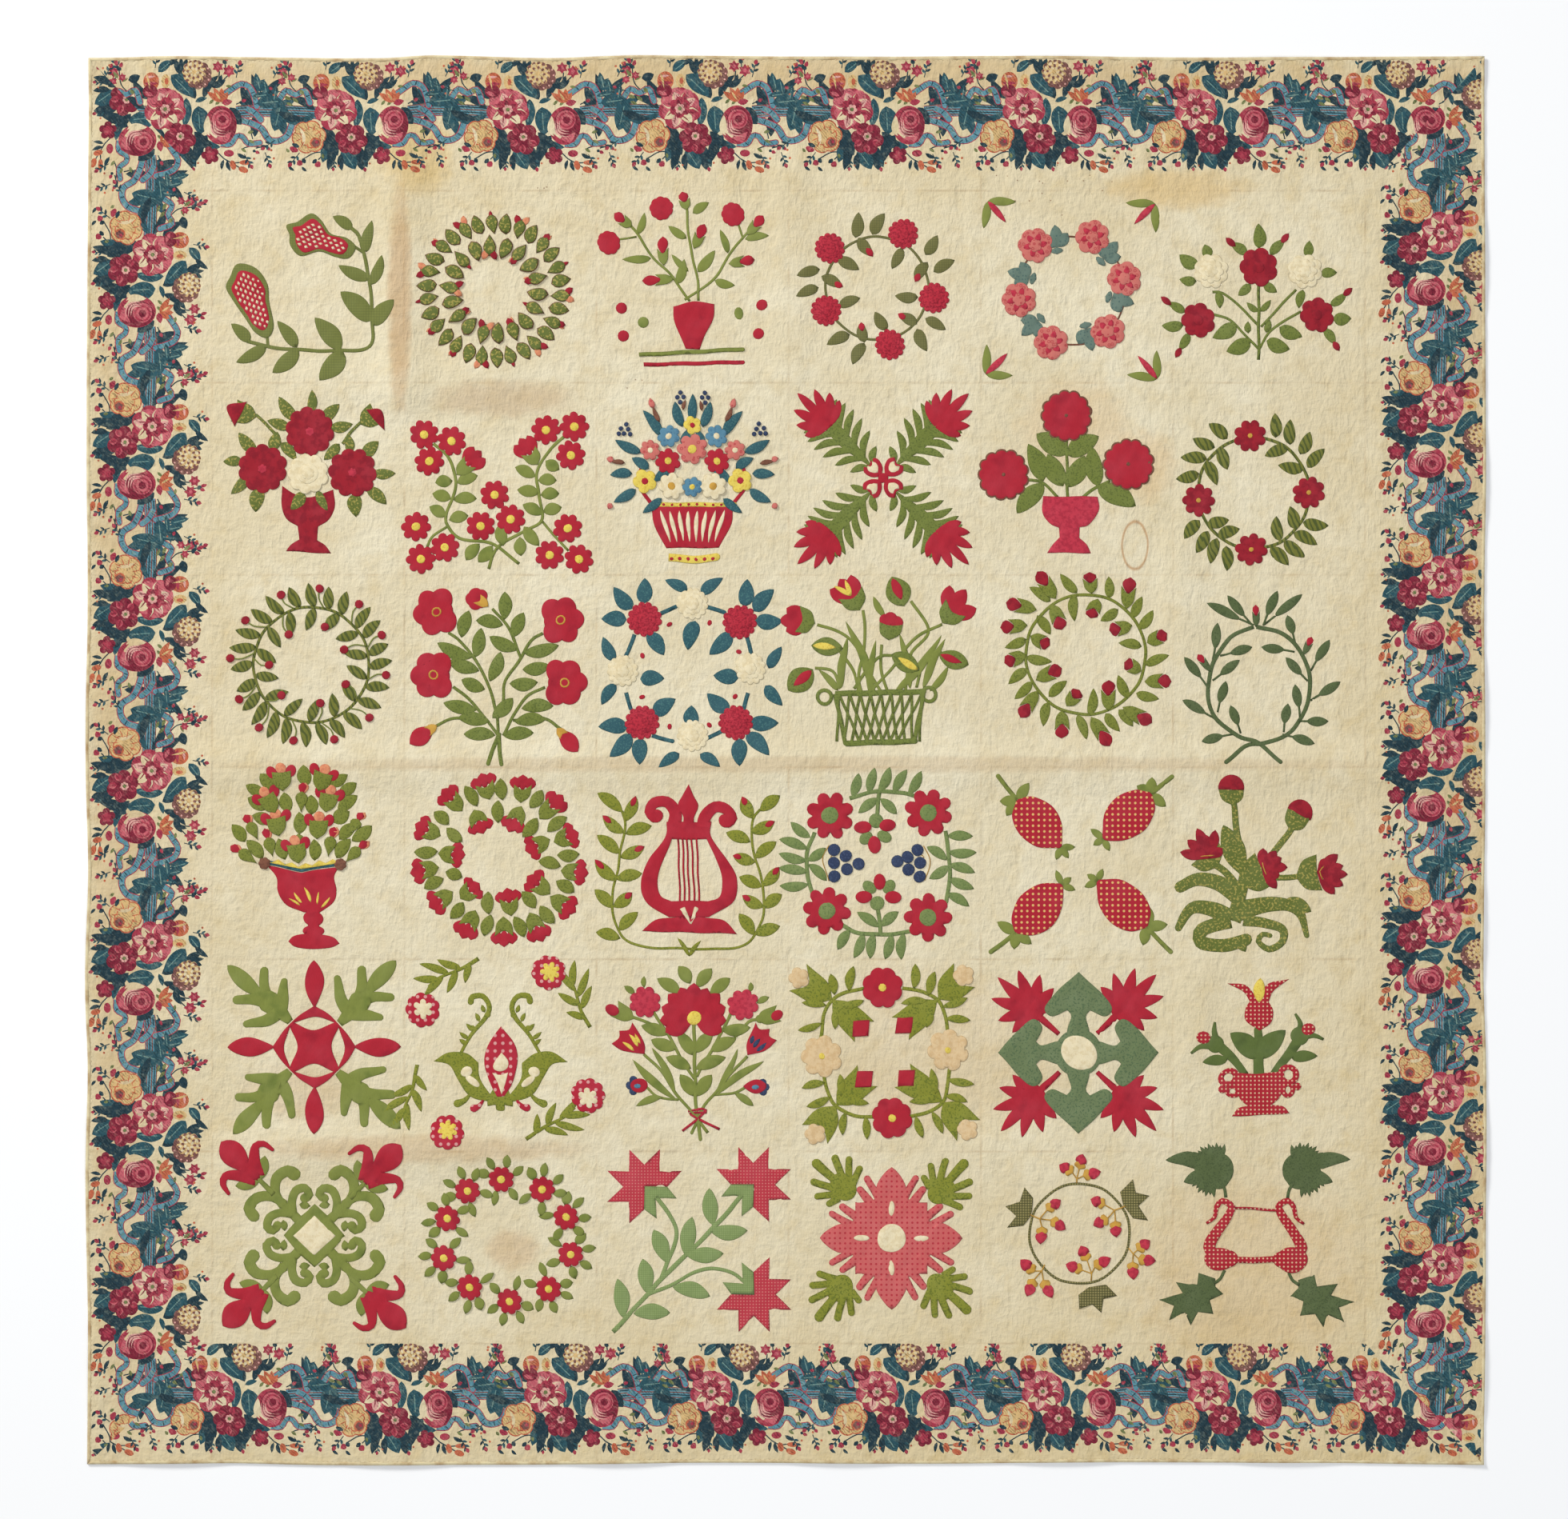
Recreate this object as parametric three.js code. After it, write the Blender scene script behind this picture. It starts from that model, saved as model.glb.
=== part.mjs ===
// An album quilt, laid out flat and face up, as a scene graph of solids.
// Millimetres, +Z up, +Y towards the quilt's top edge. The origin is under the middle of the quilt, on the
// surface that it lies on. The quilt is one field of square album blocks, four mitred chintz border strips and
// four narrow binding strips round the edge, each quilted through with thin cotton wadding.
import * as THREE from 'three';

// Driving sizes
const BLOCK = 372; // side of one album block, seam to seam
const BLOCKS = 6; // blocks each way
const BORDER = { left: 246, right: 235, top: 262, bottom: 236 }; // field seam to outer edge, binding included
const BINDING = 6; // binding's width
const SEAM_GAP = 0.3; // between sewn pieces
const MITRE_GAP = 0.5; // between the border strips at the corners

// Thickness of the quilted cloth
const SEAM_THICK = 2.6; // at a seam, where it is pressed flat
const STITCH_THICK = 3.0; // on a line of quilting stitches
const PAD_RISE = 1.7; // a diamond's middle above its quilting lines
const BINDING_THICK = { inner: 3.0, crown: 4.0, outer: 2.2 };

// Cells of the surface: quilted diamonds are two cells wide and two cells tall
const BLOCK_COLUMNS = 10;
const BLOCK_ROWS = 8;
const STRIP_ROWS = 4; // across a border strip
const BINDING_ROWS = 2; // across the binding

// The quilt's outline and field, from the sizes above
const FIELD = BLOCK * BLOCKS;
const HALF_WIDTH = (BORDER.left + FIELD + BORDER.right) / 2;
const HALF_HEIGHT = (BORDER.top + FIELD + BORDER.bottom) / 2;
const FIELD_LEFT = -HALF_WIDTH + BORDER.left;
const FIELD_RIGHT = HALF_WIDTH - BORDER.right;
const FIELD_TOP = HALF_HEIGHT - BORDER.top;
const FIELD_BOTTOM = -HALF_HEIGHT + BORDER.bottom;
const CELL_WIDTH = BLOCK / BLOCK_COLUMNS;
const CELL_HEIGHT = BLOCK / BLOCK_ROWS;

// Soft folds left by years of folding: the line that each runs along, its height and its half width
const FOLDS = [
  { name: 'first column seam', from: [-741, 1350], to: [-741, 640], height: 6.0, spread: 70 },
  { name: 'middle column seam', from: [5, 1200], to: [5, 690], height: 3.0, spread: 60 },
  { name: 'middle row seam', from: [-1180, -13], to: [1300, -13], height: 5.0, spread: 66 },
  { name: 'top row seam, left', from: [-980, 731], to: [-500, 731], height: 3.2, spread: 70 },
  { name: 'bottom row seam, left', from: [-1120, -757], to: [-480, -757], height: 5.0, spread: 68 },
  { name: 'lower right slant', from: [350, -700], to: [900, -1080], height: 4.0, spread: 75 },
  { name: 'last column, upper', from: [764, 470], to: [764, 130], height: 3.6, spread: 64 },
  { name: 'last column, lower', from: [792, -360], to: [792, -620], height: 3.2, spread: 64 },
];

// How far the outer edge wanders inwards from a straight line, at shares of each side's length
const EDGE_DRAWN_IN = {
  top: [
    { share: 0.0, inward: 6 },
    { share: 0.06, inward: 2 },
    { share: 0.21, inward: 6 },
    { share: 0.25, inward: 0 },
    { share: 0.33, inward: 5 },
    { share: 0.4, inward: 0 },
    { share: 0.55, inward: 3 },
    { share: 0.66, inward: 1 },
    { share: 0.8, inward: 4 },
    { share: 1.0, inward: 2 },
  ],
  bottom: [
    { share: 0.0, inward: 2 },
    { share: 0.1, inward: 4 },
    { share: 0.18, inward: 0 },
    { share: 0.3, inward: 1 },
    { share: 0.45, inward: 5 },
    { share: 0.6, inward: 3 },
    { share: 0.72, inward: 6 },
    { share: 0.86, inward: 5 },
    { share: 1.0, inward: 1 },
  ],
  left: [
    { share: 0.0, inward: 4 },
    { share: 0.08, inward: 6 },
    { share: 0.2, inward: 1 },
    { share: 0.28, inward: 5 },
    { share: 0.34, inward: 0 },
    { share: 0.42, inward: 6 },
    { share: 0.5, inward: 1 },
    { share: 0.62, inward: 5 },
    { share: 0.75, inward: 3 },
    { share: 0.9, inward: 6 },
    { share: 1.0, inward: 8 },
  ],
  right: [
    { share: 0.0, inward: 5 },
    { share: 0.15, inward: 1 },
    { share: 0.27, inward: 0 },
    { share: 0.36, inward: 6 },
    { share: 0.48, inward: 2 },
    { share: 0.6, inward: 4 },
    { share: 0.72, inward: 1 },
    { share: 0.88, inward: 3 },
    { share: 1.0, inward: 4 },
  ],
};

// The free edge ripples off the surface: height, and the reach and length of a ripple
const RIPPLE = { height: 3.2, reach: 150, length: 430 };
const CORNER_CURL = { height: 7, reach: 120 }; // the top left corner lifts

const smooth = (t) => t * t * (3 - 2 * t);
const clamp01 = (t) => Math.min(1, Math.max(0, t));
const lerp = (a, b, t) => a + (b - a) * t;
const lerpPoint = (a, b, t) => [lerp(a[0], b[0], t), lerp(a[1], b[1], t)];

// A table's value at a share of the side's length, eased between its rows
function inwardAt(rows, share) {
  const next = Math.max(1, rows.findIndex((row) => row.share >= share));
  const [a, b] = [rows[next - 1], rows[next]];
  return lerp(a.inward, b.inward, smooth(clamp01((share - a.share) / (b.share - a.share))));
}

// Where a point of the straight-sided pattern lies on the real, uneven quilt
function onQuilt([x, y]) {
  const acrossShare = clamp01((x + HALF_WIDTH) / (2 * HALF_WIDTH));
  const upShare = clamp01((y + HALF_HEIGHT) / (2 * HALF_HEIGHT));
  const left = clamp01((FIELD_LEFT - x) / BORDER.left);
  const right = clamp01((x - FIELD_RIGHT) / BORDER.right);
  const top = clamp01((y - FIELD_TOP) / BORDER.top);
  const bottom = clamp01((FIELD_BOTTOM - y) / BORDER.bottom);
  return [
    x + left * inwardAt(EDGE_DRAWN_IN.left, upShare) - right * inwardAt(EDGE_DRAWN_IN.right, upShare),
    y + bottom * inwardAt(EDGE_DRAWN_IN.bottom, acrossShare) - top * inwardAt(EDGE_DRAWN_IN.top, acrossShare),
  ];
}

// Height of one fold over the surface: a soft ridge that dies out at both ends
function foldHeight(fold, x, y) {
  const [dx, dy] = [fold.to[0] - fold.from[0], fold.to[1] - fold.from[1]];
  const length = Math.hypot(dx, dy);
  const along = ((x - fold.from[0]) * dx + (y - fold.from[1]) * dy) / length;
  const across = ((x - fold.from[0]) * dy - (y - fold.from[1]) * dx) / length;
  const ends = smooth(clamp01(along / fold.spread)) * smooth(clamp01((length - along) / fold.spread));
  const ridge = Math.max(0, 1 - (across / fold.spread) ** 2) ** 2;
  return fold.height * ridge * ends;
}

// Height of the cloth's underside: nought wherever the quilt touches what it lies on
function underside(x, y) {
  const inFromSide = Math.min(HALF_WIDTH - Math.abs(x), HALF_HEIGHT - Math.abs(y));
  const nearEdge = smooth(clamp01(1 - inFromSide / RIPPLE.reach));
  const alongEdge = Math.abs(x) * HALF_HEIGHT > Math.abs(y) * HALF_WIDTH ? y : x;
  const wave = Math.max(0, Math.sin((2 * Math.PI * alongEdge) / RIPPLE.length));
  const toCorner = Math.hypot(x + HALF_WIDTH, y - HALF_HEIGHT);
  const curl = CORNER_CURL.height * smooth(clamp01(1 - toCorner / CORNER_CURL.reach));
  const folds = FOLDS.reduce((sum, fold) => sum + foldHeight(fold, x, y), 0);
  return folds + curl + RIPPLE.height * nearEdge * wave;
}

// Rise of the padding between the quilting lines, which cross in tall diamonds
function padRise(x, y) {
  const column = (x - FIELD_LEFT) / CELL_WIDTH;
  const row = (y - FIELD_BOTTOM) / CELL_HEIGHT;
  return PAD_RISE * (Math.sin((Math.PI * (column + row)) / 2) * Math.sin((Math.PI * (column - row)) / 2)) ** 2;
}

// How far a coordinate lies from the nearest block seam, in cells
const cellsFromSeam = (value, cells) => Math.abs(value / cells - Math.round(value / cells)) * cells;

function fieldThickness(u, v, x, y) {
  const column = u * BLOCKS * BLOCK_COLUMNS;
  const row = v * BLOCKS * BLOCK_ROWS;
  const onSeam = Math.min(cellsFromSeam(column, BLOCK_COLUMNS), cellsFromSeam(row, BLOCK_ROWS)) < 0.5;
  return onSeam ? SEAM_THICK : STITCH_THICK + padRise(x, y);
}

function stripThickness(u, v, x, y) {
  const onSeam = u === 0 || u === 1 || v === 0 || v === 1;
  return onSeam ? SEAM_THICK : STITCH_THICK + padRise(x, y);
}

function bindingThickness(u, v) {
  if (v === 0) return BINDING_THICK.inner;
  return v === 1 ? BINDING_THICK.outer : BINDING_THICK.crown;
}

// A closed sheet over place(u, v), with half as many cells underneath as on top
function sheetGeometry(place, columns, rows, thickness) {
  const points = [];
  const faces = [];
  const halfColumns = columns / 2;
  const halfRows = rows / 2;
  const top = (i, j) => j * (columns + 1) + i;
  const firstUnder = (columns + 1) * (rows + 1);
  const under = (i, j) => firstUnder + j * (halfColumns + 1) + i;

  for (let j = 0; j <= rows; j++) {
    for (let i = 0; i <= columns; i++) {
      const [x, y] = place(i / columns, j / rows);
      const z = underside(x, y) + thickness(i / columns, j / rows, x, y);
      points.push(...onQuilt([x, y]), z);
    }
  }
  for (let j = 0; j <= halfRows; j++) {
    for (let i = 0; i <= halfColumns; i++) {
      const [x, y] = place(i / halfColumns, j / halfRows);
      points.push(...onQuilt([x, y]), underside(x, y));
    }
  }
  for (let j = 0; j < rows; j++) {
    for (let i = 0; i < columns; i++) {
      const [a, b, c, d] = [top(i, j), top(i + 1, j), top(i + 1, j + 1), top(i, j + 1)];
      // The diagonal follows the quilting lines, so that each diamond keeps its edges
      faces.push(...((i + j) % 2 ? [a, b, d, b, c, d] : [a, b, c, a, c, d]));
    }
  }
  for (let j = 0; j < halfRows; j++) {
    for (let i = 0; i < halfColumns; i++) {
      const [a, b, c, d] = [under(i, j), under(i + 1, j), under(i + 1, j + 1), under(i, j + 1)];
      faces.push(a, c, b, a, d, c);
    }
  }
  // One stretch of edge: two top cells stand over each cell underneath
  const wall = (low0, low1, high0, high1, high2) => {
    faces.push(low0, low1, high1, low0, high1, high0, low1, high2, high1);
  };
  for (let i = 0; i < halfColumns; i++) {
    const k = 2 * i;
    wall(under(i, 0), under(i + 1, 0), top(k, 0), top(k + 1, 0), top(k + 2, 0));
    wall(under(i + 1, halfRows), under(i, halfRows), top(k + 2, rows), top(k + 1, rows), top(k, rows));
  }
  for (let j = 0; j < halfRows; j++) {
    const k = 2 * j;
    wall(under(0, j + 1), under(0, j), top(0, k + 2), top(0, k + 1), top(0, k));
    wall(under(halfColumns, j), under(halfColumns, j + 1), top(columns, k), top(columns, k + 1), top(columns, k + 2));
  }

  const geometry = new THREE.BufferGeometry();
  geometry.setAttribute('position', new THREE.Float32BufferAttribute(points, 3));
  geometry.setIndex(faces);
  geometry.computeVertexNormals();
  return geometry;
}

// Corners of the field and of the whole quilt, and the sides that run between them, clockwise from above
const INNER = {
  topLeft: [FIELD_LEFT, FIELD_TOP],
  topRight: [FIELD_RIGHT, FIELD_TOP],
  bottomRight: [FIELD_RIGHT, FIELD_BOTTOM],
  bottomLeft: [FIELD_LEFT, FIELD_BOTTOM],
};
const OUTER = {
  topLeft: [-HALF_WIDTH, HALF_HEIGHT],
  topRight: [HALF_WIDTH, HALF_HEIGHT],
  bottomRight: [HALF_WIDTH, -HALF_HEIGHT],
  bottomLeft: [-HALF_WIDTH, -HALF_HEIGHT],
};
const SIDES = [
  { side: 'top', start: 'topLeft', end: 'topRight', along: [1, 0], cells: BLOCKS * BLOCK_COLUMNS },
  { side: 'right', start: 'topRight', end: 'bottomRight', along: [0, -1], cells: BLOCKS * BLOCK_ROWS },
  { side: 'bottom', start: 'bottomRight', end: 'bottomLeft', along: [-1, 0], cells: BLOCKS * BLOCK_COLUMNS },
  { side: 'left', start: 'bottomLeft', end: 'topLeft', along: [0, 1], cells: BLOCKS * BLOCK_ROWS },
];

// A mitred strip along one side, between two distances from the field's seam
function stripPlace({ side, start, end, along }, near, far) {
  const shift = ([x, y], amount) => [x + along[0] * amount, y + along[1] * amount];
  return (u, v) => {
    const share = lerp(near, far, v) / BORDER[side];
    const first = shift(lerpPoint(INNER[start], OUTER[start], share), MITRE_GAP / 2);
    const last = shift(lerpPoint(INNER[end], OUTER[end], share), -MITRE_GAP / 2);
    return lerpPoint(first, last, u);
  };
}

const fieldPlace = (u, v) => [lerp(FIELD_LEFT, FIELD_RIGHT, u), lerp(FIELD_BOTTOM, FIELD_TOP, v)];

const muslin = new THREE.MeshStandardMaterial({ color: 0xdccfa8, roughness: 0.95, metalness: 0 });
const chintz = new THREE.MeshStandardMaterial({ color: 0xa8745c, roughness: 0.85, metalness: 0 });
const edging = new THREE.MeshStandardMaterial({ color: 0xd2bd88, roughness: 0.95, metalness: 0 });

function namedMesh(name, geometry, material) {
  const mesh = new THREE.Mesh(geometry, material);
  mesh.name = name;
  return mesh;
}

const quilt = new THREE.Group();
const fieldColumns = BLOCKS * BLOCK_COLUMNS;
const fieldRows = BLOCKS * BLOCK_ROWS;
quilt.add(namedMesh('album_field', sheetGeometry(fieldPlace, fieldColumns, fieldRows, fieldThickness), muslin));

for (const row of SIDES) {
  const width = BORDER[row.side];
  const stripArea = stripPlace(row, SEAM_GAP, width - BINDING);
  const bindingArea = stripPlace(row, width - BINDING + SEAM_GAP, width);
  const strip = sheetGeometry(stripArea, row.cells, STRIP_ROWS, stripThickness);
  const binding = sheetGeometry(bindingArea, row.cells, BINDING_ROWS, bindingThickness);
  quilt.add(namedMesh(`border_${row.side}`, strip, chintz));
  quilt.add(namedMesh(`binding_${row.side}`, binding, edging));
}

export default quilt;
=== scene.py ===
# %% [markdown]
# # An album quilt, sewn in cells
# The quilt is one muslin ground of six by six album blocks, each with its own cut-cloth picture, inside
# four mitred strips of flowered chintz and a narrow binding. It was measured and packed as plain solids
# already, so this notebook loads those as a fixed frame and dresses them. Every piece is drawn flat, in
# millimetres, and then laid on one shared surface, so that nothing floats or sinks.

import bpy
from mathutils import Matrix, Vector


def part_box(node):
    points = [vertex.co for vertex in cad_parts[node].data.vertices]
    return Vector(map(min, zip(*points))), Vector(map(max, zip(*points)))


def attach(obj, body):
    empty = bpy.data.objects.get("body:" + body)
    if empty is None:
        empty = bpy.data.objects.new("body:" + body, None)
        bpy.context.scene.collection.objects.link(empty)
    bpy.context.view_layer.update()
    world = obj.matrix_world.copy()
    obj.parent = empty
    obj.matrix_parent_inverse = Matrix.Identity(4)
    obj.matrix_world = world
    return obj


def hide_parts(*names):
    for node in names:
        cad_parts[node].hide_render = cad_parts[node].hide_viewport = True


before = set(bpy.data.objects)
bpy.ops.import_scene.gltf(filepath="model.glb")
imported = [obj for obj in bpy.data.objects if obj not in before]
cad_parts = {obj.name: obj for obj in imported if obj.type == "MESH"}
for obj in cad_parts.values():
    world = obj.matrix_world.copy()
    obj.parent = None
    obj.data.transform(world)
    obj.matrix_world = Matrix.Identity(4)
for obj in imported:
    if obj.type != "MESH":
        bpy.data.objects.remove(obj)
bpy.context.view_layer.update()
print("nodes in the frame:", sorted(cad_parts))

# %% Tools of the workbench
import math
import random

import bpy
import numpy as np
from mathutils.geometry import delaunay_2d_cdt
from mathutils.kdtree import KDTree

print("Blender", bpy.app.version_string)

# %% [markdown]
# ## Sizes
# The field's corners come from the packed frame, so the blocks meet their solids to the millimetre. The
# borders are not equally wide on the real quilt, and its edge wanders, so each side has a short table.

# %% Sizes in millimetres
MM = 0.001
BLOCKS = 6
BORDER = {"left": 246, "right": 235, "top": 262, "bottom": 236}
BINDING = 6
field_low, field_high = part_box("album_field")
LEFT, BOTTOM = round(field_low[0] / MM, 1), round(field_low[1] / MM, 1)
RIGHT, TOP = round(field_high[0] / MM, 1), round(field_high[1] / MM, 1)
BLOCK = (RIGHT - LEFT) / BLOCKS
HALF_WIDTH = (BORDER["left"] + RIGHT - LEFT + BORDER["right"]) / 2
HALF_HEIGHT = (BORDER["top"] + TOP - BOTTOM + BORDER["bottom"]) / 2
print(f"block {BLOCK:.1f} mm, field {LEFT} to {RIGHT} by {BOTTOM} to {TOP} mm")

# %% The uneven outer edge: share of the side's length, and how far in it lies there
EDGE_DRAWN_IN = {
    "top": [(0, 6), (0.06, 2), (0.21, 6), (0.25, 0), (0.33, 5), (0.4, 0), (0.55, 3), (0.66, 1), (0.8, 4),
            (1, 2)],
    "bottom": [(0, 2), (0.1, 4), (0.18, 0), (0.3, 1), (0.45, 5), (0.6, 3), (0.72, 6), (0.86, 5), (1, 1)],
    "left": [(0, 4), (0.08, 6), (0.2, 1), (0.28, 5), (0.34, 0), (0.42, 6), (0.5, 1), (0.62, 5), (0.75, 3),
             (0.9, 6), (1, 8)],
    "right": [(0, 5), (0.15, 1), (0.27, 0), (0.36, 6), (0.48, 2), (0.6, 4), (0.72, 1), (0.88, 3), (1, 4)],
}


def ease(t):
    """A step from 0 to 1 with soft ends."""
    t = np.clip(t, 0, 1)
    return t * t * (3 - 2 * t)


def drawn_in(side, share):
    """How far the edge of one side lies inwards, eased between the rows of its table."""
    shares, inwards = np.array(EDGE_DRAWN_IN[side]).T
    row = np.clip(np.searchsorted(shares, share), 1, len(shares) - 1)
    t = (share - shares[row - 1]) / (shares[row] - shares[row - 1])
    return inwards[row - 1] + (inwards[row] - inwards[row - 1]) * ease(t)


def on_quilt(x, y):
    """Where a point of the straight-sided pattern lies on the real, uneven quilt."""
    across = np.clip((x + HALF_WIDTH) / (2 * HALF_WIDTH), 0, 1)
    up = np.clip((y + HALF_HEIGHT) / (2 * HALF_HEIGHT), 0, 1)
    left = np.clip((LEFT - x) / BORDER["left"], 0, 1)
    right = np.clip((x - RIGHT) / BORDER["right"], 0, 1)
    top = np.clip((y - TOP) / BORDER["top"], 0, 1)
    bottom = np.clip((BOTTOM - y) / BORDER["bottom"], 0, 1)
    new_x = x + left * drawn_in("left", up) - right * drawn_in("right", up)
    new_y = y + bottom * drawn_in("bottom", across) - top * drawn_in("top", across)
    return new_x, new_y


corner_x, corner_y = on_quilt(-HALF_WIDTH, HALF_HEIGHT)
print(f"the top left corner lies {corner_x + HALF_WIDTH:.0f} mm in and {HALF_HEIGHT - corner_y:.0f} mm down")

# %% [markdown]
# ## The surface
# The cloth lies flat, but years of folding left soft ridges along some seams, the free edge ripples, and
# one corner curls. Over that comes the quilting: stitches pull the two cloths together along crossing
# lines, so the wadding stands up in small tall diamonds, and the cloth between shrinks into fine puckers.
# One function gives the underside and one the top, and every piece asks them where it lies.

# %% Soft folds: two ends of each ridge, its height and its half width
FOLDS = [
    {"ends": (-741 + 1350j, -741 + 640j), "height": 6.0, "spread": 70},
    {"ends": (5 + 1200j, 5 + 690j), "height": 3.0, "spread": 60},
    {"ends": (-1180 - 13j, 1300 - 13j), "height": 5.0, "spread": 66},
    {"ends": (-980 + 731j, -500 + 731j), "height": 3.2, "spread": 70},
    {"ends": (-1120 - 757j, -480 - 757j), "height": 5.0, "spread": 68},
    {"ends": (350 - 700j, 900 - 1080j), "height": 4.0, "spread": 75},
    {"ends": (764 + 470j, 764 + 130j), "height": 3.6, "spread": 64},
    {"ends": (792 - 360j, 792 - 620j), "height": 3.2, "spread": 64},
]
RIPPLE = {"height": 3.2, "reach": 150, "length": 430}
CORNER_CURL = {"height": 7, "reach": 120}


def underside(x, y):
    """Height of the cloth's underside: nought wherever it touches what it lies on."""
    height = np.zeros_like(x)
    for fold in FOLDS:
        start, end = fold["ends"]
        spread, length = fold["spread"], abs(end - start)
        turned = (x + 1j * y - start) / (end - start) * length
        ends = ease(turned.real / spread) * ease((length - turned.real) / spread)
        height += fold["height"] * ends * np.maximum(0, 1 - (turned.imag / spread) ** 2) ** 2
    from_side = np.minimum(HALF_WIDTH - abs(x), HALF_HEIGHT - abs(y))
    along = np.where(abs(x) * HALF_HEIGHT > abs(y) * HALF_WIDTH, y, x)
    wave = np.maximum(0, np.sin(2 * np.pi * along / RIPPLE["length"]))
    to_corner = np.hypot(x + HALF_WIDTH, y - HALF_HEIGHT)
    curl = CORNER_CURL["height"] * ease(1 - to_corner / CORNER_CURL["reach"])
    return height + curl + RIPPLE["height"] * ease(1 - from_side / RIPPLE["reach"]) * wave


print(len(FOLDS), "folds, the tallest of", max(fold["height"] for fold in FOLDS), "mm")

# %% Quilting, seams and puckers on the top
CLOTH = 3.0  # thickness on a line of quilting
PAD_RISE = 0.95
SEAM_DIP = {"depth": 0.22, "width": 6}
DIAMONDS = {"columns": 24, "rows": 16}  # half diamonds in one block
SHRUNK = {"left": 0.55, "more at right": 0.45, "more on chintz": 0.25}
pucker_rolls = random.Random(36)
PUCKERS = [
    {
        "length": length,
        "lean": pucker_rolls.uniform(-0.7, 0.7),
        "start": pucker_rolls.uniform(0, 6.28),
        "height": length * pucker_rolls.uniform(0.004, 0.009),
    }
    for length in np.geomspace(17, 70, 12)
]


def to_seam(value, first):
    """Distance to the nearest seam between blocks, in one direction."""
    turn = (value - first) / BLOCK
    return abs(turn - np.round(turn)) * BLOCK


def top_of(x, y):
    """Height of the cloth's upper face, with its padding, seams and puckers."""
    column = (x - LEFT) / BLOCK * DIAMONDS["columns"]
    row = (y - BOTTOM) / BLOCK * DIAMONDS["rows"]
    crossing = abs(np.sin(np.pi * (column + row) / 2) * np.sin(np.pi * (column - row) / 2))
    outside = np.hypot(x - np.clip(x, LEFT, RIGHT), y - np.clip(y, BOTTOM, TOP))
    seam = np.where(outside > 0, outside, np.minimum(to_seam(x, LEFT), to_seam(y, BOTTOM)))
    dip = SEAM_DIP["depth"] * np.exp(-((seam / SEAM_DIP["width"]) ** 2))
    strength = SHRUNK["left"] + SHRUNK["more at right"] * ease((x - LEFT) / (RIGHT - LEFT))
    strength = strength + SHRUNK["more on chintz"] * (outside > 0)
    puckers = np.zeros_like(x)
    for row in PUCKERS:
        phase = 2 * np.pi * (x + row["lean"] * y) / row["length"] + row["start"]
        patches = 0.5 + 0.5 * np.sin(x / 71 + row["start"] * 5) * np.sin(y / 93 + row["start"] * 9)
        puckers += row["height"] * np.sin(phase) * patches
    return underside(x, y) + CLOTH + PAD_RISE * crossing**0.8 + strength * puckers - dip


sample = np.linspace(LEFT, RIGHT, 900)
print(f"cloth is {np.ptp(top_of(sample, sample * 0)):.2f} mm from its lowest to its highest along one row")

# %% [markdown]
# ## Shapes drawn flat
# A place on the cloth is one complex number, x + yj in millimetres, because adding moves it and
# multiplying turns it. Each outline is a short row of such places: a smooth curve through a few points, a
# leaf between two points, or a shape cut on a fold and opened, as paper snowflakes and quilt templates are.


# %% Smooth lines and outlines
def curve(*points, closed=False, step=5.0):
    """A smooth line through the points, with a place about every step."""
    p = np.array(points, complex)
    if len(p) == 2:
        count = max(1, round(abs(p[1] - p[0]) / (2 * step)))
        return p[0] + (p[1] - p[0]) * np.linspace(0, 1, count + 1)
    if closed:
        ring = np.concatenate([p[-1:], p, p[:2]])
    else:
        ring = np.concatenate([[2 * p[0] - p[1]], p, [2 * p[-1] - p[-2]]])
    found = []
    for a, b, c, d in zip(ring, ring[1:], ring[2:], ring[3:]):
        t = np.linspace(0, 1, max(2, round(abs(c - b) / step)), endpoint=False)
        bend = (2 * a - 5 * b + 4 * c - d) * t**2 + (3 * b - a - 3 * c + d) * t**3
        found.append(b + ((c - a) * t + bend) / 2)
    if not closed:
        found.append(p[-1:])
    return np.concatenate(found)


def outline(*runs):
    """A closed outline of smooth runs that meet at corners."""
    lines = [curve(*run) for run in runs]
    return np.concatenate([line[: -1 if abs(line[-1] - after[0]) < 0.1 else None]
                           for line, after in zip(lines, lines[1:] + lines[:1])])


def on_fold(base, tip, *runs):
    """Cut on a fold from base to tip and opened: each point is share along + half width in mm times j."""
    axis = (tip - base) / abs(tip - base)
    length = abs(tip - base)
    half = np.concatenate([curve(*(p.real * length + 1j * p.imag for p in run)) for run in runs])
    half = half[np.concatenate([[True], abs(np.diff(half)) > 0.1])]
    back = half[::-1].conj()
    keep = abs(back.imag) > 0.05
    return base + axis * np.concatenate([half, back[keep]])


def polar(radius, degrees):
    """The place at this distance and direction, in degrees from the right."""
    return radius * np.exp(1j * np.radians(degrees))


print("a bow through three points has", len(curve(0, 40 + 30j, 80)), "places")


# %% Leaves, discs, flowers, stars and stems
LEAF_STEP = 5.5  # mm from place to place along a leaf
PER_PETAL = 6


def leaf(base, tip, width, belly=0.45, bend=0.0):
    """A pointed leaf; bend bows it to the left as seen from its base."""
    length = abs(tip - base)
    count = max(4, round(length / LEAF_STEP))
    t = np.linspace(0, 1, count + 1)
    power = math.log(0.5) / math.log(belly)
    half = width / 2 * np.sin(np.pi * t**power) ** 0.75
    spine = length * (t + 1j * bend * np.sin(np.pi * t))
    sides = np.concatenate([spine + 1j * half, (spine - 1j * half)[-2:0:-1]])
    return base + (tip - base) / length * sides


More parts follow.
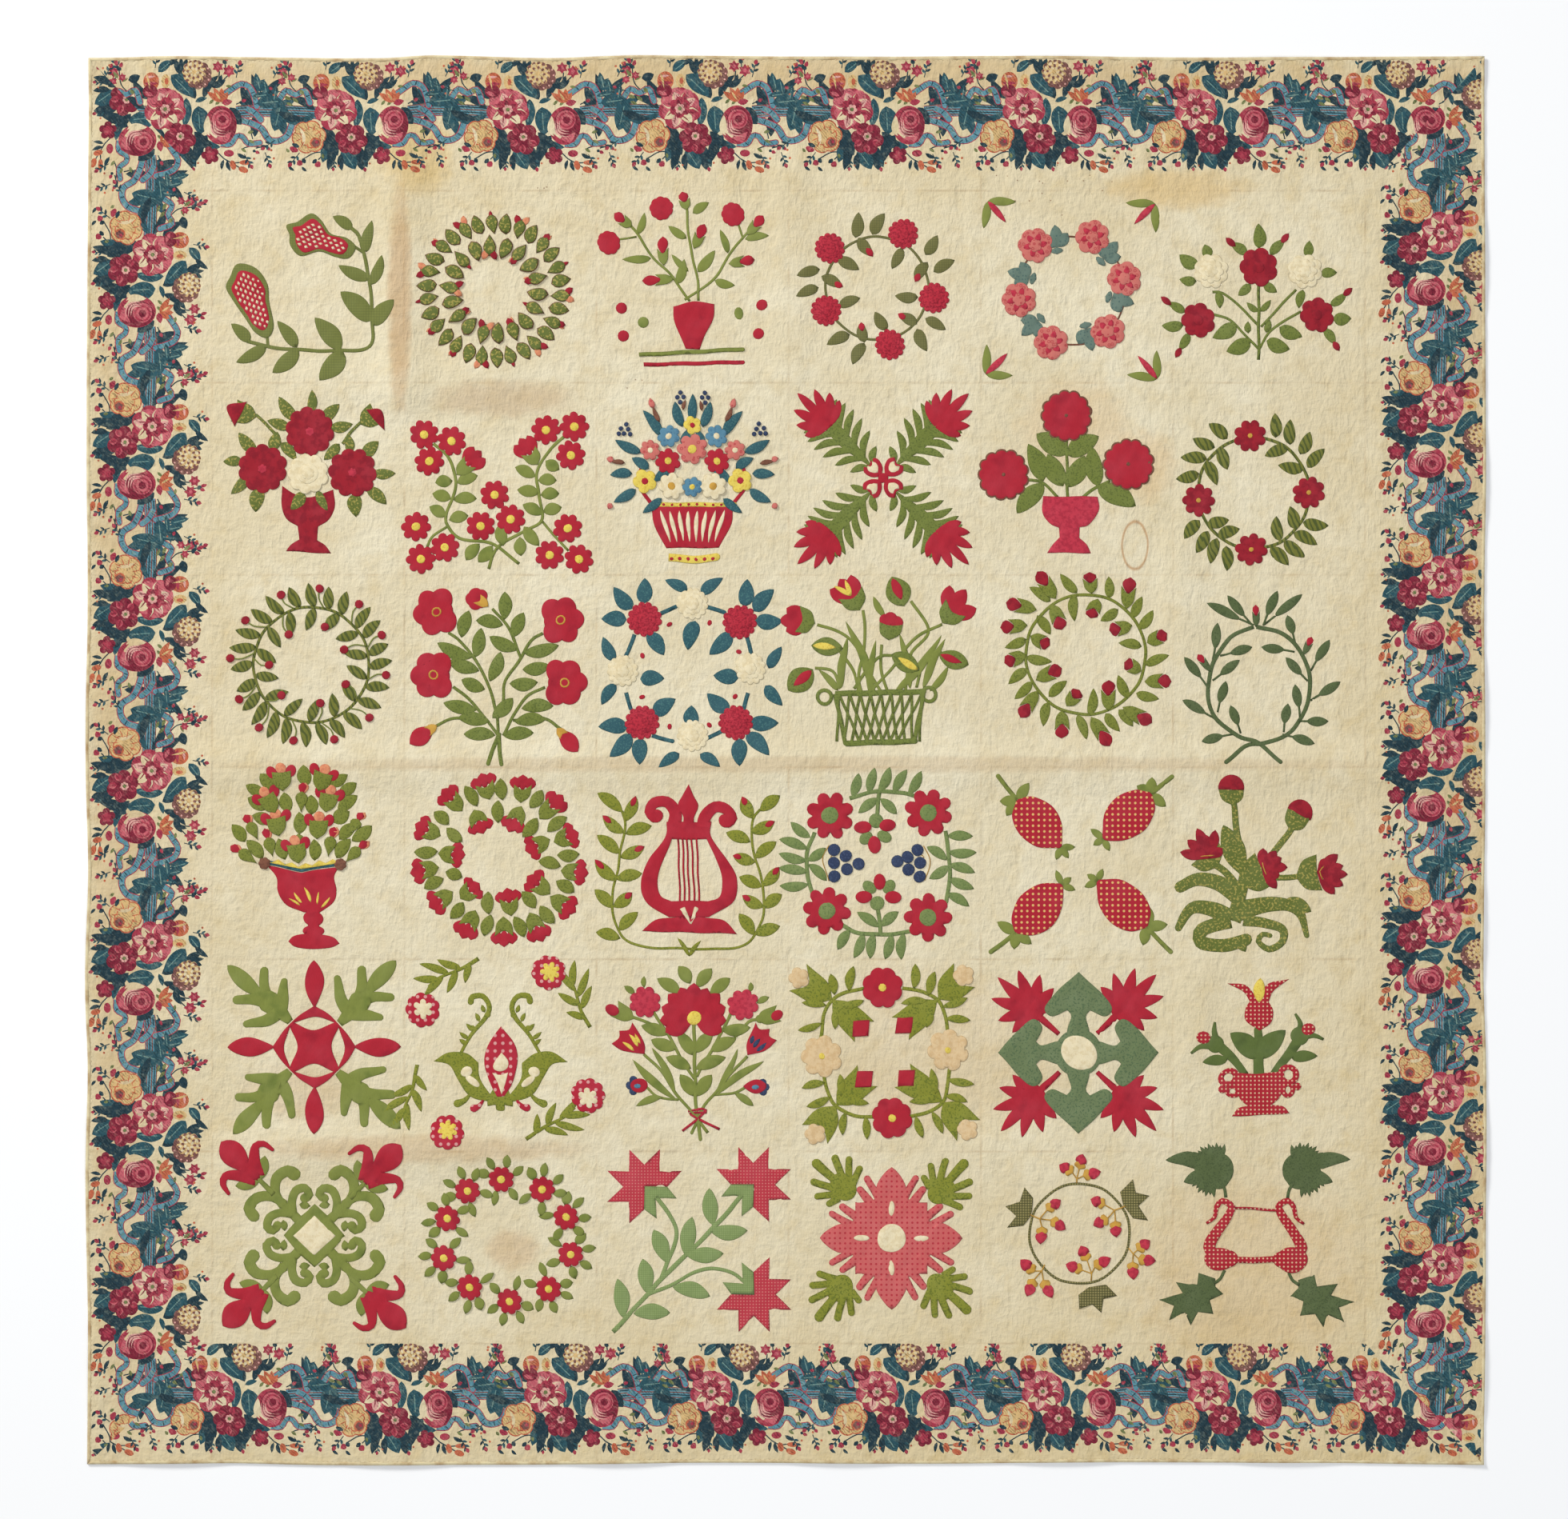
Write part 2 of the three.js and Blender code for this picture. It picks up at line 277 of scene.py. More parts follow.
def disc(centre, radius, tall=None, turn=0.0):
    """A round or oval."""
    count = max(8, round(radius * 1.1))
    around = np.exp(2j * np.pi * np.arange(count) / count)
    oval = around.real * radius + 1j * around.imag * (tall or radius)
    return centre + oval * np.exp(1j * math.radians(turn))


def petals(centre, radius, count, depth=0.14, turn=0.0):
    """A flower of round petals."""
    around = np.linspace(0, 2 * np.pi, count * PER_PETAL, endpoint=False)
    wave = abs(np.sin(count * around / 2)) ** 0.7
    return centre + radius * (1 - depth + depth * wave) * np.exp(1j * (around + math.radians(turn)))


def star(centre, outer, inner, count):
    """A star of straight-sided points, one of them upwards."""
    around = np.exp(1j * (np.pi * np.arange(2 * count) / count + math.pi / 2))
    return centre + np.where(np.arange(2 * count) % 2, inner, outer) * around


def stem(width, *points, closed=False, end=None):
    """A strip along a smooth line, even or narrowing to another width, with a round tip if it is broad."""
    line = curve(*points, closed=closed, step=7)
    ahead = np.roll(line, -1) - np.roll(line, 1) if closed else np.gradient(line)
    half = np.linspace(width, width if end is None else end, len(line)) / 2 * ahead / abs(ahead)
    if closed:
        return tuple(sorted((line + 1j * half, line - 1j * half), key=lambda side: -np.ptp(side.real)))
    tip = line[-1] + half[-1] * np.exp(1j * np.radians([60, 20, -20, -60] if abs(half[-1]) > 3 else []))
    return np.concatenate([line + 1j * half, tip, (line - 1j * half)[::-1]])


print("a 40 mm leaf has", len(leaf(0, 40, 22)), "places on its edge")

# %% [markdown]
# ## From flat outlines to cloth
# Blender's constrained triangulation takes any number of overlapping outlines and tells which of them
# cover each triangle. That one answer does three jobs here. Outlines of one cloth melt into one patch,
# holes are left out, and the printed chintz gets its colours on the very faces of the cloth, with no paint
# layer floating above it.


# %% Triangulation of outlines
COVERED_ONLY = 1  # the kind of answer: triangles that some outline covers
MERGED = 1e-3  # places nearer than this become one


def inside(points, edge):
    """Which of the points lie inside a closed outline."""
    a, b = edge, np.roll(edge, -1)
    px, py = points.real[:, None], points.imag[:, None]
    crosses = (a.imag > py) != (b.imag > py)
    with np.errstate(divide="ignore", invalid="ignore"):
        at = a.real + (py - a.imag) * (b.real - a.real) / (b.imag - a.imag)
    return (crosses & (px < at)).sum(1) % 2 == 1


def triangulate(loops, extra):
    """Triangles over all the loops: places, corners of each triangle, and the loops that cover it."""
    places = np.concatenate([*loops, extra])
    faces, first = [], 0
    for loop in loops:
        area = (loop.conj() * np.roll(loop, -1)).imag.sum()
        faces.append(list(range(first, first + len(loop)))[:: 1 if area > 0 else -1])
        first += len(loop)
    flat = [(p.real, p.imag) for p in places]
    verts, _, tris, _, _, cover = delaunay_2d_cdt(flat, [], faces, COVERED_ONLY, MERGED, True)
    found = np.array([complex(v.x, v.y) for v in verts])
    tris = np.array(tris)
    corner = found[tris]
    sides = corner[:, 1:] - corner[:, :1]
    backwards = (sides[:, 0].conj() * sides[:, 1]).imag < 0
    tris[backwards] = tris[backwards][:, ::-1]
    return found, tris, cover


square = triangulate([np.array([0, 10, 10 + 10j, 10j])], np.array([5 + 5j]))
print("a square with a place in its middle becomes", len(square[1]), "triangles")


# %% Places that fill an outline
ONE_ACROSS = 100000  # what one square to the right adds to a square's number, where one up adds 1


def staggered(corners, pitch):
    """Places on a staggered grid, inside a closed outline."""
    xs = np.arange(corners.real.min(), corners.real.max(), pitch)
    ys = np.arange(corners.imag.min() + pitch / 2, corners.imag.max(), pitch * 0.87)
    grid = np.array([x + k % 2 * pitch / 2 + 1j * y for k, y in enumerate(ys) for x in xs], complex)
    return grid[inside(grid, corners)] if len(grid) else grid


def clear_of(points, taken, gap):
    """The points that have none of the taken places in their own small square or in one beside it."""
    def square(p):
        return np.round(p.real / gap).astype(int) * ONE_ACROSS + np.round(p.imag / gap).astype(int)
    used = np.unique(square(taken))
    near = np.zeros(len(points), bool)
    for across in (-ONE_ACROSS, 0, ONE_ACROSS):
        for up in (-1, 0, 1):
            near |= np.isin(square(points) + across + up, used)
    return points[~near]


every = staggered(np.array([0, 40, 40 + 40j, 40j]), 8)
print(len(every), "places fill a square, and", len(clear_of(every, np.array([20 + 20j]), 8)),
      "leave its middle clear")

# %% A mesh from places and triangles
RIM_ANGLE = math.radians(50)


def add_mesh(name, points, faces, materials, face_material=None, crisp=False):
    """A finished mesh object at the origin, from places in millimetres; crisp keeps its rim an edge."""
    mesh = bpy.data.meshes.new(name)
    mesh.vertices.add(len(points))
    mesh.vertices.foreach_set("co", (points * MM).astype(np.float32).ravel())
    mesh.loops.add(faces.size)
    mesh.loops.foreach_set("vertex_index", faces.astype(np.int32).ravel())
    mesh.polygons.add(len(faces))
    mesh.polygons.foreach_set("loop_start", np.arange(0, faces.size, 3, dtype=np.int32))
    for material in materials:
        mesh.materials.append(material)
    if face_material is not None:
        mesh.polygons.foreach_set("material_index", np.asarray(face_material, np.int32))
    mesh.polygons.foreach_set("use_smooth", np.ones(len(faces), bool))
    mesh.update(calc_edges=True)
    mesh.validate()
    if crisp:
        mesh.set_sharp_from_angle(angle=RIM_ANGLE)
    piece = bpy.data.objects.new(name, mesh)
    bpy.context.collection.objects.link(piece)
    return piece


def border_edges(tris):
    """Edges that only one triangle has, in that triangle's direction."""
    edges = np.concatenate([tris[:, [0, 1]], tris[:, [1, 2]], tris[:, [2, 0]]])
    key = edges.min(1).astype(np.int64) * (edges.max() + 1) + edges.max(1)
    _, which, counts = np.unique(key, return_inverse=True, return_counts=True)
    return edges[counts[which] == 1]


print("two triangles that share a side have", len(border_edges(np.array([[0, 1, 2], [0, 2, 3]]))),
      "edges of one")

# %% [markdown]
# ## Finishes
# Old cotton is never one flat colour: the dye is uneven and the threads show. Each patch is also darker near
# its cut edge, which is painted shade for its turned-under edge.
# Each finish below is a short Python sum. A small class wraps a shader socket, so that `1 - mask` or
# `speckle * 0.2` adds the Math nodes, and one method reaches any other node. The patterns read Object
# coordinates, which are the quilt's own metres, so a print keeps its scale from patch to patch.


# %% Shader sums
THREAD_PITCH = 0.62
QUILTED_BUMP = 0.52


class Yarn:
    """A value on its way through a material; operators on it add the nodes."""

    def __init__(self, tree, socket):
        self.tree, self.socket = tree, socket

    def node(self, kind, settings, output, **inputs):
        """Any other node: its settings first, then the values or links of its sockets."""
        made = self.tree.nodes.new("ShaderNode" + kind)
        for key, value in settings.items():
            setattr(made, key, value)
        for key, value in inputs.items():
            socket = made.inputs[int(key[1:]) if key[0] == "_" else key]
            if isinstance(value, Yarn):
                self.tree.links.new(value.socket, socket)
            else:
                socket.default_value = value
        return Yarn(self.tree, made.outputs[output])

    def maths(self, operation, first, second=0.0):
        return self.node("Math", {"operation": operation}, 0, _0=first, _1=second)

    def __add__(self, other):
        return self.maths("ADD", self, other)

    def __sub__(self, other):
        return self.maths("SUBTRACT", self, other)

    def __rsub__(self, other):
        return self.maths("SUBTRACT", other, self)

    def __mul__(self, other):
        return self.maths("MULTIPLY", self, other)

    def __abs__(self):
        return self.maths("ABSOLUTE", self)

    __radd__ = __add__
    __rmul__ = __mul__

    def most(self, other):
        """The larger of two values."""
        return self.maths("MAXIMUM", self, other)

    def least(self, other):
        """The smaller of two values."""
        return self.maths("MINIMUM", self, other)

    def step(self, low, high):
        """0 below low and 1 above high, with soft ends."""
        soft = {"interpolation_type": "SMOOTHSTEP"}
        return self.node("MapRange", soft, 0, Value=self, _1=float(low), _2=float(high))

    def between(self, first, second):
        """The first colour where this mask is 0, and the second where it is 1."""
        return self.node("Mix", {"data_type": "RGBA"}, 2, _0=self, _6=first, _7=second)

    def shaded(self, shade):
        """This colour, lighter or darker."""
        return self.node("VectorMath", {"operation": "SCALE"}, 0, _0=self, Scale=shade)

    def scaled(self, x, y, z=1.0):
        """This place, stretched."""
        return self.node("VectorMath", {"operation": "MULTIPLY"}, 0, _0=self, _1=(x, y, z))

    def noise(self, size, detail=2.0, rough=0.5):
        """Soft random values about 0.5, in lumps of this many millimetres."""
        return self.node("TexNoise", {}, 0, Vector=self, Scale=1000 / size, Detail=detail, Roughness=rough)

    def wave(self, pitch, direction, wander=0.0):
        """Bands from 0 to 1, a pitch apart in millimetres."""
        bands = {"wave_type": "BANDS", "bands_direction": direction}
        return self.node("TexWave", bands, 1, Vector=self, Scale=1000 / pitch * math.pi / 10,
                         Distortion=wander)

    def spots(self, size, spread):
        """Distance from the nearest of many scattered spots, in shares of their spacing."""
        return self.node("TexVoronoi", {}, 0, Vector=self, Scale=1000 / size, Randomness=spread)

    def x_and_y(self):
        """This place's two coordinates."""
        x = self.node("SeparateXYZ", {}, 0, Vector=self)
        return x, Yarn(self.tree, x.socket.node.outputs[1])


print("a place can be", ", ".join(name for name in vars(Yarn) if name[0] != "_"))


# %% The first and the last step of a finish
def tone(red, green, blue):
    """A colour given as it looks on a screen, from 0 to 255, for a shader."""
    shares = (np.array([red, green, blue]) / 255).clip(0, 1)
    linear = np.where(shares <= 0.04045, shares / 12.92, ((shares + 0.055) / 1.055) ** 2.4)
    return (*linear.tolist(), 1.0)


def start_finish(name):
    """A new cotton material: the material, its shader, and the place on the cloth."""
    material = bpy.data.materials.new(name)
    material.use_nodes = True
    shader = material.node_tree.nodes["Principled BSDF"]
    shader.inputs["Roughness"].default_value = 0.86
    shader.inputs["Specular IOR Level"].default_value = 0.22
    shader.inputs["Sheen Weight"].default_value = 0.1
    shader.inputs["Sheen Roughness"].default_value = 0.5
    coordinates = material.node_tree.nodes.new("ShaderNodeTexCoord")
    return material, shader, Yarn(material.node_tree, coordinates.outputs["Object"])


def end_finish(shader, colour, relief, strength):
    """Joins a colour, and a relief in millimetres, to the shader."""
    bump = relief.node("Bump", {}, 0, Height=relief * MM, Strength=strength, Distance=1.0)
    bump.tree.links.new(bump.socket, shader.inputs["Normal"])
    bump.tree.links.new(colour.socket, shader.inputs["Base Color"])


def weave(place):
    """The relief of a plain weave: threads both ways."""
    return (place.wave(THREAD_PITCH, "X", 0.6) + place.wave(THREAD_PITCH, "Y", 0.6)) * 0.05


print("the cream of the muslin is", [round(part, 3) for part in tone(216, 203, 170)], "to the shader")


# %% [markdown]
# ### Applique cottons
# The maker cut the pictures from a handful of cloths: turkey red, plain or dotted; greens plain, checked
# and speckled; a few rose prints, blues and creams. A row of the table is one of those cloths: its dye,
# the colour of its print, and which print it carries. A print is a mask over the place on the cloth.


# %% Prints as masks
def plain(place, size):
    return place.noise(size * 3).step(0.5, 0.75)


def mottled(place, size):
    return place.noise(size, 3.0, 0.6).step(0.42, 0.62)


def speckled(place, size):
    return place.noise(size, 1.0).step(0.54, 0.62)


def dotted(place, size):
    cell = place.scaled(1000 / size, 1000 / size, 0)
    cell = cell.node("VectorMath", {"operation": "FRACTION"}, 0, _0=cell)
    away = cell.node("VectorMath", {"operation": "DISTANCE"}, 1, _0=cell, _1=(0.5, 0.5, 0))
    return 1 - away.step(0.17, 0.26)


def checked(place, size):
    return place.wave(size, "X").step(0.7, 0.86).most(place.wave(size, "Y").step(0.7, 0.86))


def sprigged(place, size):
    away = place.spots(size, 0.65)
    return (away.step(0.18, 0.26) * (1 - away.step(0.34, 0.42))).most(1 - away.step(0.08, 0.14))


def veined(place, size):
    return place.scaled(1, 0.45).wave(size, "DIAGONAL", 5.0).step(0.5, 0.75)


prints = (plain, mottled, speckled, dotted, checked, sprigged, veined)
print("prints:", ", ".join(mask.__name__ for mask in prints))


# %% The bag of cloths: dye, print colour, print, its size in millimetres, and its strength
CLOTHS = {
    "turkey_red": [(168, 31, 47), (136, 22, 40), plain, 12, 0.5],
    "old_red": [(150, 26, 40), (118, 18, 34), mottled, 14, 0.6],
    "rose_red": [(186, 50, 68), (150, 32, 52), mottled, 7, 0.6],
    "dotted_red": [(163, 29, 42), (222, 190, 152), dotted, 8, 0.8],
    "sprig_red": [(172, 38, 54), (222, 176, 150), sprigged, 10, 0.6],
    "ruched_red": [(180, 42, 58), (132, 22, 40), mottled, 4, 0.8],
    "pink_print": [(196, 108, 98), (168, 56, 62), sprigged, 9, 0.75],
    "dotted_pink": [(194, 90, 90), (146, 32, 48), dotted, 6, 0.9],
    "leaf_green": [(122, 130, 60), (96, 110, 47), plain, 12, 0.7],
    "fern_green": [(109, 119, 53), (82, 94, 42), speckled, 3.4, 0.7],
    "check_green": [(120, 124, 60), (86, 94, 50), checked, 3.2, 0.75],
    "vein_green": [(110, 112, 46), (64, 76, 36), veined, 5, 0.8],
    "print_green": [(95, 105, 45), (168, 154, 80), speckled, 4.5, 0.75],
    "spruce": [(83, 96, 58), (60, 74, 44), speckled, 3, 0.6],
    "forest": [(116, 112, 62), (66, 72, 42), checked, 3.4, 0.6],
    "sage": [(115, 130, 74), (85, 106, 58), speckled, 3, 0.6],
    "olive": [(117, 123, 48), (83, 93, 34), speckled, 3, 0.7],
    "teal": [(44, 84, 92), (76, 118, 116), speckled, 3, 0.6],
    "cream": [(226, 212, 176), (204, 184, 140), mottled, 9, 0.5],
    "yellow": [(220, 196, 84), (196, 160, 60), speckled, 4, 0.6],
    "gold": [(196, 150, 62), (164, 118, 48), plain, 8, 0.6],
    "ring_red": [(170, 32, 50), (222, 176, 168), dotted, 15, 0.7],
    "forest_olive": [(88, 103, 50), (62, 77, 38), plain, 10, 0.6],
    "sage_blue": [(103, 118, 80), (74, 96, 66), speckled, 4, 0.7],
    "bleached": [(214, 186, 142), (198, 164, 116), mottled, 8, 0.6],
    "strawberry": [(166, 30, 46), (226, 190, 116), dotted, 11, 0.8],
    "ring_pink": [(194, 92, 90), (172, 46, 58), dotted, 10, 0.95],
    "star_pink": [(178, 52, 64), (220, 148, 136), dotted, 6, 0.55],
    "moss": [(128, 131, 44), (94, 105, 36), speckled, 3.4, 0.8],
    "mint": [(136, 153, 96), (98, 119, 64), checked, 3.6, 0.6],
    "plaid_olive": [(134, 124, 76), (72, 72, 38), checked, 5, 0.95],
    "peach": [(214, 140, 100), (190, 100, 78), mottled, 6, 0.6],
    "tan": [(190, 158, 118), (158, 122, 88), mottled, 7, 0.7],
    "brown": [(122, 78, 58), (92, 56, 44), mottled, 5, 0.6],
    "navy": [(44, 56, 84), (70, 86, 116), speckled, 3, 0.5],
    "dusty_blue": [(98, 118, 106), (66, 92, 90), sprigged, 6, 0.7],
    "blue": [(84, 128, 150), (56, 92, 122), sprigged, 7, 0.6],
}
print(len(CLOTHS), "applique cottons on the table")

# %% Dyeing a cloth when it is first used
finishes = {}


def cotton(name):
    """The material of one of the maker's cloths, made when it is first used."""
    if name not in finishes:
        dye, ink, print_mask, size, amount = CLOTHS[name]
        faded = [255 - 0.84 * (255 - part) for part in dye]
        material, shader, place = start_finish("cotton_" + name)
        base = (place.noise(55, 3.0).step(0.35, 0.8) * 0.3).between(tone(*dye), tone(*faded))
        printed = (print_mask(place, size) * amount).between(base, tone(*ink))
        # painted shade: from_edge runs from 0 at a patch's cut edge to 1 inside, and the colour is darkened
        # by up to a third towards the edge, standing in for the shadow of the turned-under edge
        rim = place.node("Attribute", {"attribute_name": "from_edge"}, 2)
        slub = place.scaled(1, 0.25).noise(1.6)
        colour = printed.shaded((0.68 + 0.32 * rim) * (0.88 + 0.24 * slub))
        wrinkle = place.scaled(1, 0.35).noise(7)
        end_finish(shader, colour, weave(place) + wrinkle * 0.5, 0.35)
        finishes[name] = material
    return finishes[name]


print(len(finishes), "of them dyed so far")

# %% [markdown]
# ### Aged muslin
# The ground has a history: it has yellowed towards the borders and the lower right, water left tide
# marks, and rust left dots. Each mark is a row of a table, with its place, its size and its strength, and
# a loop lays the rows over the cream one by one. A fine pucker in the bump stands for the shrinkage
# between the quilting stitches, which is too small for the mesh.

# %% Marks on the muslin: centre, half sizes and strength
STAINS = [
    {"at": -545 + 700j, "size": (150, 40), "strength": 0.34, "dye": (172, 130, 84)},
    {"at": -715 + 1170j, "size": (76, 84), "strength": 0.5, "dye": (204, 168, 92)},
    {"at": 756 + 1106j, "size": (150, 44), "strength": 0.45, "dye": (206, 168, 96)},
    {"at": -747 + 900j, "size": (26, 230), "strength": 0.5, "dye": (178, 132, 80)},
    {"at": -1290 + 0j, "size": (60, 1500), "strength": 0.3, "dye": (186, 148, 96)},
    {"at": 0 + 1320j, "size": (1500, 50), "strength": 0.34, "dye": (190, 152, 96)},
    {"at": 1310 + 100j, "size": (60, 1500), "strength": 0.3, "dye": (180, 144, 96)},
    {"at": 690 + 570j, "size": (70, 74), "strength": 0.4, "dye": (204, 164, 104)},
    {"at": 560 + 640j, "size": (120, 110), "strength": 0.26, "dye": (206, 164, 106)},
    {"at": -530 - 948j, "size": (56, 44), "strength": 0.34, "dye": (184, 138, 84)},
    {"at": 320 - 560j, "size": (280, 170), "strength": 0.2, "dye": (190, 150, 90)},
    {"at": 900 - 1000j, "size": (240, 220), "strength": 0.3, "dye": (196, 158, 100)},
    {"at": -700 - 752j, "size": (330, 30), "strength": 0.34, "dye": (180, 138, 88)},
    {"at": 60 - 8j, "size": (1200, 18), "strength": 0.28, "dye": (176, 140, 94)},
    {"at": -940 - 640j, "size": (120, 60), "strength": 0.26, "dye": (184, 140, 84)},
]
TIDE_MARK = {"at": 676 + 416j, "size": (27, 50), "strength": 0.7, "dye": (176, 128, 78)}
RUSTY = [
    {"at": -430 + 1118j, "size": (95, 26)},
    {"at": 495 + 1104j, "size": (150, 60)},
    {"at": -300 + 722j, "size": (50, 26)},
]
print(len(STAINS), "stains, one tide mark and", len(RUSTY), "rusty places")

# %% The colour of the muslin
CREAM, PALE, WARM = tone(216, 203, 170), tone(228, 219, 192), tone(202, 180, 132)
DUST, RUST = tone(176, 150, 112), tone(120, 74, 46)


def blot(place, at, size, ragged=0.5):
    """A soft mask over an uneven oval."""
    x, y = place.x_and_y()
    dx = (x - at.real * MM) * (1 / (size[0] * MM))
    dy = (y - at.imag * MM) * (1 / (size[1] * MM))
    away = dx * dx + dy * dy + (place.noise(30, 3.0) - 0.5) * (2 * ragged)
    return 1 - away.step(0.15, 1.25)


def yellowed(place):
    """Cream cloth that has yellowed unevenly, most of all towards the edge and the lower right."""
    x, y = place.x_and_y()
    patches = (place.noise(190, 4.0, 0.6).step(0.35, 0.72) * 0.75).between(CREAM, PALE)
    clouds = place.noise(46, 5.0, 0.65).step(0.42, 0.78) * 0.4
    edge = abs(x).most(abs(y)).step(0.85, 1.34)
    return (edge * 0.42 + (x - y).step(0.2, 2.2) * 0.22 + clouds).between(patches, WARM)


def marked(place, colour):
    """The colour under the seams' dust, the stains, the tide mark and the rust dots."""
    x, y = place.x_and_y()
    seam_x = x.maths("PINGPONG", x - LEFT * MM, BLOCK * MM / 2)
    seam_y = y.maths("PINGPONG", y - BOTTOM * MM, BLOCK * MM / 2)
    dusty = 0.08 + 0.4 * place.noise(60, 3.0).step(0.45, 0.75)
    colour = ((1 - seam_x.least(seam_y).step(0.0, 0.004)) * dusty).between(colour, DUST)
    for mark in STAINS:
        mask = blot(place, mark["at"], mark["size"])
        colour = (mask * mark["strength"]).between(colour, tone(*mark["dye"]))
    wet = blot(place, TIDE_MARK["at"], TIDE_MARK["size"], 0.1)
    ring = wet.step(0.05, 0.3) * (1 - wet.step(0.3, 0.6))
    colour = (ring * TIDE_MARK["strength"]).between(colour, tone(*TIDE_MARK["dye"]))
    dots = 1 - place.spots(15, 1.0).step(0.07, 0.13)
    for mark in RUSTY:
        mask = blot(place, mark["at"], mark["size"], 0.1).step(0.0, 0.4)
        colour = (dots * mask * 0.65).between(colour, RUST)
    return colour


print("cream and rust, to the shader:", np.round([CREAM, RUST], 2).tolist())


# %% Creases of the muslin, and its material
def crumpled(place):
    """Creases of washed and quilted cloth, in millimetres: sharp folds both ways over soft waves."""
    tall = 1 - abs(place.scaled(1, 0.42).noise(13, 3.0, 0.5) * 2 - 1)
    wide = 1 - abs(place.scaled(0.5, 1).noise(19, 3.0, 0.5) * 2 - 1)
    return tall * 4.4 + wide * 3.0 + place.noise(6, 2.0, 0.5) * 1.1


def muslin():
    """The finish of the ground."""
    material, shader, place = start_finish("aged_muslin")
    creased = crumpled(place)
    # painted shade: the colour is darkened by up to 7% wherever the crease relief is low, in the hollows
    # between its ridges
    crease_shade = 0.93 + 0.07 * (creased * 0.13).step(0.55, 0.95)
    end_finish(shader, marked(place, yellowed(place)).shaded(crease_shade), weave(place) + creased, QUILTED_BUMP)
    return material


muslin_finish = muslin()
print("the muslin's finish has", len(muslin_finish.node_tree.nodes), "nodes")

# %% [markdown]
# ### Printed chintz
# The border cloth was printed in flat colours over cream. Each colour is its own material, worn by the
# faces that the flower outlines cut out of the cloth, and all of them share one weave and one pucker, so
# that the relief runs on under the print.

# %% The colours of the print
CHINTZ_TONES = {
    "ground": (214, 200, 164),
    "pale_pink": (214, 158, 148),
    "pink": (190, 92, 102),
    "rose": (160, 52, 70),
    "deep_rose": (122, 30, 50),
    "orange": (186, 96, 66),
    "tan_rose": (206, 172, 116),
    "brown": (118, 76, 70),
    "teal": (38, 78, 88),
    "dark_teal": (28, 54, 64),
    "pale_teal": (104, 138, 132),
    "ribbon": (86, 136, 150),
    "olive": (110, 118, 72),
}


def printed(name):
    """One colour of the chintz, engraved with finer and darker lines as a roller print is."""
    material, shader, place = start_finish("chintz_" + name)
    dye = CHINTZ_TONES[name]
    deep = [part * 0.62 for part in dye]
    worn = [part + 0.35 * (ground - part) for part, ground in zip(dye, CHINTZ_TONES["ground"])]
    if name == "ground":
        colour = marked(place, yellowed(place))
    else:
        lines = place.wave(3.4, "DIAGONAL", 7.0).step(0.5, 0.9) * place.noise(9, 2.0).step(0.36, 0.6)
        base = place.noise(7, 3.0, 0.6).step(0.45, 0.8).between(tone(*dye), tone(*worn))
        colour = (lines * 0.75).between(base, tone(*deep))
    creased = crumpled(place)
    # painted shade: the colour is darkened by up to 7% wherever the crease relief is low, in the hollows
    # between its ridges
    crease_shade = 0.93 + 0.07 * (creased * 0.13).step(0.55, 0.95)
    end_finish(shader, colour.shaded(crease_shade), weave(place) + creased, QUILTED_BUMP)
    return material


chintz = [printed(name) for name in CHINTZ_TONES]
print(len(chintz), "colours of chintz")

# %% [markdown]
# ## The muslin ground
# The maker sewed the blocks together in rows. A quilted cloth could be a plane with a displacement, but a
# closed sheet with its own thickness is wanted here, and it has to meet the relief that the applique
# follows. So numpy lays a fine grid of places on the top, a grid half as fine underneath, and a wall of
# small fans between the two. One strip is one row of blocks.

# %% Rows of blocks
ROW_CELLS = {"across": 300, "up": 50}


def row_of_blocks(row):
    """One closed strip of quilted muslin; row 0 is the top one."""
    nx, ny = ROW_CELLS["across"], ROW_CELLS["up"]
    xs = np.linspace(LEFT, RIGHT, nx + 1)
    ys = np.linspace(TOP - (row + 1) * BLOCK, TOP - row * BLOCK, ny + 1)
    x, y = (part.ravel() for part in np.meshgrid(xs, ys))
    x2, y2 = (part.ravel() for part in np.meshgrid(xs[::2], ys[::2]))
    upper = np.column_stack([x, y, top_of(x, y)])
    lower = np.column_stack([x2, y2, underside(x2, y2)])

    def grid_faces(columns, rows, first, flip):
        corner = first + (np.arange(rows)[:, None] * (columns + 1) + np.arange(columns)).ravel()
        quads = np.column_stack([corner, corner + 1, corner + columns + 2, corner + columns + 1])
        turned = (np.arange(len(quads)) // columns + np.arange(len(quads)) % columns) % 2 == 1
        quads[turned] = np.roll(quads[turned], 1, 1)
        faces = np.concatenate([quads[:, [0, 1, 2]], quads[:, [0, 2, 3]]])
        return faces[:, ::-1] if flip else faces

    def ring(columns, rows, first):
        row_start = np.arange(rows + 1) * (columns + 1)
        sides = [np.arange(columns), row_start[:-1] + columns, np.arange(columns, 0, -1) + row_start[-1],
                 row_start[:0:-1]]
        return first + np.concatenate(sides)

    fine = ring(nx, ny, 0)
    coarse = ring(nx // 2, ny // 2, len(x))
    a, b, c = fine[::2], fine[1::2], np.roll(fine, -2)[::2]
    low, after = coarse, np.roll(coarse, -1)
    walls = [np.column_stack(part) for part in ([a, low, b], [low, after, b], [b, after, c])]
    faces = [grid_faces(nx, ny, 0, False), grid_faces(nx // 2, ny // 2, len(x), True), *walls]
    points, faces = np.concatenate([upper, lower]), np.concatenate(faces)
    return add_mesh(f"muslin_row_{row + 1}", points, faces, [muslin_finish], crisp=True)


ground_rows = [row_of_blocks(row) for row in range(BLOCKS)]
print(len(ground_rows), "rows of", len(ground_rows[0].data.polygons), "triangles")

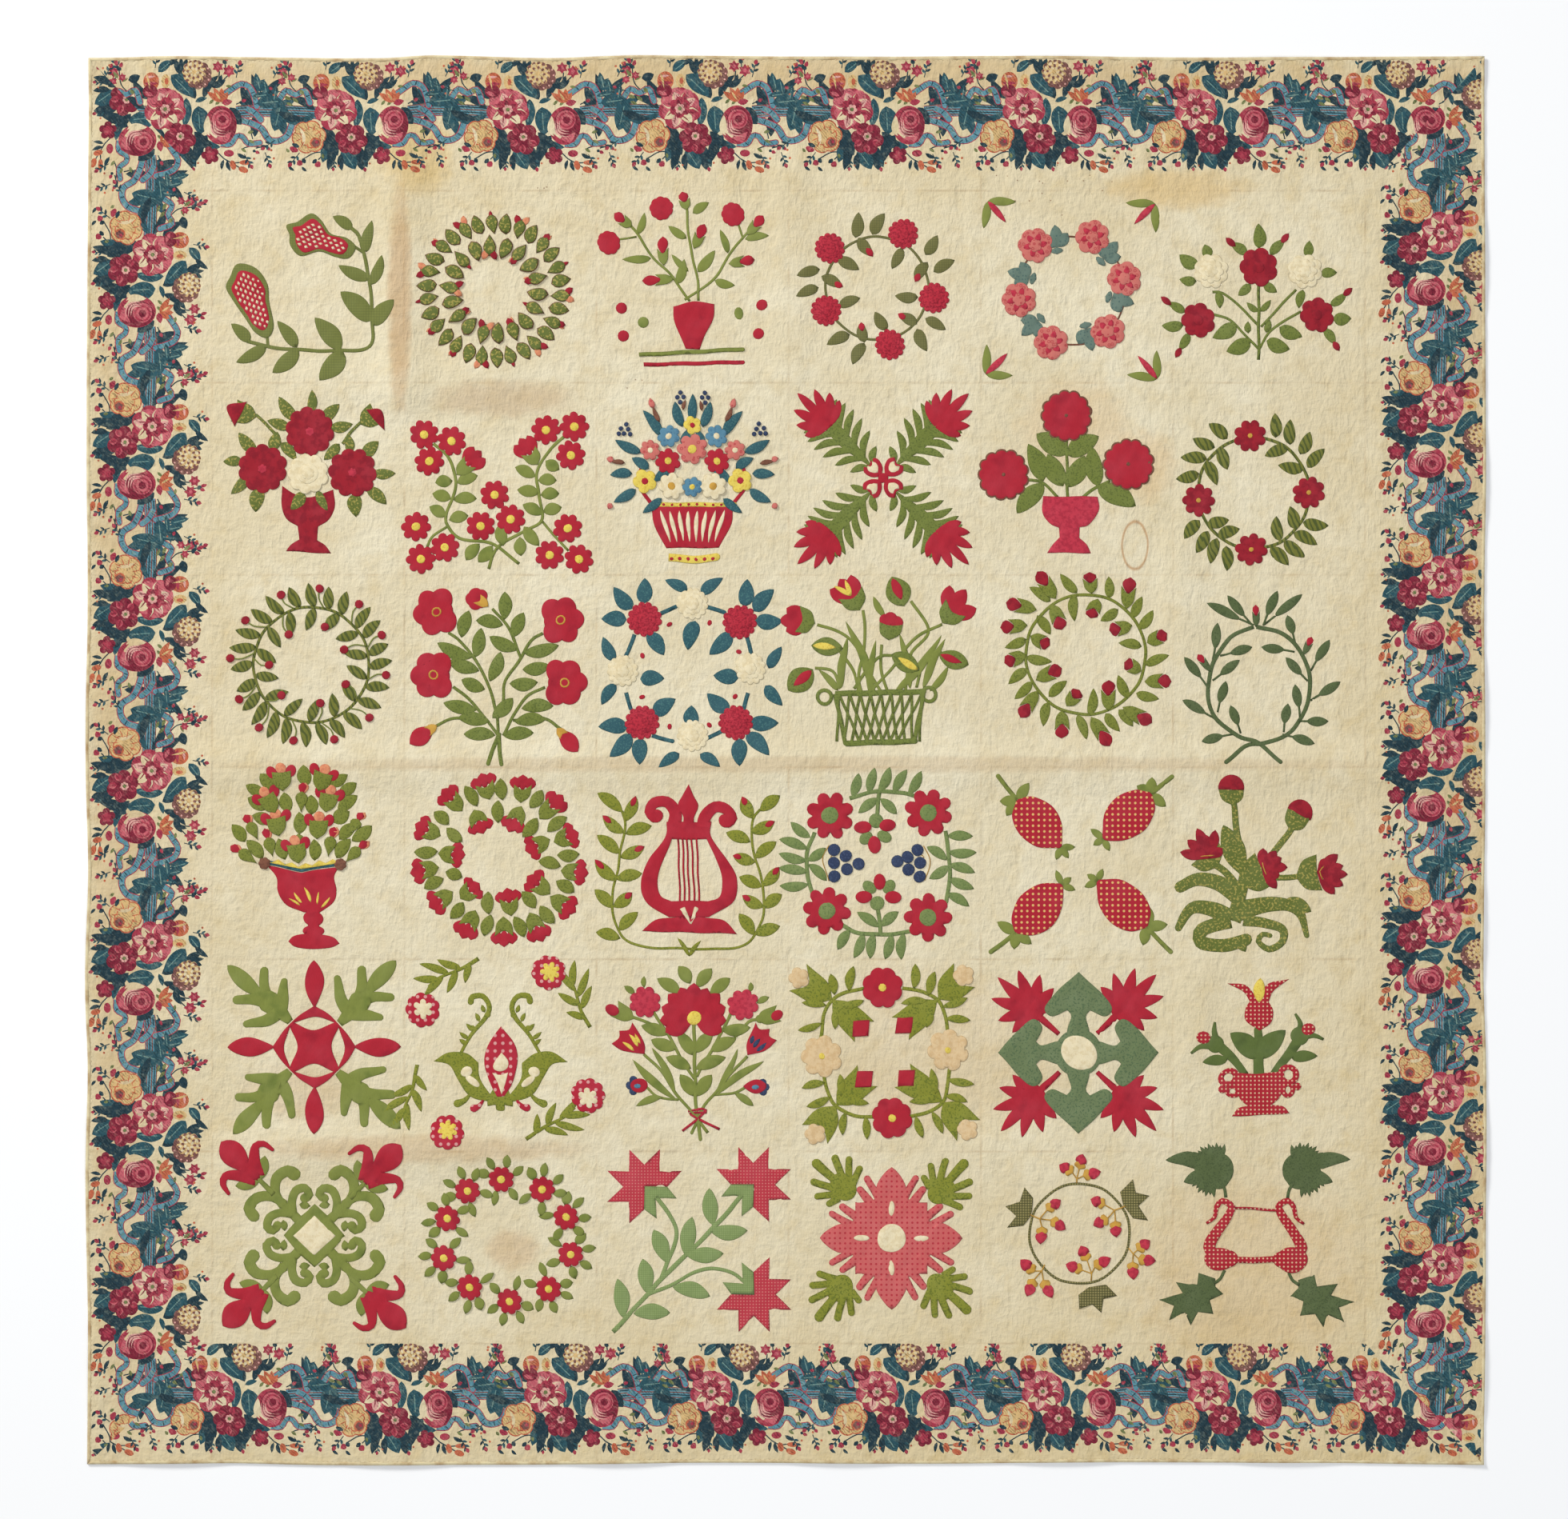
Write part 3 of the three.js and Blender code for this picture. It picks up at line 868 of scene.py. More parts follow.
# %% [markdown]
# ## The chintz border
# Four long strips, mitred at the corners, were cut from one flowered furnishing chintz. Its repeat is an
# open rose with a deep red rose, a tan rose and a cabbage rose about it, teal leaves, and a blue ribbon
# that runs on to the next bunch. A painted texture would blur close to, so the flowers are outlines that
# cut the strip's own top faces, and each face takes the colour of the outline drawn over it last.


# %% The open rose and the dark rose, each a list of a colour and an outline
def open_rose(at, size):
    """The big pink rose, with turned petals, a dark heart and a pale middle."""
    back = [("rose", petals(at, size, 7, 0.13, 12)),
            ("pink", petals(at + size * 0.1j, size * 0.9, 7, 0.2, 30))]
    for turn, reach, wide, name in [(95, 0.82, 0.46, "pale_pink"), (20, 0.86, 0.4, "pale_pink"),
                                    (150, 0.84, 0.4, "pink"), (-25, 0.9, 0.4, "rose"),
                                    (-65, 0.9, 0.42, "ground"), (-120, 0.92, 0.46, "pale_pink"),
                                    (-160, 0.86, 0.36, "ground"), (60, 0.8, 0.36, "rose")]:
        base, tip = at + polar(size * 0.3, turn - 18), at + polar(size * reach, turn + 14)
        back.append((name, leaf(base, tip, size * wide, bend=0.16)))
        back.append(("deep_rose", leaf(base, tip * 0.75 + base * 0.25, size * 0.06, bend=0.05)))
        back.append(("ground", leaf(base, tip, size * 0.075, bend=0.16 + wide * 0.42)))
    back.append(("rose", petals(at + size * 0.06j, size * 0.5, 6, 0.2, 0)))
    for turn in (10, 75, 150, 230, 300):
        back.append(("deep_rose", leaf(at + polar(size * 0.16, turn), at + polar(size * 0.46, turn + 24),
                                       size * 0.2, bend=0.2)))
    back.append(("pale_pink", petals(at, size * 0.24, 6, 0.25, 20)))
    back.append(("olive", disc(at, size * 0.1)))
    return back


def deep_rose(at, size):
    """The dark red rose below it."""
    back = [("deep_rose", petals(at, size, 6, 0.2, 20))]
    for turn in (70, 130, 200, 260, 330):
        base, tip = at + polar(size * 0.34, turn), at + polar(size * 0.9, turn + 8)
        back += [("rose", leaf(base, tip, size * 0.42)), ("pink", leaf(base, tip, size * 0.07, bend=0.3)),
                 ("deep_rose", leaf(base, tip, size * 0.06))]
    back.append(("deep_rose", petals(at + size * 0.1j, size * 0.42, 6, 0.2)))
    back.append(("pale_pink", petals(at + size * 0.12j, size * 0.26, 7, 0.2)))
    back.append(("olive", disc(at + size * 0.12j, size * 0.12)))
    return back


print("open rose:", len(open_rose(0, 40)), "shapes, dark rose:", len(deep_rose(0, 40)))


# %% The cabbage rose and the tan rose
def cabbage_rose(at, size):
    """The tall rose beside the ribbon, rolled round its heart, with cream petals on its left."""
    back = [("rose", disc(at, size * 0.82, size)), ("deep_rose",
                                                    disc(at + size * 0.12, size * 0.68, size * 0.9))]
    back.append(("ground", leaf(at + size * (-0.66 + 0.5j), at + size * (-0.1 - 0.7j), size * 0.42,
                                bend=-0.22)))
    back.append(("pink", leaf(at + size * (-0.3 - 0.72j), at + size * (0.55 - 0.35j), size * 0.4, bend=-0.2)))
    back.append(("pink", disc(at + size * (0.06 + 0.3j), size * 0.5)))
    for share, name in ((0.42, "rose"), (0.32, "pink"), (0.2, "deep_rose")):
        back.append((name, disc(at + size * (0.1 + 0.3j), size * share)))
    for share in (0.5, 0.7, 0.92):
        back.append(("pale_pink", leaf(at + size * (-0.52 * share + 0.3j),
                                       at + size * (0.3 * share + 0.1 - 0.62j * share),
                                       size * 0.1, bend=-0.34)))
    back.append(("rose", leaf(at + size * (-0.6 - 0.4j), at + size * (0.3 - 0.9j), size * 0.18, bend=-0.16)))
    return back


def tan_rose(at, size):
    """The tan rose: orange outline, straw petals, and a red-brown heart to one side."""
    back = [("orange", petals(at, size, 6, 0.14, 40)), ("tan_rose", petals(at, size * 0.92, 6, 0.14, 40))]
    back.append(("orange", petals(at + size * (0.12 - 0.05j), size * 0.62, 6, 0.16)))
    back.append(("tan_rose", petals(at + size * (0.1 - 0.03j), size * 0.56, 6, 0.16)))
    back.append(("ground", leaf(at + size * (-0.5 + 0.5j), at + size * (-0.3 - 0.5j), size * 0.2, bend=0.1)))
    for turn in range(20, 330, 34):
        back.append(("orange", leaf(at + polar(size * 0.34, turn), at + polar(size * 0.86, turn + 9),
                                    size * 0.06)))
    back.append(("orange", disc(at + size * (0.36 - 0.34j), size * 0.32)))
    back.append(("brown", petals(at + size * (0.38 - 0.36j), size * 0.24, 5, 0.2)))
    back.append(("rose", disc(at + size * (0.44 - 0.3j), size * 0.1)))
    return back


print("cabbage rose:", len(cabbage_rose(0, 40)), "shapes, tan rose:", len(tan_rose(0, 40)))


# %% Pompon, sprigs, buds and ribbon of the print
def pompon(at, size):
    """The tan and brown pompon, speckled with short petals."""
    back = [("brown", petals(at + size * (0.28 - 0.2j), size, 10, 0.1)),
            ("tan_rose", petals(at, size * 0.86, 11, 0.14))]
    for ring, name, count in ((0.74, "brown", 13), (0.6, "ground", 11), (0.42, "brown", 8),
                              (0.26, "ground", 6)):
        for turn in range(0, 360, 360 // count):
            spot = at + polar(size * ring, turn + 200 * ring)
            back.append((name, disc(spot, size * 0.09, size * 0.13, turn)))
    for turn in range(-80, 60, 28):
        back.append(("pale_pink", disc(at + size * (0.26 - 0.18j) + polar(size * 0.84, turn), size * 0.07)))
    return back


def sprig_star(at, size):
    """A small pink star flower."""
    return [("rose", star(at, size, size * 0.62, 6)), ("pink", disc(at, size * 0.3))]


def sprig(at, turn, size=24):
    """A twig with four small leaves, a red bud at its tip and an orange one beside it."""
    aim = polar(size, turn)
    back = [("dark_teal", stem(1.8, at, at + aim))]
    for share, lean in ((0.3, 48), (0.45, -50), (0.68, 42), (0.85, -40)):
        root = at + aim * share
        back.append(("teal" if lean > 0 else "dark_teal",
                     leaf(root, root + polar(size * 0.44, turn + lean), size * 0.2)))
    return back + [("rose", leaf(at + aim * 0.96, at + aim * 1.4, size * 0.32)),
                   ("orange", disc(at + polar(size * 0.86, turn + 36), size * 0.1))]


def bud(base, tip, size):
    """A rosebud: red, in a dark calyx."""
    middle = base + (tip - base) * 0.45
    return [("rose", leaf(middle - (tip - base) * 0.12, tip, size)),
            ("dark_teal", leaf(base, middle, size * 0.9))]


def ribbon(width, *points):
    """The blue ribbon with its pink edges and the darker bars where it bends."""
    back = [("rose", stem(width + 3.4, *points)), ("ribbon", stem(width, *points))]
    line = curve(*points, step=6)
    for first, name, thick in ((1, "pale_teal", 2.6), (3, "dark_teal", 1.8)):
        for place, after in list(zip(line, line[1:]))[first::4]:
            across = 1j * (after - place) / abs(after - place) * width * 0.42
            back.append((name, stem(thick, place - across, place + across)))
    return back


print("a short ribbon has", len(ribbon(10, 0, 40 + 10j, 80)), "shapes")

# %% Stems and leaves of one repeat, about its open rose: base, tip and width
STEMS = [
    (-92 + 78j, -88 + 50j, -70 + 30j), (108 + 74j, 106 + 50j), (124 + 66j, 110 + 52j), (118 + 98j, 120 + 76j),
    (-80 - 66j, -58 - 42j), (-62 - 96j, -40 - 84j, -20 - 84j), (-34 - 98j, -20 - 84j), (104 - 84j, 116 - 96j),
    (116 - 96j, 130 - 104j, 148 - 104j), (116 - 96j, 150 - 116j), (150 - 78j, 166 - 72j, 190 - 74j),
    (168 - 40j, 172 - 58j), (140 + 10j, 156 + 18j), (178 - 76j, 200 - 70j),
]
TEAL_LEAVES = [
    (12 + 66j, 56 + 24j, 32), (66 + 6j, 70 - 50j, 36), (42 + 22j, 38 - 36j, 20), (188 + 34j, 178 + 72j, 15),
    (200 + 28j, 193 + 60j, 15), (212 + 14j, 218 + 48j, 14), (180 + 12j, 232 + 18j, 28),
    (228 + 16j, 214 - 42j, 36),
    (-14 + 72j, 14 + 94j, 18), (172 + 26j, 206 + 30j, 11), (12 - 78j, 38 - 117j, 30),
    (60 + 14j, 84 + 22j, 10),
]
DARK_LEAVES = [
    (-24 - 30j, 4 - 90j, 34), (42 - 70j, 62 - 110j, 20), (62 - 54j, 76 - 92j, 17), (58 - 44j, 96 - 74j, 18),
    (0 - 80j, -15 - 119j, 15), (10 - 86j, 12 - 120j, 13), (128 + 4j, 150 - 30j, 26), (30 + 68j, 18 + 96j, 15),
    (30 + 68j, 44 + 98j, 15), (30 + 70j, 31 + 102j, 10), (90 + 44j, 120 + 58j, 14), (104 + 48j, 112 + 68j, 9),
    (-112 - 4j, -58 - 20j, 15), (-74 + 58j, -50 + 66j, 18), (6 + 84j, 28 + 110j, 11),
    (142 - 86j, 162 - 96j, 8),
    (116 - 98j, 112 - 119j, 7), (122 - 100j, 129 - 121j, 8), (-92 - 110j, -80 - 120j, 6),
    (-66 - 112j, -56 - 121j, 6),
]
OLIVE_LEAVES = [
    (-100 + 26j, -86 + 20j, 7), (-84 + 24j, -72 + 14j, 7), (-96 + 14j, -82 + 8j, 6), (88 + 10j, 97 + 20j, 6),
    (100 + 9j, 109 + 17j, 6), (-94 + 62j, -104 + 76j, 7), (-88 + 56j, -74 + 62j, 6),
    (162 - 46j, 174 - 42j, 6),
    (164 - 60j, 176 - 66j, 6), (150 - 76j, 160 - 84j, 6), (-90 - 84j, -96 - 76j, 6),
    (-26 - 86j, -24 - 96j, 6),
    (120 + 46j, 132 + 44j, 6), (-70 + 40j, -62 + 30j, 8),
]
FILLING_LEAVES = [
    (150 + 0j, 196 + 60j, 18), (170 + 6j, 170 + 70j, 15), (190 + 10j, 236 + 64j, 16),
    (200 + 0j, 262 + 34j, 17),
    (176 + 0j, 150 + 52j, 15), (190 - 4j, 176 - 54j, 22), (206 - 4j, 238 - 56j, 20),
    (222 + 0j, 268 - 26j, 16),
    (60 + 20j, 44 + 76j, 24), (44 + 34j, 20 + 92j, 20), (76 + 22j, 106 + 66j, 16), (84 - 50j, 60 - 104j, 22),
    (-20 - 50j, -26 - 104j, 24), (4 - 60j, -8 - 112j, 20), (36 - 80j, 50 - 118j, 20),
    (70 - 60j, 110 - 74j, 18),
    (-30 + 20j, -64 + 58j, 18), (-40 + 0j, -92 + 24j, 16), (-40 - 10j, -96 - 24j, 16),
    (130 - 10j, 168 - 20j, 22),
]


print(len(TEAL_LEAVES + DARK_LEAVES + OLIVE_LEAVES + FILLING_LEAVES), "leaves on", len(STEMS), "stems")


# %% One repeat of the chintz
def one_repeat():
    """The whole bunch, from what lies deepest to what lies on top."""
    drawn = [("dark_teal", stem(2.4, *points)) for points in STEMS]
    for k, row in enumerate(FILLING_LEAVES):
        drawn.append(("dark_teal" if k % 3 else "teal", leaf(*row, bend=0.1 - 0.2 * (k % 2))))
    drawn += [("rose", stem(25, 140 - 6j, 200 - 2j, 300 - 6j)),
              ("ribbon", stem(22, 140 - 6j, 200 - 2j, 300 - 6j))]
    for at, name in ((-13, "brown"), (-8, "dark_teal"), (-3, "brown"), (2, "dark_teal"), (6, "brown")):
        drawn.append((name, stem(2.2, 143 + at * 1j, 200 + at * 1j + 3j, 297 + at * 1j)))
    drawn += ribbon(10, 118 + 30j, 135 + 42j, 150 + 50j, 166 + 44j, 175 + 27j, 180 + 6j)
    drawn += ribbon(11, 160 + 2j, 176 - 6j, 188 - 20j)
    drawn += ribbon(11, 146 - 20j, 170 - 27j, 190 - 38j, 203 - 58j, 222 - 61j, 240 - 50j, 248 - 28j)
    drawn += ribbon(9, 110 - 68j, 130 - 68j, 140 - 53j, 152 - 53j, 164 - 67j, 186 - 65j)
    drawn += ribbon(10, -108 + 22j, -96 + 38j, -78 + 30j, -60 + 38j, -50 + 14j)
    drawn += [("teal", leaf(*row, bend=0.05)) for row in TEAL_LEAVES]
    drawn += [("dark_teal", leaf(*row, bend=-0.06)) for row in DARK_LEAVES]
    drawn += [("olive", leaf(*row)) for row in OLIVE_LEAVES]
    for base, tip, *_ in TEAL_LEAVES[:11]:
        drawn.append(("pale_teal", stem(1.8, base * 0.8 + tip * 0.2, base * 0.2 + tip * 0.8)))
    drawn += open_rose(0, 42) + cabbage_rose(110 - 31j, 38) + pompon(58 + 72j, 28)
    drawn += [("orange", disc(-28 + 54j, 16, 18)), ("deep_rose", disc(-30 + 35j, 15, 13))]
    drawn += [("pale_pink", leaf(-40 + 62j, -20 + 64j, 5)), ("rose", leaf(-42 + 50j, -14 + 50j, 7))]
    drawn += [("pink", leaf(-42 + 34j, -24 + 26j, 8)), ("tan_rose", disc(1 + 54j, 9, 14)),
              ("orange", disc(3 + 54j, 4, 7))]
    drawn += tan_rose(-52 - 53j, 34) + deep_rose(30 - 57j, 32)
    for tip in (84 + 34j, 97 + 42j, 112 + 42j, 124 + 34j):
        drawn.append(("orange", leaf(112 + 14j, tip, 12)))
    drawn += [("tan_rose", leaf(110 + 18j, 100 + 34j, 4)), ("rose", leaf(112 + 12j, 133 + 16j, 13))]
    drawn += sprig_star(105 + 83j, 12) + sprig_star(126 + 75j, 13) + sprig_star(230 + 75j, 12)
    drawn += sprig_star(-86 + 64j, 9) + sprig_star(-104 + 56j, 9)
    drawn += [("deep_rose", petals(90 - 90j, 18, 5, 0.3)), ("rose", petals(90 - 90j, 10, 5, 0.3))]
    drawn += [("rose", disc(126 - 86j, 10, 7)), ("orange", disc(134 - 109j, 6, 10, 15))]
    drawn += [("orange", disc(158 - 104j, 12, 5)), ("orange", disc(154 - 118j, 10, 6, -20))]
    drawn += [("tan_rose", leaf(-38 + 70j, -30 + (42 + lean) * 1j, 2.6)) for lean in (-4, 2, 8)]
    for at, turn, size in ((-70 - 84j, 232, 26), (-2 - 96j, 262, 18), (52 - 92j, 280, 22),
                           (156 - 88j, 300, 24),
                           (-118 - 60j, 215, 24), (-92 + 76j, 112, 26), (-20 + 80j, 80, 24),
                           (140 + 62j, 76, 26),
                           (212 + 62j, 62, 24), (-104 + 34j, 160, 20), (196 - 84j, 290, 24)):
        drawn += sprig(at, turn, size)
    for base, tip, size in [(-76 - 66j, -84 - 84j, 18), (-58 - 98j, -76 - 108j, 12),
                            (-44 - 98j, -30 - 112j, 13),
                            (-92 + 76j, -102 + 104j, 8), (-92 + 76j, -86 + 94j, 8),
                            (118 + 88j, 112 + 108j, 7),
                            (118 + 88j, 124 + 104j, 7), (146 + 12j, 160 + 20j, 7), (172 - 80j, 186 - 86j, 7),
                            (196 - 70j, 206 - 80j, 7)]:
        drawn += bud(base, tip, size)
    return drawn


repeat_drawn = one_repeat()
print("one repeat of the chintz has", len(repeat_drawn), "printed shapes")

# %% Where the strips lie, and where an open rose is on each
INNER = {"top left": LEFT + 1j * TOP, "top right": RIGHT + 1j * TOP,
         "bottom right": RIGHT + 1j * BOTTOM, "bottom left": LEFT + 1j * BOTTOM}
OUTER = {corner: math.copysign(HALF_WIDTH, place.real) + 1j * math.copysign(HALF_HEIGHT, place.imag)
         for corner, place in INNER.items()}
STRIPS = {
    "top": {"corners": ("top left", "top right"), "rose": -1204 + 1262j, "turn": 1, "pitch": 333},
    "right": {"corners": ("top right", "bottom right"), "rose": 1272 - 977j, "turn": -1j, "pitch": 333},
    "bottom": {"corners": ("bottom right", "bottom left"), "rose": -1107 - 1224j, "turn": 1, "pitch": 321},
    "left": {"corners": ("bottom left", "top left"), "rose": -1228 + 646j, "turn": -1j, "pitch": 333},
}


def along_side(side, inwards):
    """Both ends of a line along one side, this far in from its outer edge, between the mitres."""
    share = 1 - inwards / BORDER[side]
    return [INNER[end] + (OUTER[end] - INNER[end]) * share for end in STRIPS[side]["corners"]]


def strip_corners(side):
    """The four corners of a border strip, counter-clockwise, without its binding."""
    first, last = STRIPS[side]["corners"]
    start, end = along_side(side, BINDING)
    return np.array([start, INNER[first], INNER[last], end])


for side in STRIPS:
    print(f"the {side} strip is {abs(np.subtract(*along_side(side, 0))):.0f} mm long")


# %% The print on a strip, and where it crosses the cuts
GRID = 7.4
CUT_STEP = 0.4  # places on a cut are rounded to this, so that two panels agree
REPEATS = 9  # on each side of the strip's first open rose, which reaches past both ends


def stitched_in(shape, along, cuts):
    """The outline with a place put in wherever it crosses a cut, so that both panels get the same one."""
    turned = shape * np.conj(along)
    cell = np.searchsorted(cuts, turned.real)
    after, next_cell = np.roll(turned, -1), np.roll(cell, -1)
    crossing = np.flatnonzero(cell != next_cell)
    cut = cuts[np.minimum(cell, next_cell)[crossing]]
    share = (cut - turned.real[crossing]) / (after.real - turned.real)[crossing]
    up = turned.imag[crossing] + share * (after.imag - turned.imag)[crossing]
    on_cut = cut + 1j * np.round(up / CUT_STEP) * CUT_STEP
    return np.insert(shape, crossing + 1, on_cut * along), on_cut


def print_on(side, along, cuts):
    """Every shape printed on the strip, the box round each, and where the print crosses the cuts."""
    strip, placed, crossed = STRIPS[side], [], []
    for number in range(-REPEATS, REPEATS + 1):
        for name, shape in repeat_drawn:
            moved, on_cut = stitched_in(strip["rose"] + strip["turn"] * (shape + number * strip["pitch"]),
                                        along, cuts)
            placed.append((list(CHINTZ_TONES).index(name), moved))
            crossed.append(on_cut)
    reach = np.array([(p.real.min(), p.imag.min(), p.real.max(), p.imag.max()) for _, p in placed])
    return placed, reach, np.unique(np.concatenate(crossed))


print("a disc that lies over one cut gets", len(stitched_in(disc(0, 20), 1, np.array([1.0]))[1]),
      "places on it")


# %% Cutting one panel of a strip
def clipped(corners, normal, limit):
    """The part of a straight-sided outline that lies under the limit along the normal."""
    kept = []
    for a, b in zip(corners, np.roll(corners, -1)):
        over_a, over_b = (a * normal.conjugate()).real - limit, (b * normal.conjugate()).real - limit
        if over_a <= 0:
            kept.append(a)
        if over_a * over_b < 0:
            kept.append(a + (b - a) * over_a / (over_a - over_b))
    return np.array(kept)


def panel_edge(corners, along, crossed):
    """The panel's outline, with the print's crossings as its places along both cuts."""
    sides = []
    for a, b in zip(corners, np.roll(corners, -1)):
        start, end = a * np.conj(along), b * np.conj(along)
        side = a + (b - a) * np.linspace(0, 1, max(1, round(abs(b - a) / GRID)), endpoint=False)
        if abs(start.real - end.real) < 1e-6:
            here = crossed[abs(crossed.real - start.real) < 1e-6].imag
            low, high = sorted((start.imag, end.imag))
            even = np.arange(np.ceil(low / GRID), np.ceil(high / GRID)) * GRID
            even = even[[len(here) == 0 or abs(here - up).min() > 2 for up in even]]
            ups = np.unique(np.concatenate([here, even]))
            ups = ups[(ups > low + 1) & (ups < high - 1)]
            ups = ups if end.imag > start.imag else ups[::-1]
            side = np.concatenate([[a], (start.real + 1j * ups) * along])
        sides.append(side)
    return np.concatenate(sides)


def one_panel(corners, edge, placed, reach):
    """A short length of the strip, cut by its print: places, triangles and the colour of each."""
    low, high = (corners.real.min(), corners.imag.min()), (corners.real.max(), corners.imag.max())
    here = (reach[:, 2] > low[0]) & (reach[:, 3] > low[1]) & (reach[:, 0] < high[0]) & (reach[:, 1] < high[1])
    shapes = [placed[k] for k in np.flatnonzero(here)]
    grid = clear_of(staggered(corners, GRID), edge, GRID * 0.5)
    if shapes:
        grid = clear_of(grid, np.concatenate([shape for _, shape in shapes]), 1.6)
    points, faces, _ = triangulate([edge, *(shape for _, shape in shapes)], grid)
    middles = points[faces].mean(1)
    kept, colours = inside(middles, edge), np.zeros(len(faces), int)
    for colour, shape in shapes:
        near = abs(middles - shape.mean()) < abs(shape - shape.mean()).max()
        over = np.flatnonzero(near)
        colours[over[inside(middles[over], shape)]] = colour
    used, faces = np.unique(faces[kept], return_inverse=True)
    return points[used], faces.reshape(-1, 3), colours[kept]


print("half a square has", len(clipped(np.array([0, 10, 10 + 10j, 10j]), 1, 5)), "corners")

# %% Joining the panels, and closing the sheet under them
SAME_PLACE = 0.15
UNDER_GRID = 30


def joined(panels):
    """The panels as one, with places that all but meet made one, and the triangles that vanish left out."""
    points = np.concatenate([panel[0] for panel in panels])
    firsts = np.cumsum([0] + [len(panel[0]) for panel in panels])
    faces = np.concatenate([panel[1] + first for panel, first in zip(panels, firsts)])
    tree = KDTree(len(points))
    for k, p in enumerate(points):
        tree.insert((p.real, p.imag, 0), k)
    tree.balance()
    same = np.array([min(k for _, k, _ in tree.find_range((p.real, p.imag, 0), SAME_PLACE)) for p in points])
    while (same[same] != same).any():
        same = same[same]
    faces = same[faces]
    whole = (faces != np.roll(faces, 1, 1)).all(1)
    used, faces = np.unique(faces[whole], return_inverse=True)
    return points[used], faces.reshape(-1, 3), np.concatenate([panel[2] for panel in panels])[whole]


def closed_sheet(name, top_points, top_faces, finish_of_face, materials):
    """A sheet with its own thickness under a triangulated top: a coarser underside, and a wall."""
    x, y = on_quilt(top_points.real, top_points.imag)
    upper = np.column_stack([x, y, top_of(x, y)])
    rim = border_edges(top_faces)
    after = dict(rim.tolist())
    loop = [rim[0][0]]
    while after[loop[-1]] != loop[0] and len(loop) < len(rim):
        loop.append(after[loop[-1]])
    loop = np.array(loop)
    inner = clear_of(staggered(top_points[loop], UNDER_GRID), top_points[loop], 8)
    low_points, low_faces, cover = triangulate([top_points[loop]], inner)
    low_faces = low_faces[[len(over) > 0 for over in cover]]
    low_x, low_y = on_quilt(low_points.real, low_points.imag)
    lower = np.column_stack([low_x, low_y, underside(low_x, low_y)])
    match = {key: k for k, key in enumerate(zip(low_points.real.round(2), low_points.imag.round(2)))}
    under = np.array([match[key] for key in zip(top_points[loop].real.round(2),
                                                top_points[loop].imag.round(2))])
    under += len(upper)
    next_top, next_under = np.roll(loop, -1), np.roll(under, -1)
    walls = np.concatenate([np.column_stack([loop, under, next_under]),
                            np.column_stack([loop, next_under, next_top])])
    faces = np.concatenate([top_faces, low_faces[:, ::-1] + len(upper), walls])
    wear = np.concatenate([finish_of_face, np.zeros(len(low_faces) + len(walls), int)])
    return add_mesh(name, np.concatenate([upper, lower]), faces, materials, wear, crisp=True)


twice = joined([(np.array([0, 9, 9j]), np.array([[0, 1, 2]]), np.array([0]))] * 2)
print("two triangles in one place have", len(twice[0]), "corners between them")

# %% The four strips
PANEL = 90


def border_strip(side):
    """One strip of chintz, with its print cut into its top."""
    corners = strip_corners(side)
    along = 1 if side in ("top", "bottom") else 1j
    places = (corners * np.conj(along)).real
    cuts = np.linspace(places.min(), places.max(), round(np.ptp(places) / PANEL) + 1)
    placed, reach, crossed = print_on(side, along, cuts[1:-1])
    panels = []
    for start, end in zip(cuts, cuts[1:]):
        slab = clipped(clipped(corners, along, end), -along, -start)
        panels.append(one_panel(slab, panel_edge(slab, along, crossed), placed, reach))
    points, faces, colours = joined(panels)
    return closed_sheet(f"chintz_{side}", points, faces, colours, chintz)


border_strips = {side: border_strip(side) for side in STRIPS}
for side, strip in border_strips.items():
    print("border", side, len(strip.data.polygons), "triangles")

# %% [markdown]
# ## The binding
# A narrow strip of plain cloth is folded over the raw edge. Its section is round at the outer edge, so it
# is swept: one short section, repeated along each side, and closed by a mitred end at both corners.

# %% Binding strips: how far in from the edge each corner of the section lies, and how high
BINDING_SECTION = [(6.6, 0.1), (0.9, 0.0), (0.1, 0.8), (0.0, 2.0), (0.8, 3.4), (2.8, 4.1), (5.2, 4.0),
                   (6.6, 3.3)]


def binding_finish():
    """Plain cream cotton, worn and dirty where it is handled."""
    material, shader, place = start_finish("binding_cotton")
    base = place.noise(40, 4.0, 0.6).step(0.35, 0.75).between(tone(214, 200, 160), tone(168, 138, 96))
    end_finish(shader, base.shaded(0.9 + 0.2 * place.noise(3)), weave(place), 0.4)
    return material


binding_cotton = binding_finish()


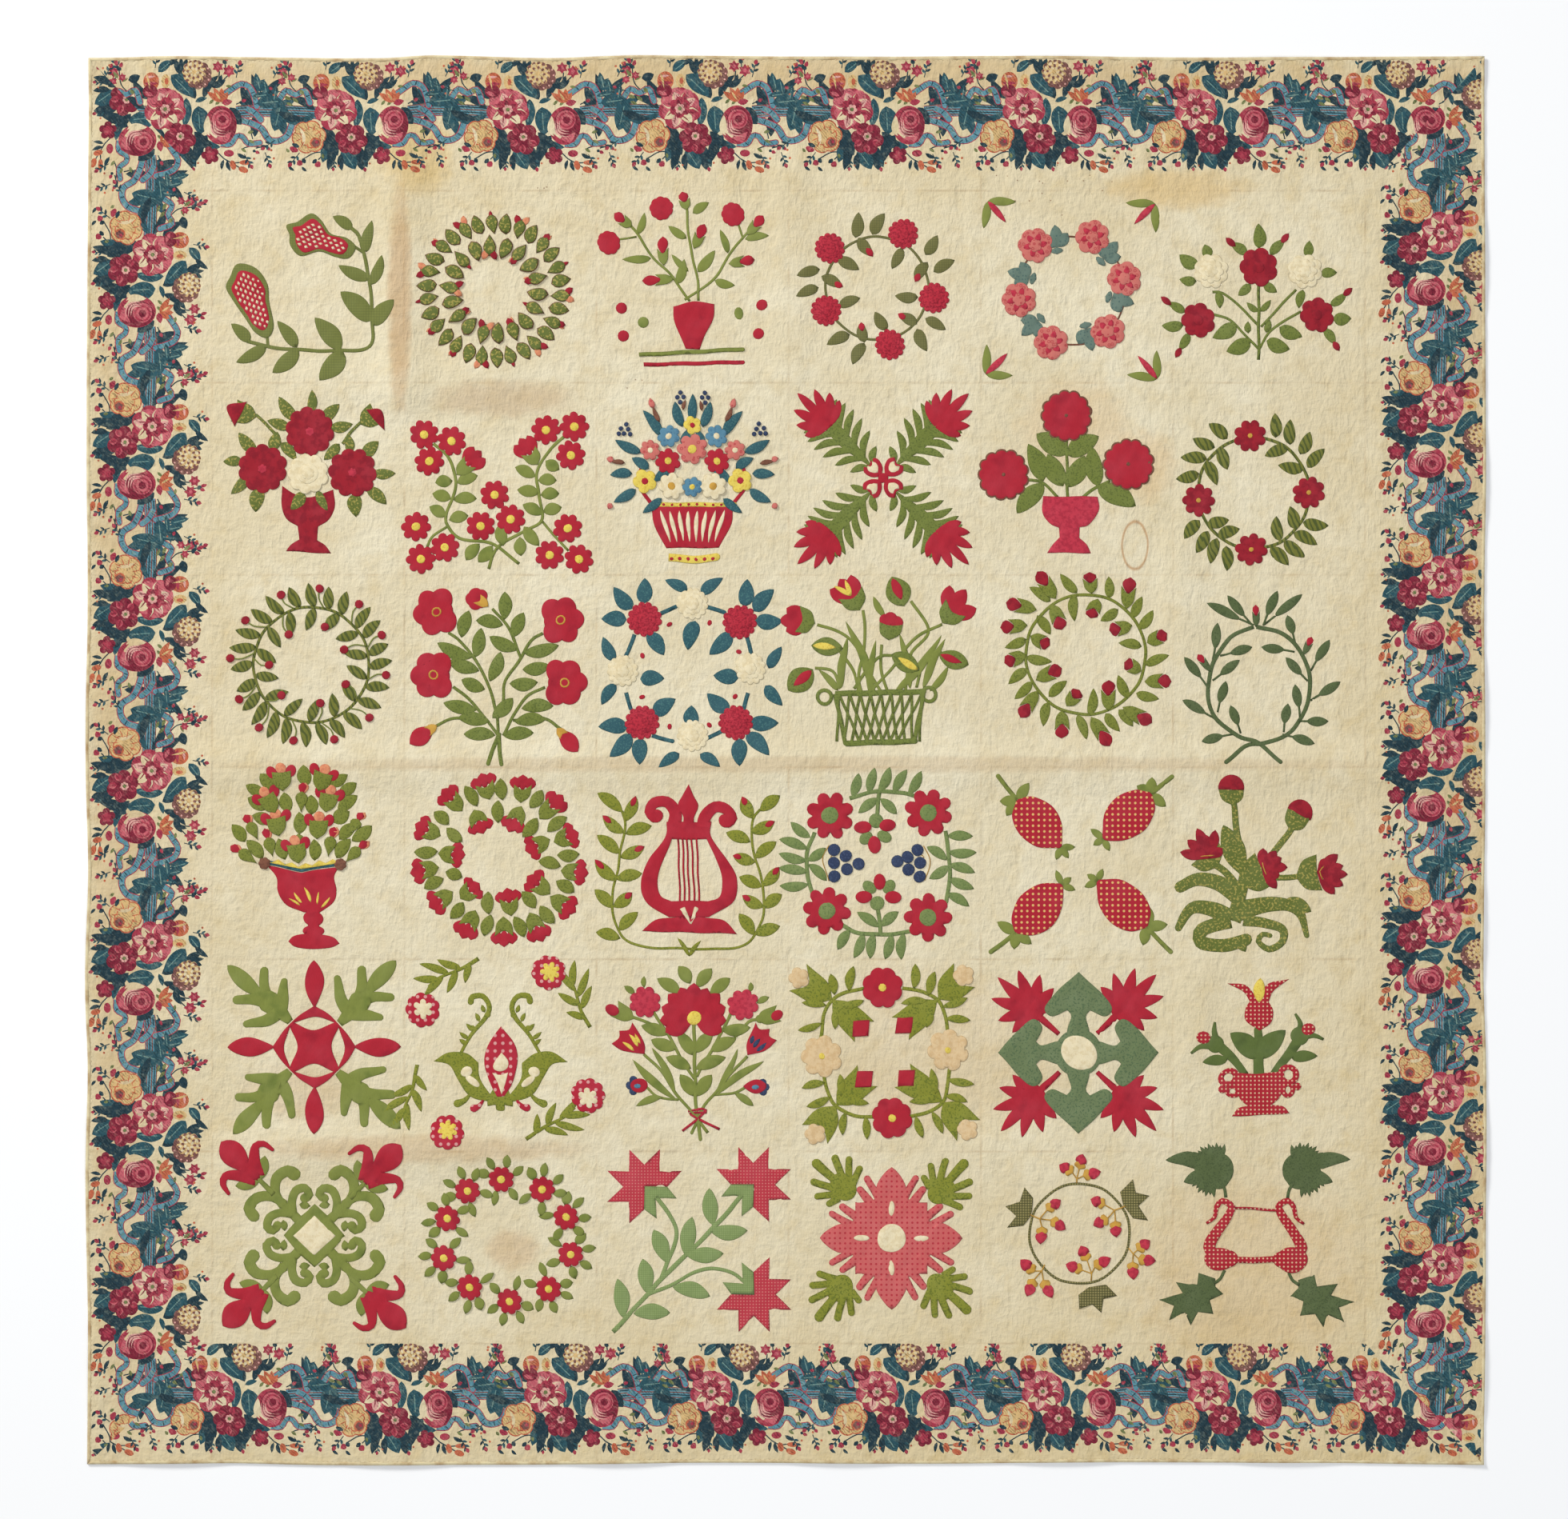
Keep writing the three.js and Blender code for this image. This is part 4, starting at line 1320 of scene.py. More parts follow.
def binding_strip(side):
    """The folded strip along one side."""
    first, last = STRIPS[side]["corners"]
    steps = round(abs(OUTER[last] - OUTER[first]) / GRID)
    t = np.linspace(0, 1, steps + 1)
    lines = []
    for inwards, _ in BINDING_SECTION:
        start, end = along_side(side, inwards)
        lines.append(start + (end - start) * t)
    flat = np.array(lines).T
    heights = np.array([height for _, height in BINDING_SECTION])
    x, y = on_quilt(flat.real, flat.imag)
    lumps = 0.25 * np.sin(flat.real / 7.3 + 1) * np.sin(flat.imag / 7.9)
    z = underside(x, y) + heights + lumps * (heights > 1)
    columns = len(BINDING_SECTION)
    corner = (np.arange(steps)[:, None] * columns + np.arange(columns)).ravel()
    beside = (np.arange(steps)[:, None] * columns + (np.arange(columns) + 1) % columns).ravel()
    faces = [np.column_stack([corner, beside, beside + columns]),
             np.column_stack([corner, beside + columns, corner + columns])]
    fan = np.arange(1, columns - 1)
    for begin, turn in ((0, 1), (steps * columns, -1)):
        end_faces = np.column_stack([np.full(len(fan), begin), begin + fan + 1, begin + fan])
        faces.append(end_faces[:, ::turn])
    points = np.column_stack([x.ravel(), y.ravel(), z.ravel()])
    return add_mesh(f"binding_strip_{side}", points, np.concatenate(faces), [binding_cotton])


binding_strips = {side: binding_strip(side) for side in STRIPS}
print(sum(len(strip.data.polygons) for strip in binding_strips.values()), "triangles of binding")

# %% [markdown]
# ## Applique
# Each block is a board on which cloth is cut and sewn. A call of `sew` is one cut of cloth: the outlines in
# it melt into one patch, as a wreath's stem and leaves are cut in one. Patches sewn later lie on the earlier
# ones, and each one is raised a little where it does. A patch is domed at its turned-under edge and follows
# the quilted ground below, because quilting goes through every layer.

# %% The edge of a patch, in millimetres
TURNED_EDGE = 1.3
FAR = 99.0
AT_ONCE = 400  # places measured together, to spare memory


def hand_cut(z):
    """The slight unevenness of scissors and needle, the same for all that meets at a place."""
    x, y = z.real, z.imag
    return z + 0.7 * (np.sin(y / 11 + x / 37) + 1j * np.sin(x / 12 - y / 41))


def to_lines(points, starts, ends):
    """Distance from each place to the nearest of the straight lines."""
    line = ends - starts
    found = np.full(len(points), FAR)
    for some in np.array_split(np.arange(len(points)), max(1, len(points) // AT_ONCE)):
        away = points[some][:, None] - starts
        along = np.clip((away * line.conj()).real / abs(line) ** 2, 0, 1)
        found[some] = abs(away - along * line).min(1)
    return found


def inner_ring(loop, hole):
    """Places just inside a cut edge, where the cloth reaches its full height."""
    ahead = np.roll(loop, -1) - np.roll(loop, 1)
    area = (loop.conj() * np.roll(loop, -1)).imag.sum()
    side = 1j if (area > 0) != hole else -1j
    ring = loop + side * TURNED_EDGE * ahead / np.maximum(abs(ahead), 1e-9)
    return ring[to_lines(ring, loop, np.roll(loop, -1)) > TURNED_EDGE * 0.8]


def staggered_on_block(loop, pitch):
    """Staggered places inside an outline, on one grid for the whole block."""
    low_x, low_y = np.floor(loop.real.min() / pitch), np.floor(loop.imag.min() / pitch)
    high_x, high_y = np.ceil(loop.real.max() / pitch), np.ceil(loop.imag.max() / pitch)
    column, row = np.meshgrid(np.arange(low_x, high_x), np.arange(low_y, high_y))
    grid = ((column + row % 2 / 2) * pitch + 1j * row * pitch).ravel()
    return grid[inside(grid, loop)]


print("a 40 mm disc, cut by hand, has", len(inner_ring(hand_cut(disc(0, 20)), False)),
      "places inside its edge")

# %% The board, and how high its patches stand
EDGE_LIFT, CREST_LIFT, LAYER_LIFT, TUCK = 0.3, 0.5, 0.4, 0.6
PATCH_GRID = 6.5
LAYER_CELL = 7  # layers are counted in squares of this size


class Board:
    """One album block: its middle, what is sewn to it, and how many layers lie at each place."""

    def __init__(self, row, column):
        self.name = f"applique_{row}_{column}"
        self.middle = LEFT + (column - 0.5) * BLOCK + 1j * (TOP - (row - 0.5) * BLOCK)
        self.layers, self.parts, self.cloths, self.count = {}, [], [], 0

    def sew(self, cloth, *shapes):
        """One cut of cloth from all the shapes: an outline, or a tuple of an outline and its holes."""
        cuts = []
        for shape in shapes:
            for one in shape if isinstance(shape, list) else [shape]:
                cuts.append(one if isinstance(one, tuple) else (one,))
        loops, owners = [], []
        for cut in cuts:
            owners.append((len(loops), range(len(loops) + 1, len(loops) + len(cut))))
            loops += [hand_cut(loop) for loop in cut]
        rings = [inner_ring(loop, k not in [owner[0] for owner in owners]) for k, loop in enumerate(loops)]
        grid = np.unique(np.concatenate([staggered_on_block(loop, PATCH_GRID) for loop in loops]).round(3))
        edges = np.concatenate(loops + rings)
        extra = np.concatenate(rings + [clear_of(grid, edges, 2.6)])
        points, faces, cover = triangulate(loops, extra)
        kept = np.array([any(first in over and not any(hole in over for hole in holes)
                             for first, holes in owners) for over in map(set, cover)])
        used, faces = np.unique(faces[kept], return_inverse=True)
        self.lay(cloth, points[used], faces.reshape(-1, 3))

    def lay(self, cloth, points, faces):
        """Raises the flat patch to its layer and gives it its turned edge."""
        rim = border_edges(faces)
        from_edge = np.minimum(to_lines(points, points[rim[:, 0]], points[rim[:, 1]]) / TURNED_EDGE, 1)
        across, up = points.real // LAYER_CELL, points.imag // LAYER_CELL
        cells = set(zip(across.astype(int).tolist(), up.astype(int).tolist()))
        layer = max((self.layers.get(cell, 0) for cell in cells), default=0)
        self.layers.update({cell: layer + 1 for cell in cells})
        place = points + self.middle
        ground = top_of(place.real, place.imag)
        z = ground + EDGE_LIFT + LAYER_LIFT * layer + CREST_LIFT * np.sqrt(from_edge)
        edge = np.unique(rim)
        under = np.full(len(points), -1)
        under[edge] = len(points) + np.arange(len(edge))
        start, end = rim.T
        walls = [np.column_stack([start, under[start], under[end]]),
                 np.column_stack([start, under[end], end])]
        upper = np.column_stack([place.real, place.imag, z])
        lower = np.column_stack([place.real[edge], place.imag[edge], ground[edge] - TUCK])
        if cloth not in self.cloths:
            self.cloths.append(cloth)
        every = np.concatenate([faces, *walls]) + self.count
        self.parts.append((np.concatenate([upper, lower]), every, self.cloths.index(cloth),
                           np.concatenate([from_edge, np.zeros(len(edge))])))
        self.count += len(upper) + len(lower)

    def finished(self):
        """All that is sewn to this block, as one piece."""
        points, faces, wears, shares = zip(*self.parts)
        wear = np.concatenate([np.full(len(some), cloth) for some, cloth in zip(faces, wears)])
        piece = add_mesh(self.name, np.concatenate(points), np.concatenate(faces),
                         [cotton(cloth) for cloth in self.cloths], wear)
        mark = piece.data.attributes.new("from_edge", "FLOAT", "POINT")
        mark.data.foreach_set("value", np.concatenate(shares).astype(np.float32))
        return piece


print("a patch of the seventh layer would stand", EDGE_LIFT + 6 * LAYER_LIFT, "mm above the ground")

# %% Leaves, flowers and buds that recur from block to block
def leaf_rows(*rows, width=22, belly=0.42):
    """A leaf for each row: x and y of its base, x and y of its tip, and its width if it differs."""
    return [leaf(row[0] + 1j * row[1], row[2] + 1j * row[3], row[4] if len(row) > 4 else width, belly,
                 0.04 if k % 2 else -0.04) for k, row in enumerate(rows)]


def flowers(board, cloth, size, count, places, middle=None, share=0.28, depth=0.2):
    """A flower of round petals at each place, with a middle of another cloth."""
    board.sew(cloth, [petals(at, size, count, depth, 7 * k) for k, at in enumerate(places)])
    if middle:
        board.sew(middle, [disc(at, size * share) for at in places])


def cup(base, tip, width, dip=0.3):
    """A calyx: pointed at its stem, swelling, and cut to two horns at its mouth."""
    along = tip - base
    across = 1j * along / abs(along) * width / 2
    return outline([base, base + along * 0.35 + across * 0.8, tip + across],
                   [tip + across, base + along * (1 - dip), tip - across],
                   [tip - across, base + along * 0.35 - across * 0.8, base])


def buds(board, *rows, width=30, calyx="leaf_green", cloth="turkey_red", share=0.55, lobes=3):
    """Buds: a row is base x and y, tip x and y. Petals show at the mouth of a calyx."""
    cups, shown = [], []
    for row in rows:
        base, tip = row[0] + 1j * row[1], row[2] + 1j * row[3]
        along = (tip - base) / abs(tip - base)
        mouth = base + (tip - base) * share
        cups.append(cup(base, mouth, width))
        for k in range(lobes):
            lean = (k - (lobes - 1) / 2) * width * 0.46
            reach = abs(tip - mouth) - abs(lean) * 0.3
            start = mouth - along * abs(tip - base) * 0.24 + 1j * along * lean * 0.7
            shown.append(leaf(start, mouth + along * reach + 1j * along * lean,
                              width * (0.66 if lobes > 1 else 0.92),
                              belly=0.6))
    board.sew(cloth, shown)
    board.sew(calyx, cups)


def gathered(board, cloth, size, places):
    """A flower of gathered cloth: three rings of short petals, one on another."""
    for share, count in ((1, 13), (0.7, 10), (0.42, 7)):
        board.sew(cloth, [petals(at, size * share, count, 0.14, 11 * count) for at in places])


print("three rows make", len(leaf_rows((0, 0, 9, 9), (0, 0, 9, 0), (0, 0, 0, 9))), "leaves")


# %% Turned, mirrored and ring shapes
def quarter_turns(*shapes):
    """Each shape four times, each a quarter turn on."""
    return [shape * turn for turn in (1, 1j, -1, -1j) for shape in shapes]


def mirrored(*shapes):
    """The shapes, and their mirror images across the block's upright middle line."""
    return list(shapes) + [-shape.conj() for shape in shapes]


def round_ring(centre, radius, width):
    """A wreath's stem: a closed ring."""
    return stem(width, *(centre + polar(radius, turn) for turn in range(0, 360, 30)), closed=True)


print("one leaf in quarter turns is", len(quarter_turns(leaf(0, 40, 22))), "leaves")

# %% [markdown]
# ## The blocks
# The pictures follow the real blocks in kind, place and size, as a sewer would who looks at one block and
# cuts leaves of their own for the next. Each block is a function that is given its board. A row of a table
# is one leaf or bud, from its base to its tip, because that is how it is laid on the stem.

# %% Sewing a block
applique = {}


def sew_block(design, row, column):
    """Makes one block's applique and keeps it."""
    board = Board(row, column)
    design(board)
    piece = applique[row, column] = board.finished()
    print(design.__name__.replace("_", " ") + ":", len(board.cloths), "cloths,", len(piece.data.polygons),
          "triangles")


# %% [markdown]
# ### The first row
# From left to right: two strawberry-like pods on a bent branch, a close wreath of buds, a pot of
# flowers, two rose wreaths and a low spray. Stem and leaves could be one drawn outline, but the maker
# cut each leaf by itself, so every leaf is a row of a table and laps its stem.


# %% Pods and leaves
def pods_and_leaves(b):
    """A bent branch with broad leaves, and two pods with a lattice."""
    branch = stem(7, -118 - 105j, -78 - 116j, -20 - 122j, 60 - 124j, 119 - 116j, 124 - 70j, 121 - 10j,
        117 + 20j, 106 + 70j, 98 + 100j, 85 + 113j)
    b.sew("check_green", branch, stem(6, 106 + 66j, 90 + 78j), stem(6, -78 - 116j, -80 - 96j),
        leaf_rows((86, 112, 47, 136), (112, 66, 123, 128), (123, 4, 143, 62), (120, 14, 59, 42, 25),
        (122, -66, 62, -9, 38), (124, -75, 166, -26, 34), (64, -122, 12, -60, 36), (68, -126, 22, -182, 40),
        (-22, -118, -59, -66, 26), (-18, -124, -70, -166, 32), (-112, -106, -150, -72, 24),
        (-80, -116, -140, -146, 26)))
    pods = [(92 + 78j, 75 + 95j, 45 + 102j, 25 + 130j, 5 + 142j, -20 + 125j, -42 + 119j, -37 + 100j,
        -35 + 80j, -15 + 60j, 20 + 68j, 50 + 58j, 78 + 56j), (-80 - 100j, -66 - 75j, -76 - 30j, -78 + 5j,
        -100 + 35j, -137 + 44j, -150 + 20j, -160 + 0j, -147 - 25j, -122 - 60j, -104 - 88j)]
    for points in pods:
        pod = curve(*points, closed=True)
        inner = pod.mean() + (pod - pod.mean()) * 0.8
        b.sew("check_green", pod)
        b.sew("turkey_red", inner)
        axis = np.exp(1j * math.radians(-20 if pod.mean().real > -50 else 108))
        slots = [pod.mean() + axis * (12.5 * (k + m % 2 / 2) + 1j * 7.5 * m)
                 for k in range(-7, 8) for m in range(-6, 7)]
        slots = [slot for slot in slots if to_lines(np.array([slot]), inner, np.roll(inner, -1))[0] > 3.5
                 and inside(np.array([slot]), inner)[0]]
        b.sew("cream", [slot + axis * np.array([5.2, 3.2j, -5.2, -3.2j]) for slot in slots])


sew_block(pods_and_leaves, 1, 1)

# %% Ring of buds
def ring_of_buds(b):
    """Buds and leaves by turns in two rings about an empty middle."""
    centre = -12 - 7j
    for kinds, start, foot, head in (("cLBLbLcLBLbLBLcLBLbLbLcLBLbLBL", 90, 110, 154),
                                     ("BLbLbLcLbLBLbLBLcL", 95, 106, 60)):
        leaves_cut, bulbs, red, pale = [], [], [], []
        for k, kind in enumerate(kinds):
            turn = start - k * 360 / len(kinds)
            base, tip = centre + polar(foot, turn), centre + polar(head, turn + 3)
            across = 1j * (tip - base)
            if kind == "L":
                leaves_cut.append(leaf(base * 0.94 + tip * 0.06, tip * 0.9 + base * 0.1, 23, belly=0.42,
                    bend=0.05))
                continue
            bulbs.append(leaf(base, base + (tip - base) * 0.82, 22, belly=0.6))
            if kind == "B":
                red.append(leaf(base + (tip - base) * 0.5, tip + across * 0.3, 13, belly=0.6))
                pale.append(leaf(base + (tip - base) * 0.5, tip - across * 0.3, 13, belly=0.6))
            elif kind == "b":
                red.append(leaf(base + (tip - base) * 0.55, tip + across * 0.06, 14, belly=0.6))
                pale.append(leaf(base + (tip - base) * 0.6, tip - across * 0.1, 8, belly=0.6))
            else:
                red.append(leaf(base + (tip - base) * 0.66, tip, 7))
        b.sew("brown", [shape.mean() + (shape - shape.mean()) * 1.1 for shape in leaves_cut + bulbs])
        b.sew("peach", pale)
        b.sew("old_red", red)
        b.sew("print_green", leaves_cut + bulbs)


sew_block(ring_of_buds, 1, 2)

# %% Pot of flowers
def pot_of_flowers(b):
    """A red pot on two bars, with scalloped flowers, V-shaped buds and small discs."""
    b.sew("leaf_green", stem(5, 12 - 28j, 10 + 10j, 0 + 60j, -8 + 100j, -10 + 140j, -15 + 168j),
        stem(5, -5 - 28j, -40 + 20j, -75 + 55j, -105 + 100j, -122 + 120j), stem(4, -108 + 96j, -142 + 92j),
        stem(5, -15 - 25j, 20 - 3j, 50 + 25j, 72 + 65j, 98 + 95j, 125 + 125j), stem(4, 98 + 95j, 88 + 122j),
        leaf_rows((-107, 100, -92, 143, 15), (-80, 56, -137, 53, 16), (-30, 5, -15, 54, 19),
        (-12, 93, -47, 118, 17), (10, 28, 43, 70, 21), (0, 142, 32, 164, 18), (68, 65, 54, 110, 15),
        (102, 92, 148, 99, 17), (42, 12, 82, 2, 18), (-8, 30, -40, 62, 14)))
    buds(b, (-118, 116, -152, 142), (-56, 40, -58, 98), (-36, 14, -97, 12), (2, 74, 24, 122),
        (70, 45, 120, 52), (106, 100, 137, 137), (-12, 148, -20, 184), width=22, lobes=1, share=0.6)
    b.sew("turkey_red", [petals(at, 23, 9, 0.08) for at in (-162 + 85j, -60 + 152j, 78 + 140j)],
          outline([-38 - 38j, 0 - 29j, 43 - 33j], [43 - 33j, 40 - 60j, 24 - 95j, 13 - 121j],
                  [13 - 121j, -14 - 121j],
                  [-14 - 121j, -24 - 95j, -36 - 62j, -38 - 38j]))
    b.sew("leaf_green", stem(8, -103 - 132j, 98 - 121j))
    b.sew("turkey_red", stem(8, -95 - 151j, 97 - 146j))
    b.sew("turkey_red", [disc(at, 11) for at in (-137 - 42j, -134 - 95j, 134 - 35j, 127 - 91j)])
    b.sew("leaf_green", disc(-95 - 69j, 11), disc(90 - 52j, 9, 12))


sew_block(pot_of_flowers, 1, 3)

# %% Gathered wreath
def gathered_wreath(b):
    """Five gathered red flowers on a stem ring, with dark checked leaves, some with red tips."""
    rows = ((-57, 95, -50, 145, 25), (-25, 100, 0, 142, 25), (-52, 95, -22, 58), (-92, 55, -50, 32, 24),
        (-125, 33, -170, 22), (-122, 20, -80, 0), (-128, -2, -172, -18), (-90, -38, -47, -22),
        (-68, -92, -112, -112, 24), (-40, -108, -45, -68), (-40, -108, -62, -150, 24), (5, -85, -20, -48),
        (62, -73, 25, -52), (78, -62, 118, -83), (62, -82, 82, -125, 24), (65, -20, 20, -18),
        (83, 48, 58, 10, 23), (95, 28, 135, 52, 23), (78, 62, 103, 100, 24), (33, 75, 14, 34))
    b.sew("forest", round_ring(-15 - 3j, 100, 5), leaf_rows(*rows))
    tips = [rows[k] for k in (2, 5, 9, 12, 16)]
    b.sew("turkey_red", [leaf(0.45 * (x + 1j * y) + 0.55 * (u + 1j * v), u + 1j * v, 13, belly=0.5)
                         for x, y, u, v, *_ in tips])
    gathered(b, "ruched_red", 30, [-106 + 74j, 36 + 102j, 95 - 22j, 10 - 112j, -113 - 46j])


sew_block(gathered_wreath, 1, 4)

# %% Rose wreath
def rose_wreath(b):
    """Six printed roses on a thin ring, small teal leaves between them, and a sprig in each corner."""
    b.sew("brown", round_ring(-10 - 8j, 105, 3.5))
    for at, turn in ((-40 + 90j, 95), (60 + 65j, 50), (82 - 25j, -15), (22 - 95j, -75), (-85 - 75j, -140),
                     (-105 + 22j, 165)):
        b.sew("dusty_blue", [leaf(at - polar(14, turn), at + polar(reach, turn + lean), 24, belly=0.5)
                             for lean, reach in ((-64, 26), (0, 30), (64, 26), (180, 28))])
    for at in (-80 + 80j, 30 + 96j, 92 + 15j, 60 - 87j, -50 - 108j, -112 - 25j):
        b.sew("pink_print", petals(at, 34, 7, 0.14))
        b.sew("rose_red", [leaf(at + polar(6, turn), at + polar(25, turn + 14), 12)
                           for turn in range(0, 360, 60)])
        b.sew("pink_print", petals(at, 13, 5, 0.2))
    for vertex, first, second, tip in ((-172 + 165j, -117 + 165j, -180 + 112j, -138 + 125j),
                                       (152 + 160j, 95 + 163j, 152 + 105j, 110 + 121j),
                                       (-176 - 170j, -174 - 112j, -124 - 172j, -134 - 128j),
                                       (155 - 178j, 155 - 123j, 97 - 170j, 118 - 134j)):
        b.sew("leaf_green", leaf(vertex, first, 17), leaf(vertex, second, 17))
        b.sew("rose_red", leaf(vertex, tip, 13))


sew_block(rose_wreath, 1, 5)

# %% Spray of flowers
def spray_of_flowers(b):
    """A low spray: red flowers, raised cream ones, buds, and broad leaves."""
    b.sew("fern_green", stem(6, -20 + 2j, -20 - 142j), stem(5, -20 - 75j, -50 - 45j, -90 - 12j, -110 - 10j),
        stem(5, -15 - 78j, 15 - 45j, 52 - 5j), stem(5, -20 - 122j, -45 - 95j, -75 - 65j, -110 - 52j),
        stem(5, -20 - 122j, 0 - 90j, 30 - 65j, 62 - 48j), leaf_rows((-20, 74, -20, 122, 26),
        (-35, 5, -60, -18, 18), (-10, 8, 16, -12, 18), (-100, -8, -95, -42, 17), (65, -5, 58, -42, 18),
        (-22, -48, -44, -30, 13), (-18, -48, 4, -26, 13), (-40, -90, -40, -66, 14), (-5, -90, 0, -63, 14),
        (-62, -74, -110, -99, 29), (20, -78, 65, -98, 27), (-36, -104, -82, -126, 31),
        (-5, -105, 40, -121, 29), (-166, -75, -208, -75), (124, -62, 160, -62, 26), (-138, 38, -174, 62, 26),
        (-118, 55, -124, 82, 22), (-140, 10, -174, 15, 20), (72, 58, 79, 90, 20), (100, 24, 132, 28, 20),
        (-42, 62, -74, 86, 20), (2, 62, 30, 92, 20), (-162, -50, -196, -30, 18), (-154, -90, -174, -124, 18),
        (118, -36, 150, -12, 18), (106, -80, 128, -112, 18)))
    b.sew("old_red", [leaf(a, c, 13, belly=0.5) for a, c in (
        (-64 + 78j, -84 + 95j), (22 + 84j, 39 + 103j), (-188 - 35j, -209 - 20j), (-170 - 118j, -182 - 138j),
        (142 - 18j, 162 - 3j), (124 - 106j, 137 - 125j))])
    flowers(b, "old_red", 38, 7, [-20 + 38j], "old_red", 0.3, 0.16)
    flowers(b, "old_red", 34, 7, [-137 - 65j, 93 - 55j], "old_red", 0.3, 0.16)
    flowers(b, "cream", 34, 8, [-112 + 30j, 70 + 30j], "cream", 0.4, 0.16)
    b.sew("cream", [petals(at, 24, 8, 0.2, 20) for at in (-112 + 30j, 70 + 30j)])
    b.sew("cream", [petals(at, 13, 6, 0.2, 20) for at in (-112 + 30j, 70 + 30j)])


sew_block(spray_of_flowers, 1, 6)

# %% [markdown]
# ### The second row
# From left to right: a vase, a spray of small flowers, a striped basket, a folded cut, a second vase
# and a wreath. A folded cut repeats one quarter, so its shapes are made once and turned. A vase is one
# outline, drawn all the way round.


# %% Goblet of flowers
def goblet_of_flowers(b):
    """A red goblet with three large red flowers, a pale one, and two capped buds."""
    b.sew("old_red", outline([-50 - 14j, -25 - 29j, 5 - 36j, 49 - 20j],
        [49 - 20j, 52 - 50j, 40 - 78j, 20 - 92j], [20 - 92j, 17 - 118j], [17 - 118j, 32 - 128j, 44 - 145j],
        [44 - 145j, -42 - 140j], [-42 - 140j, -34 - 128j, -18 - 118j], [-18 - 118j, -20 - 92j],
        [-20 - 92j, -42 - 76j, -52 - 48j, -50 - 14j]))
    b.sew("print_green", stem(6, -56 + 80j, -80 + 104j, -102 + 124j), stem(6, 66 + 68j, 82 + 90j, 102 + 110j),
        leaf_rows((5, 128, 8, 172, 19), (-22, 112, -57, 160, 24), (-36, 97, -80, 113), (28, 110, 60, 144, 25),
        (43, 97, 87, 107), (-52, 70, -23, 36), (-70, 55, -60, 92, 25), (-102, 50, -134, 90, 25),
        (-128, 33, -164, 34, 21), (-118, 4, -149, -30, 21), (-95, -16, -101, -64, 29), (60, 68, 31, 36, 21),
        (80, 50, 77, 88, 19), (105, 40, 137, 73, 25), (126, 12, 170, 10, 21), (113, -16, 152, -50, 23),
        (92, -28, 92, -74, 29), (-8, -25, -34, -60, 25), (18, -23, 38, -62, 19)),
        cup(-100 + 120j, -143 + 133j, 44, 0.1), cup(100 + 106j, 133 + 128j, 44, 0.1))
    b.sew("old_red", outline([-118 + 150j, -158 + 140j, -142 + 102j],
        [-142 + 102j, -130 + 126j, -118 + 150j]), outline([112 + 134j, 142 + 132j, 148 + 94j],
        [148 + 94j, 128 + 112j, 112 + 134j]))
    flowers(b, "old_red", 48, 10, [-88 + 20j, 3 + 92j, 86 + 12j], depth=0.13)
    flowers(b, "rose_red", 9, 6, [-88 + 20j, 3 + 92j, 86 + 12j])
    flowers(b, "cream", 40, 9, [0 + 10j], "cream", 0.5, 0.14)
    b.sew("cream", petals(10j, 12, 7, 0.2))


sew_block(goblet_of_flowers, 2, 1)

# %% Two branches
def two_branches(b):
    """Two branches of small red flowers with yellow middles, crossing their feet."""
    b.sew("leaf_green", stem(6, -130 + 68j, -100 + 40j, -86 + 0j, -92 - 35j, -105 - 70j, -103 - 90j,
        -80 - 115j, -30 - 122j, 0 - 135j, 37 - 165j), stem(5, -103 - 92j, -130 - 110j, -142 - 132j),
        stem(6, 125 + 82j, 95 + 55j, 70 + 10j, 75 - 30j, 80 - 80j, 50 - 100j, 10 - 120j, -10 - 140j,
        -23 - 175j), stem(5, 80 - 82j, 110 - 115j, 132 - 140j),
        leaf_rows((-92, -3, -127, -8), (-84, -8, -43, 6), (-95, -38, -132, -29), (-92, -40, -46, -38),
        (-105, -72, -137, -54), (-100, -80, -61, -71), (68, 5, 28, 22), (72, -3, 109, -3), (76, -28, 33, -21),
        (78, -32, 114, -28), (80, -70, 43, -49), (82, -65, 120, -54), (88, 35, 115, 17),
        (75, -130, 46, -92, 25), (38, -112, 40, -150, 25), (5, -130, 0, -88, 25), (-40, -125, -67, -157, 25),
        (-15, -130, -43, -162, 25), width=24, belly=0.5))
    buds(b, (-84, 8, -36, 54), (74, 28, 36, 78), width=34, lobes=3)
    flowers(b, "turkey_red", 29, 8, [-147 + 86j, -94 + 73j, -137 + 34j, -163 - 93j, -154 - 155j, -107 - 133j,
        -38 - 91j, -11 - 31j, 20 - 78j, 89 + 95j, 143 + 101j, 136 + 46j, 130 - 96j, 95 - 147j, 152 - 155j],
        "yellow", 0.3, 0.24)


sew_block(two_branches, 2, 2)

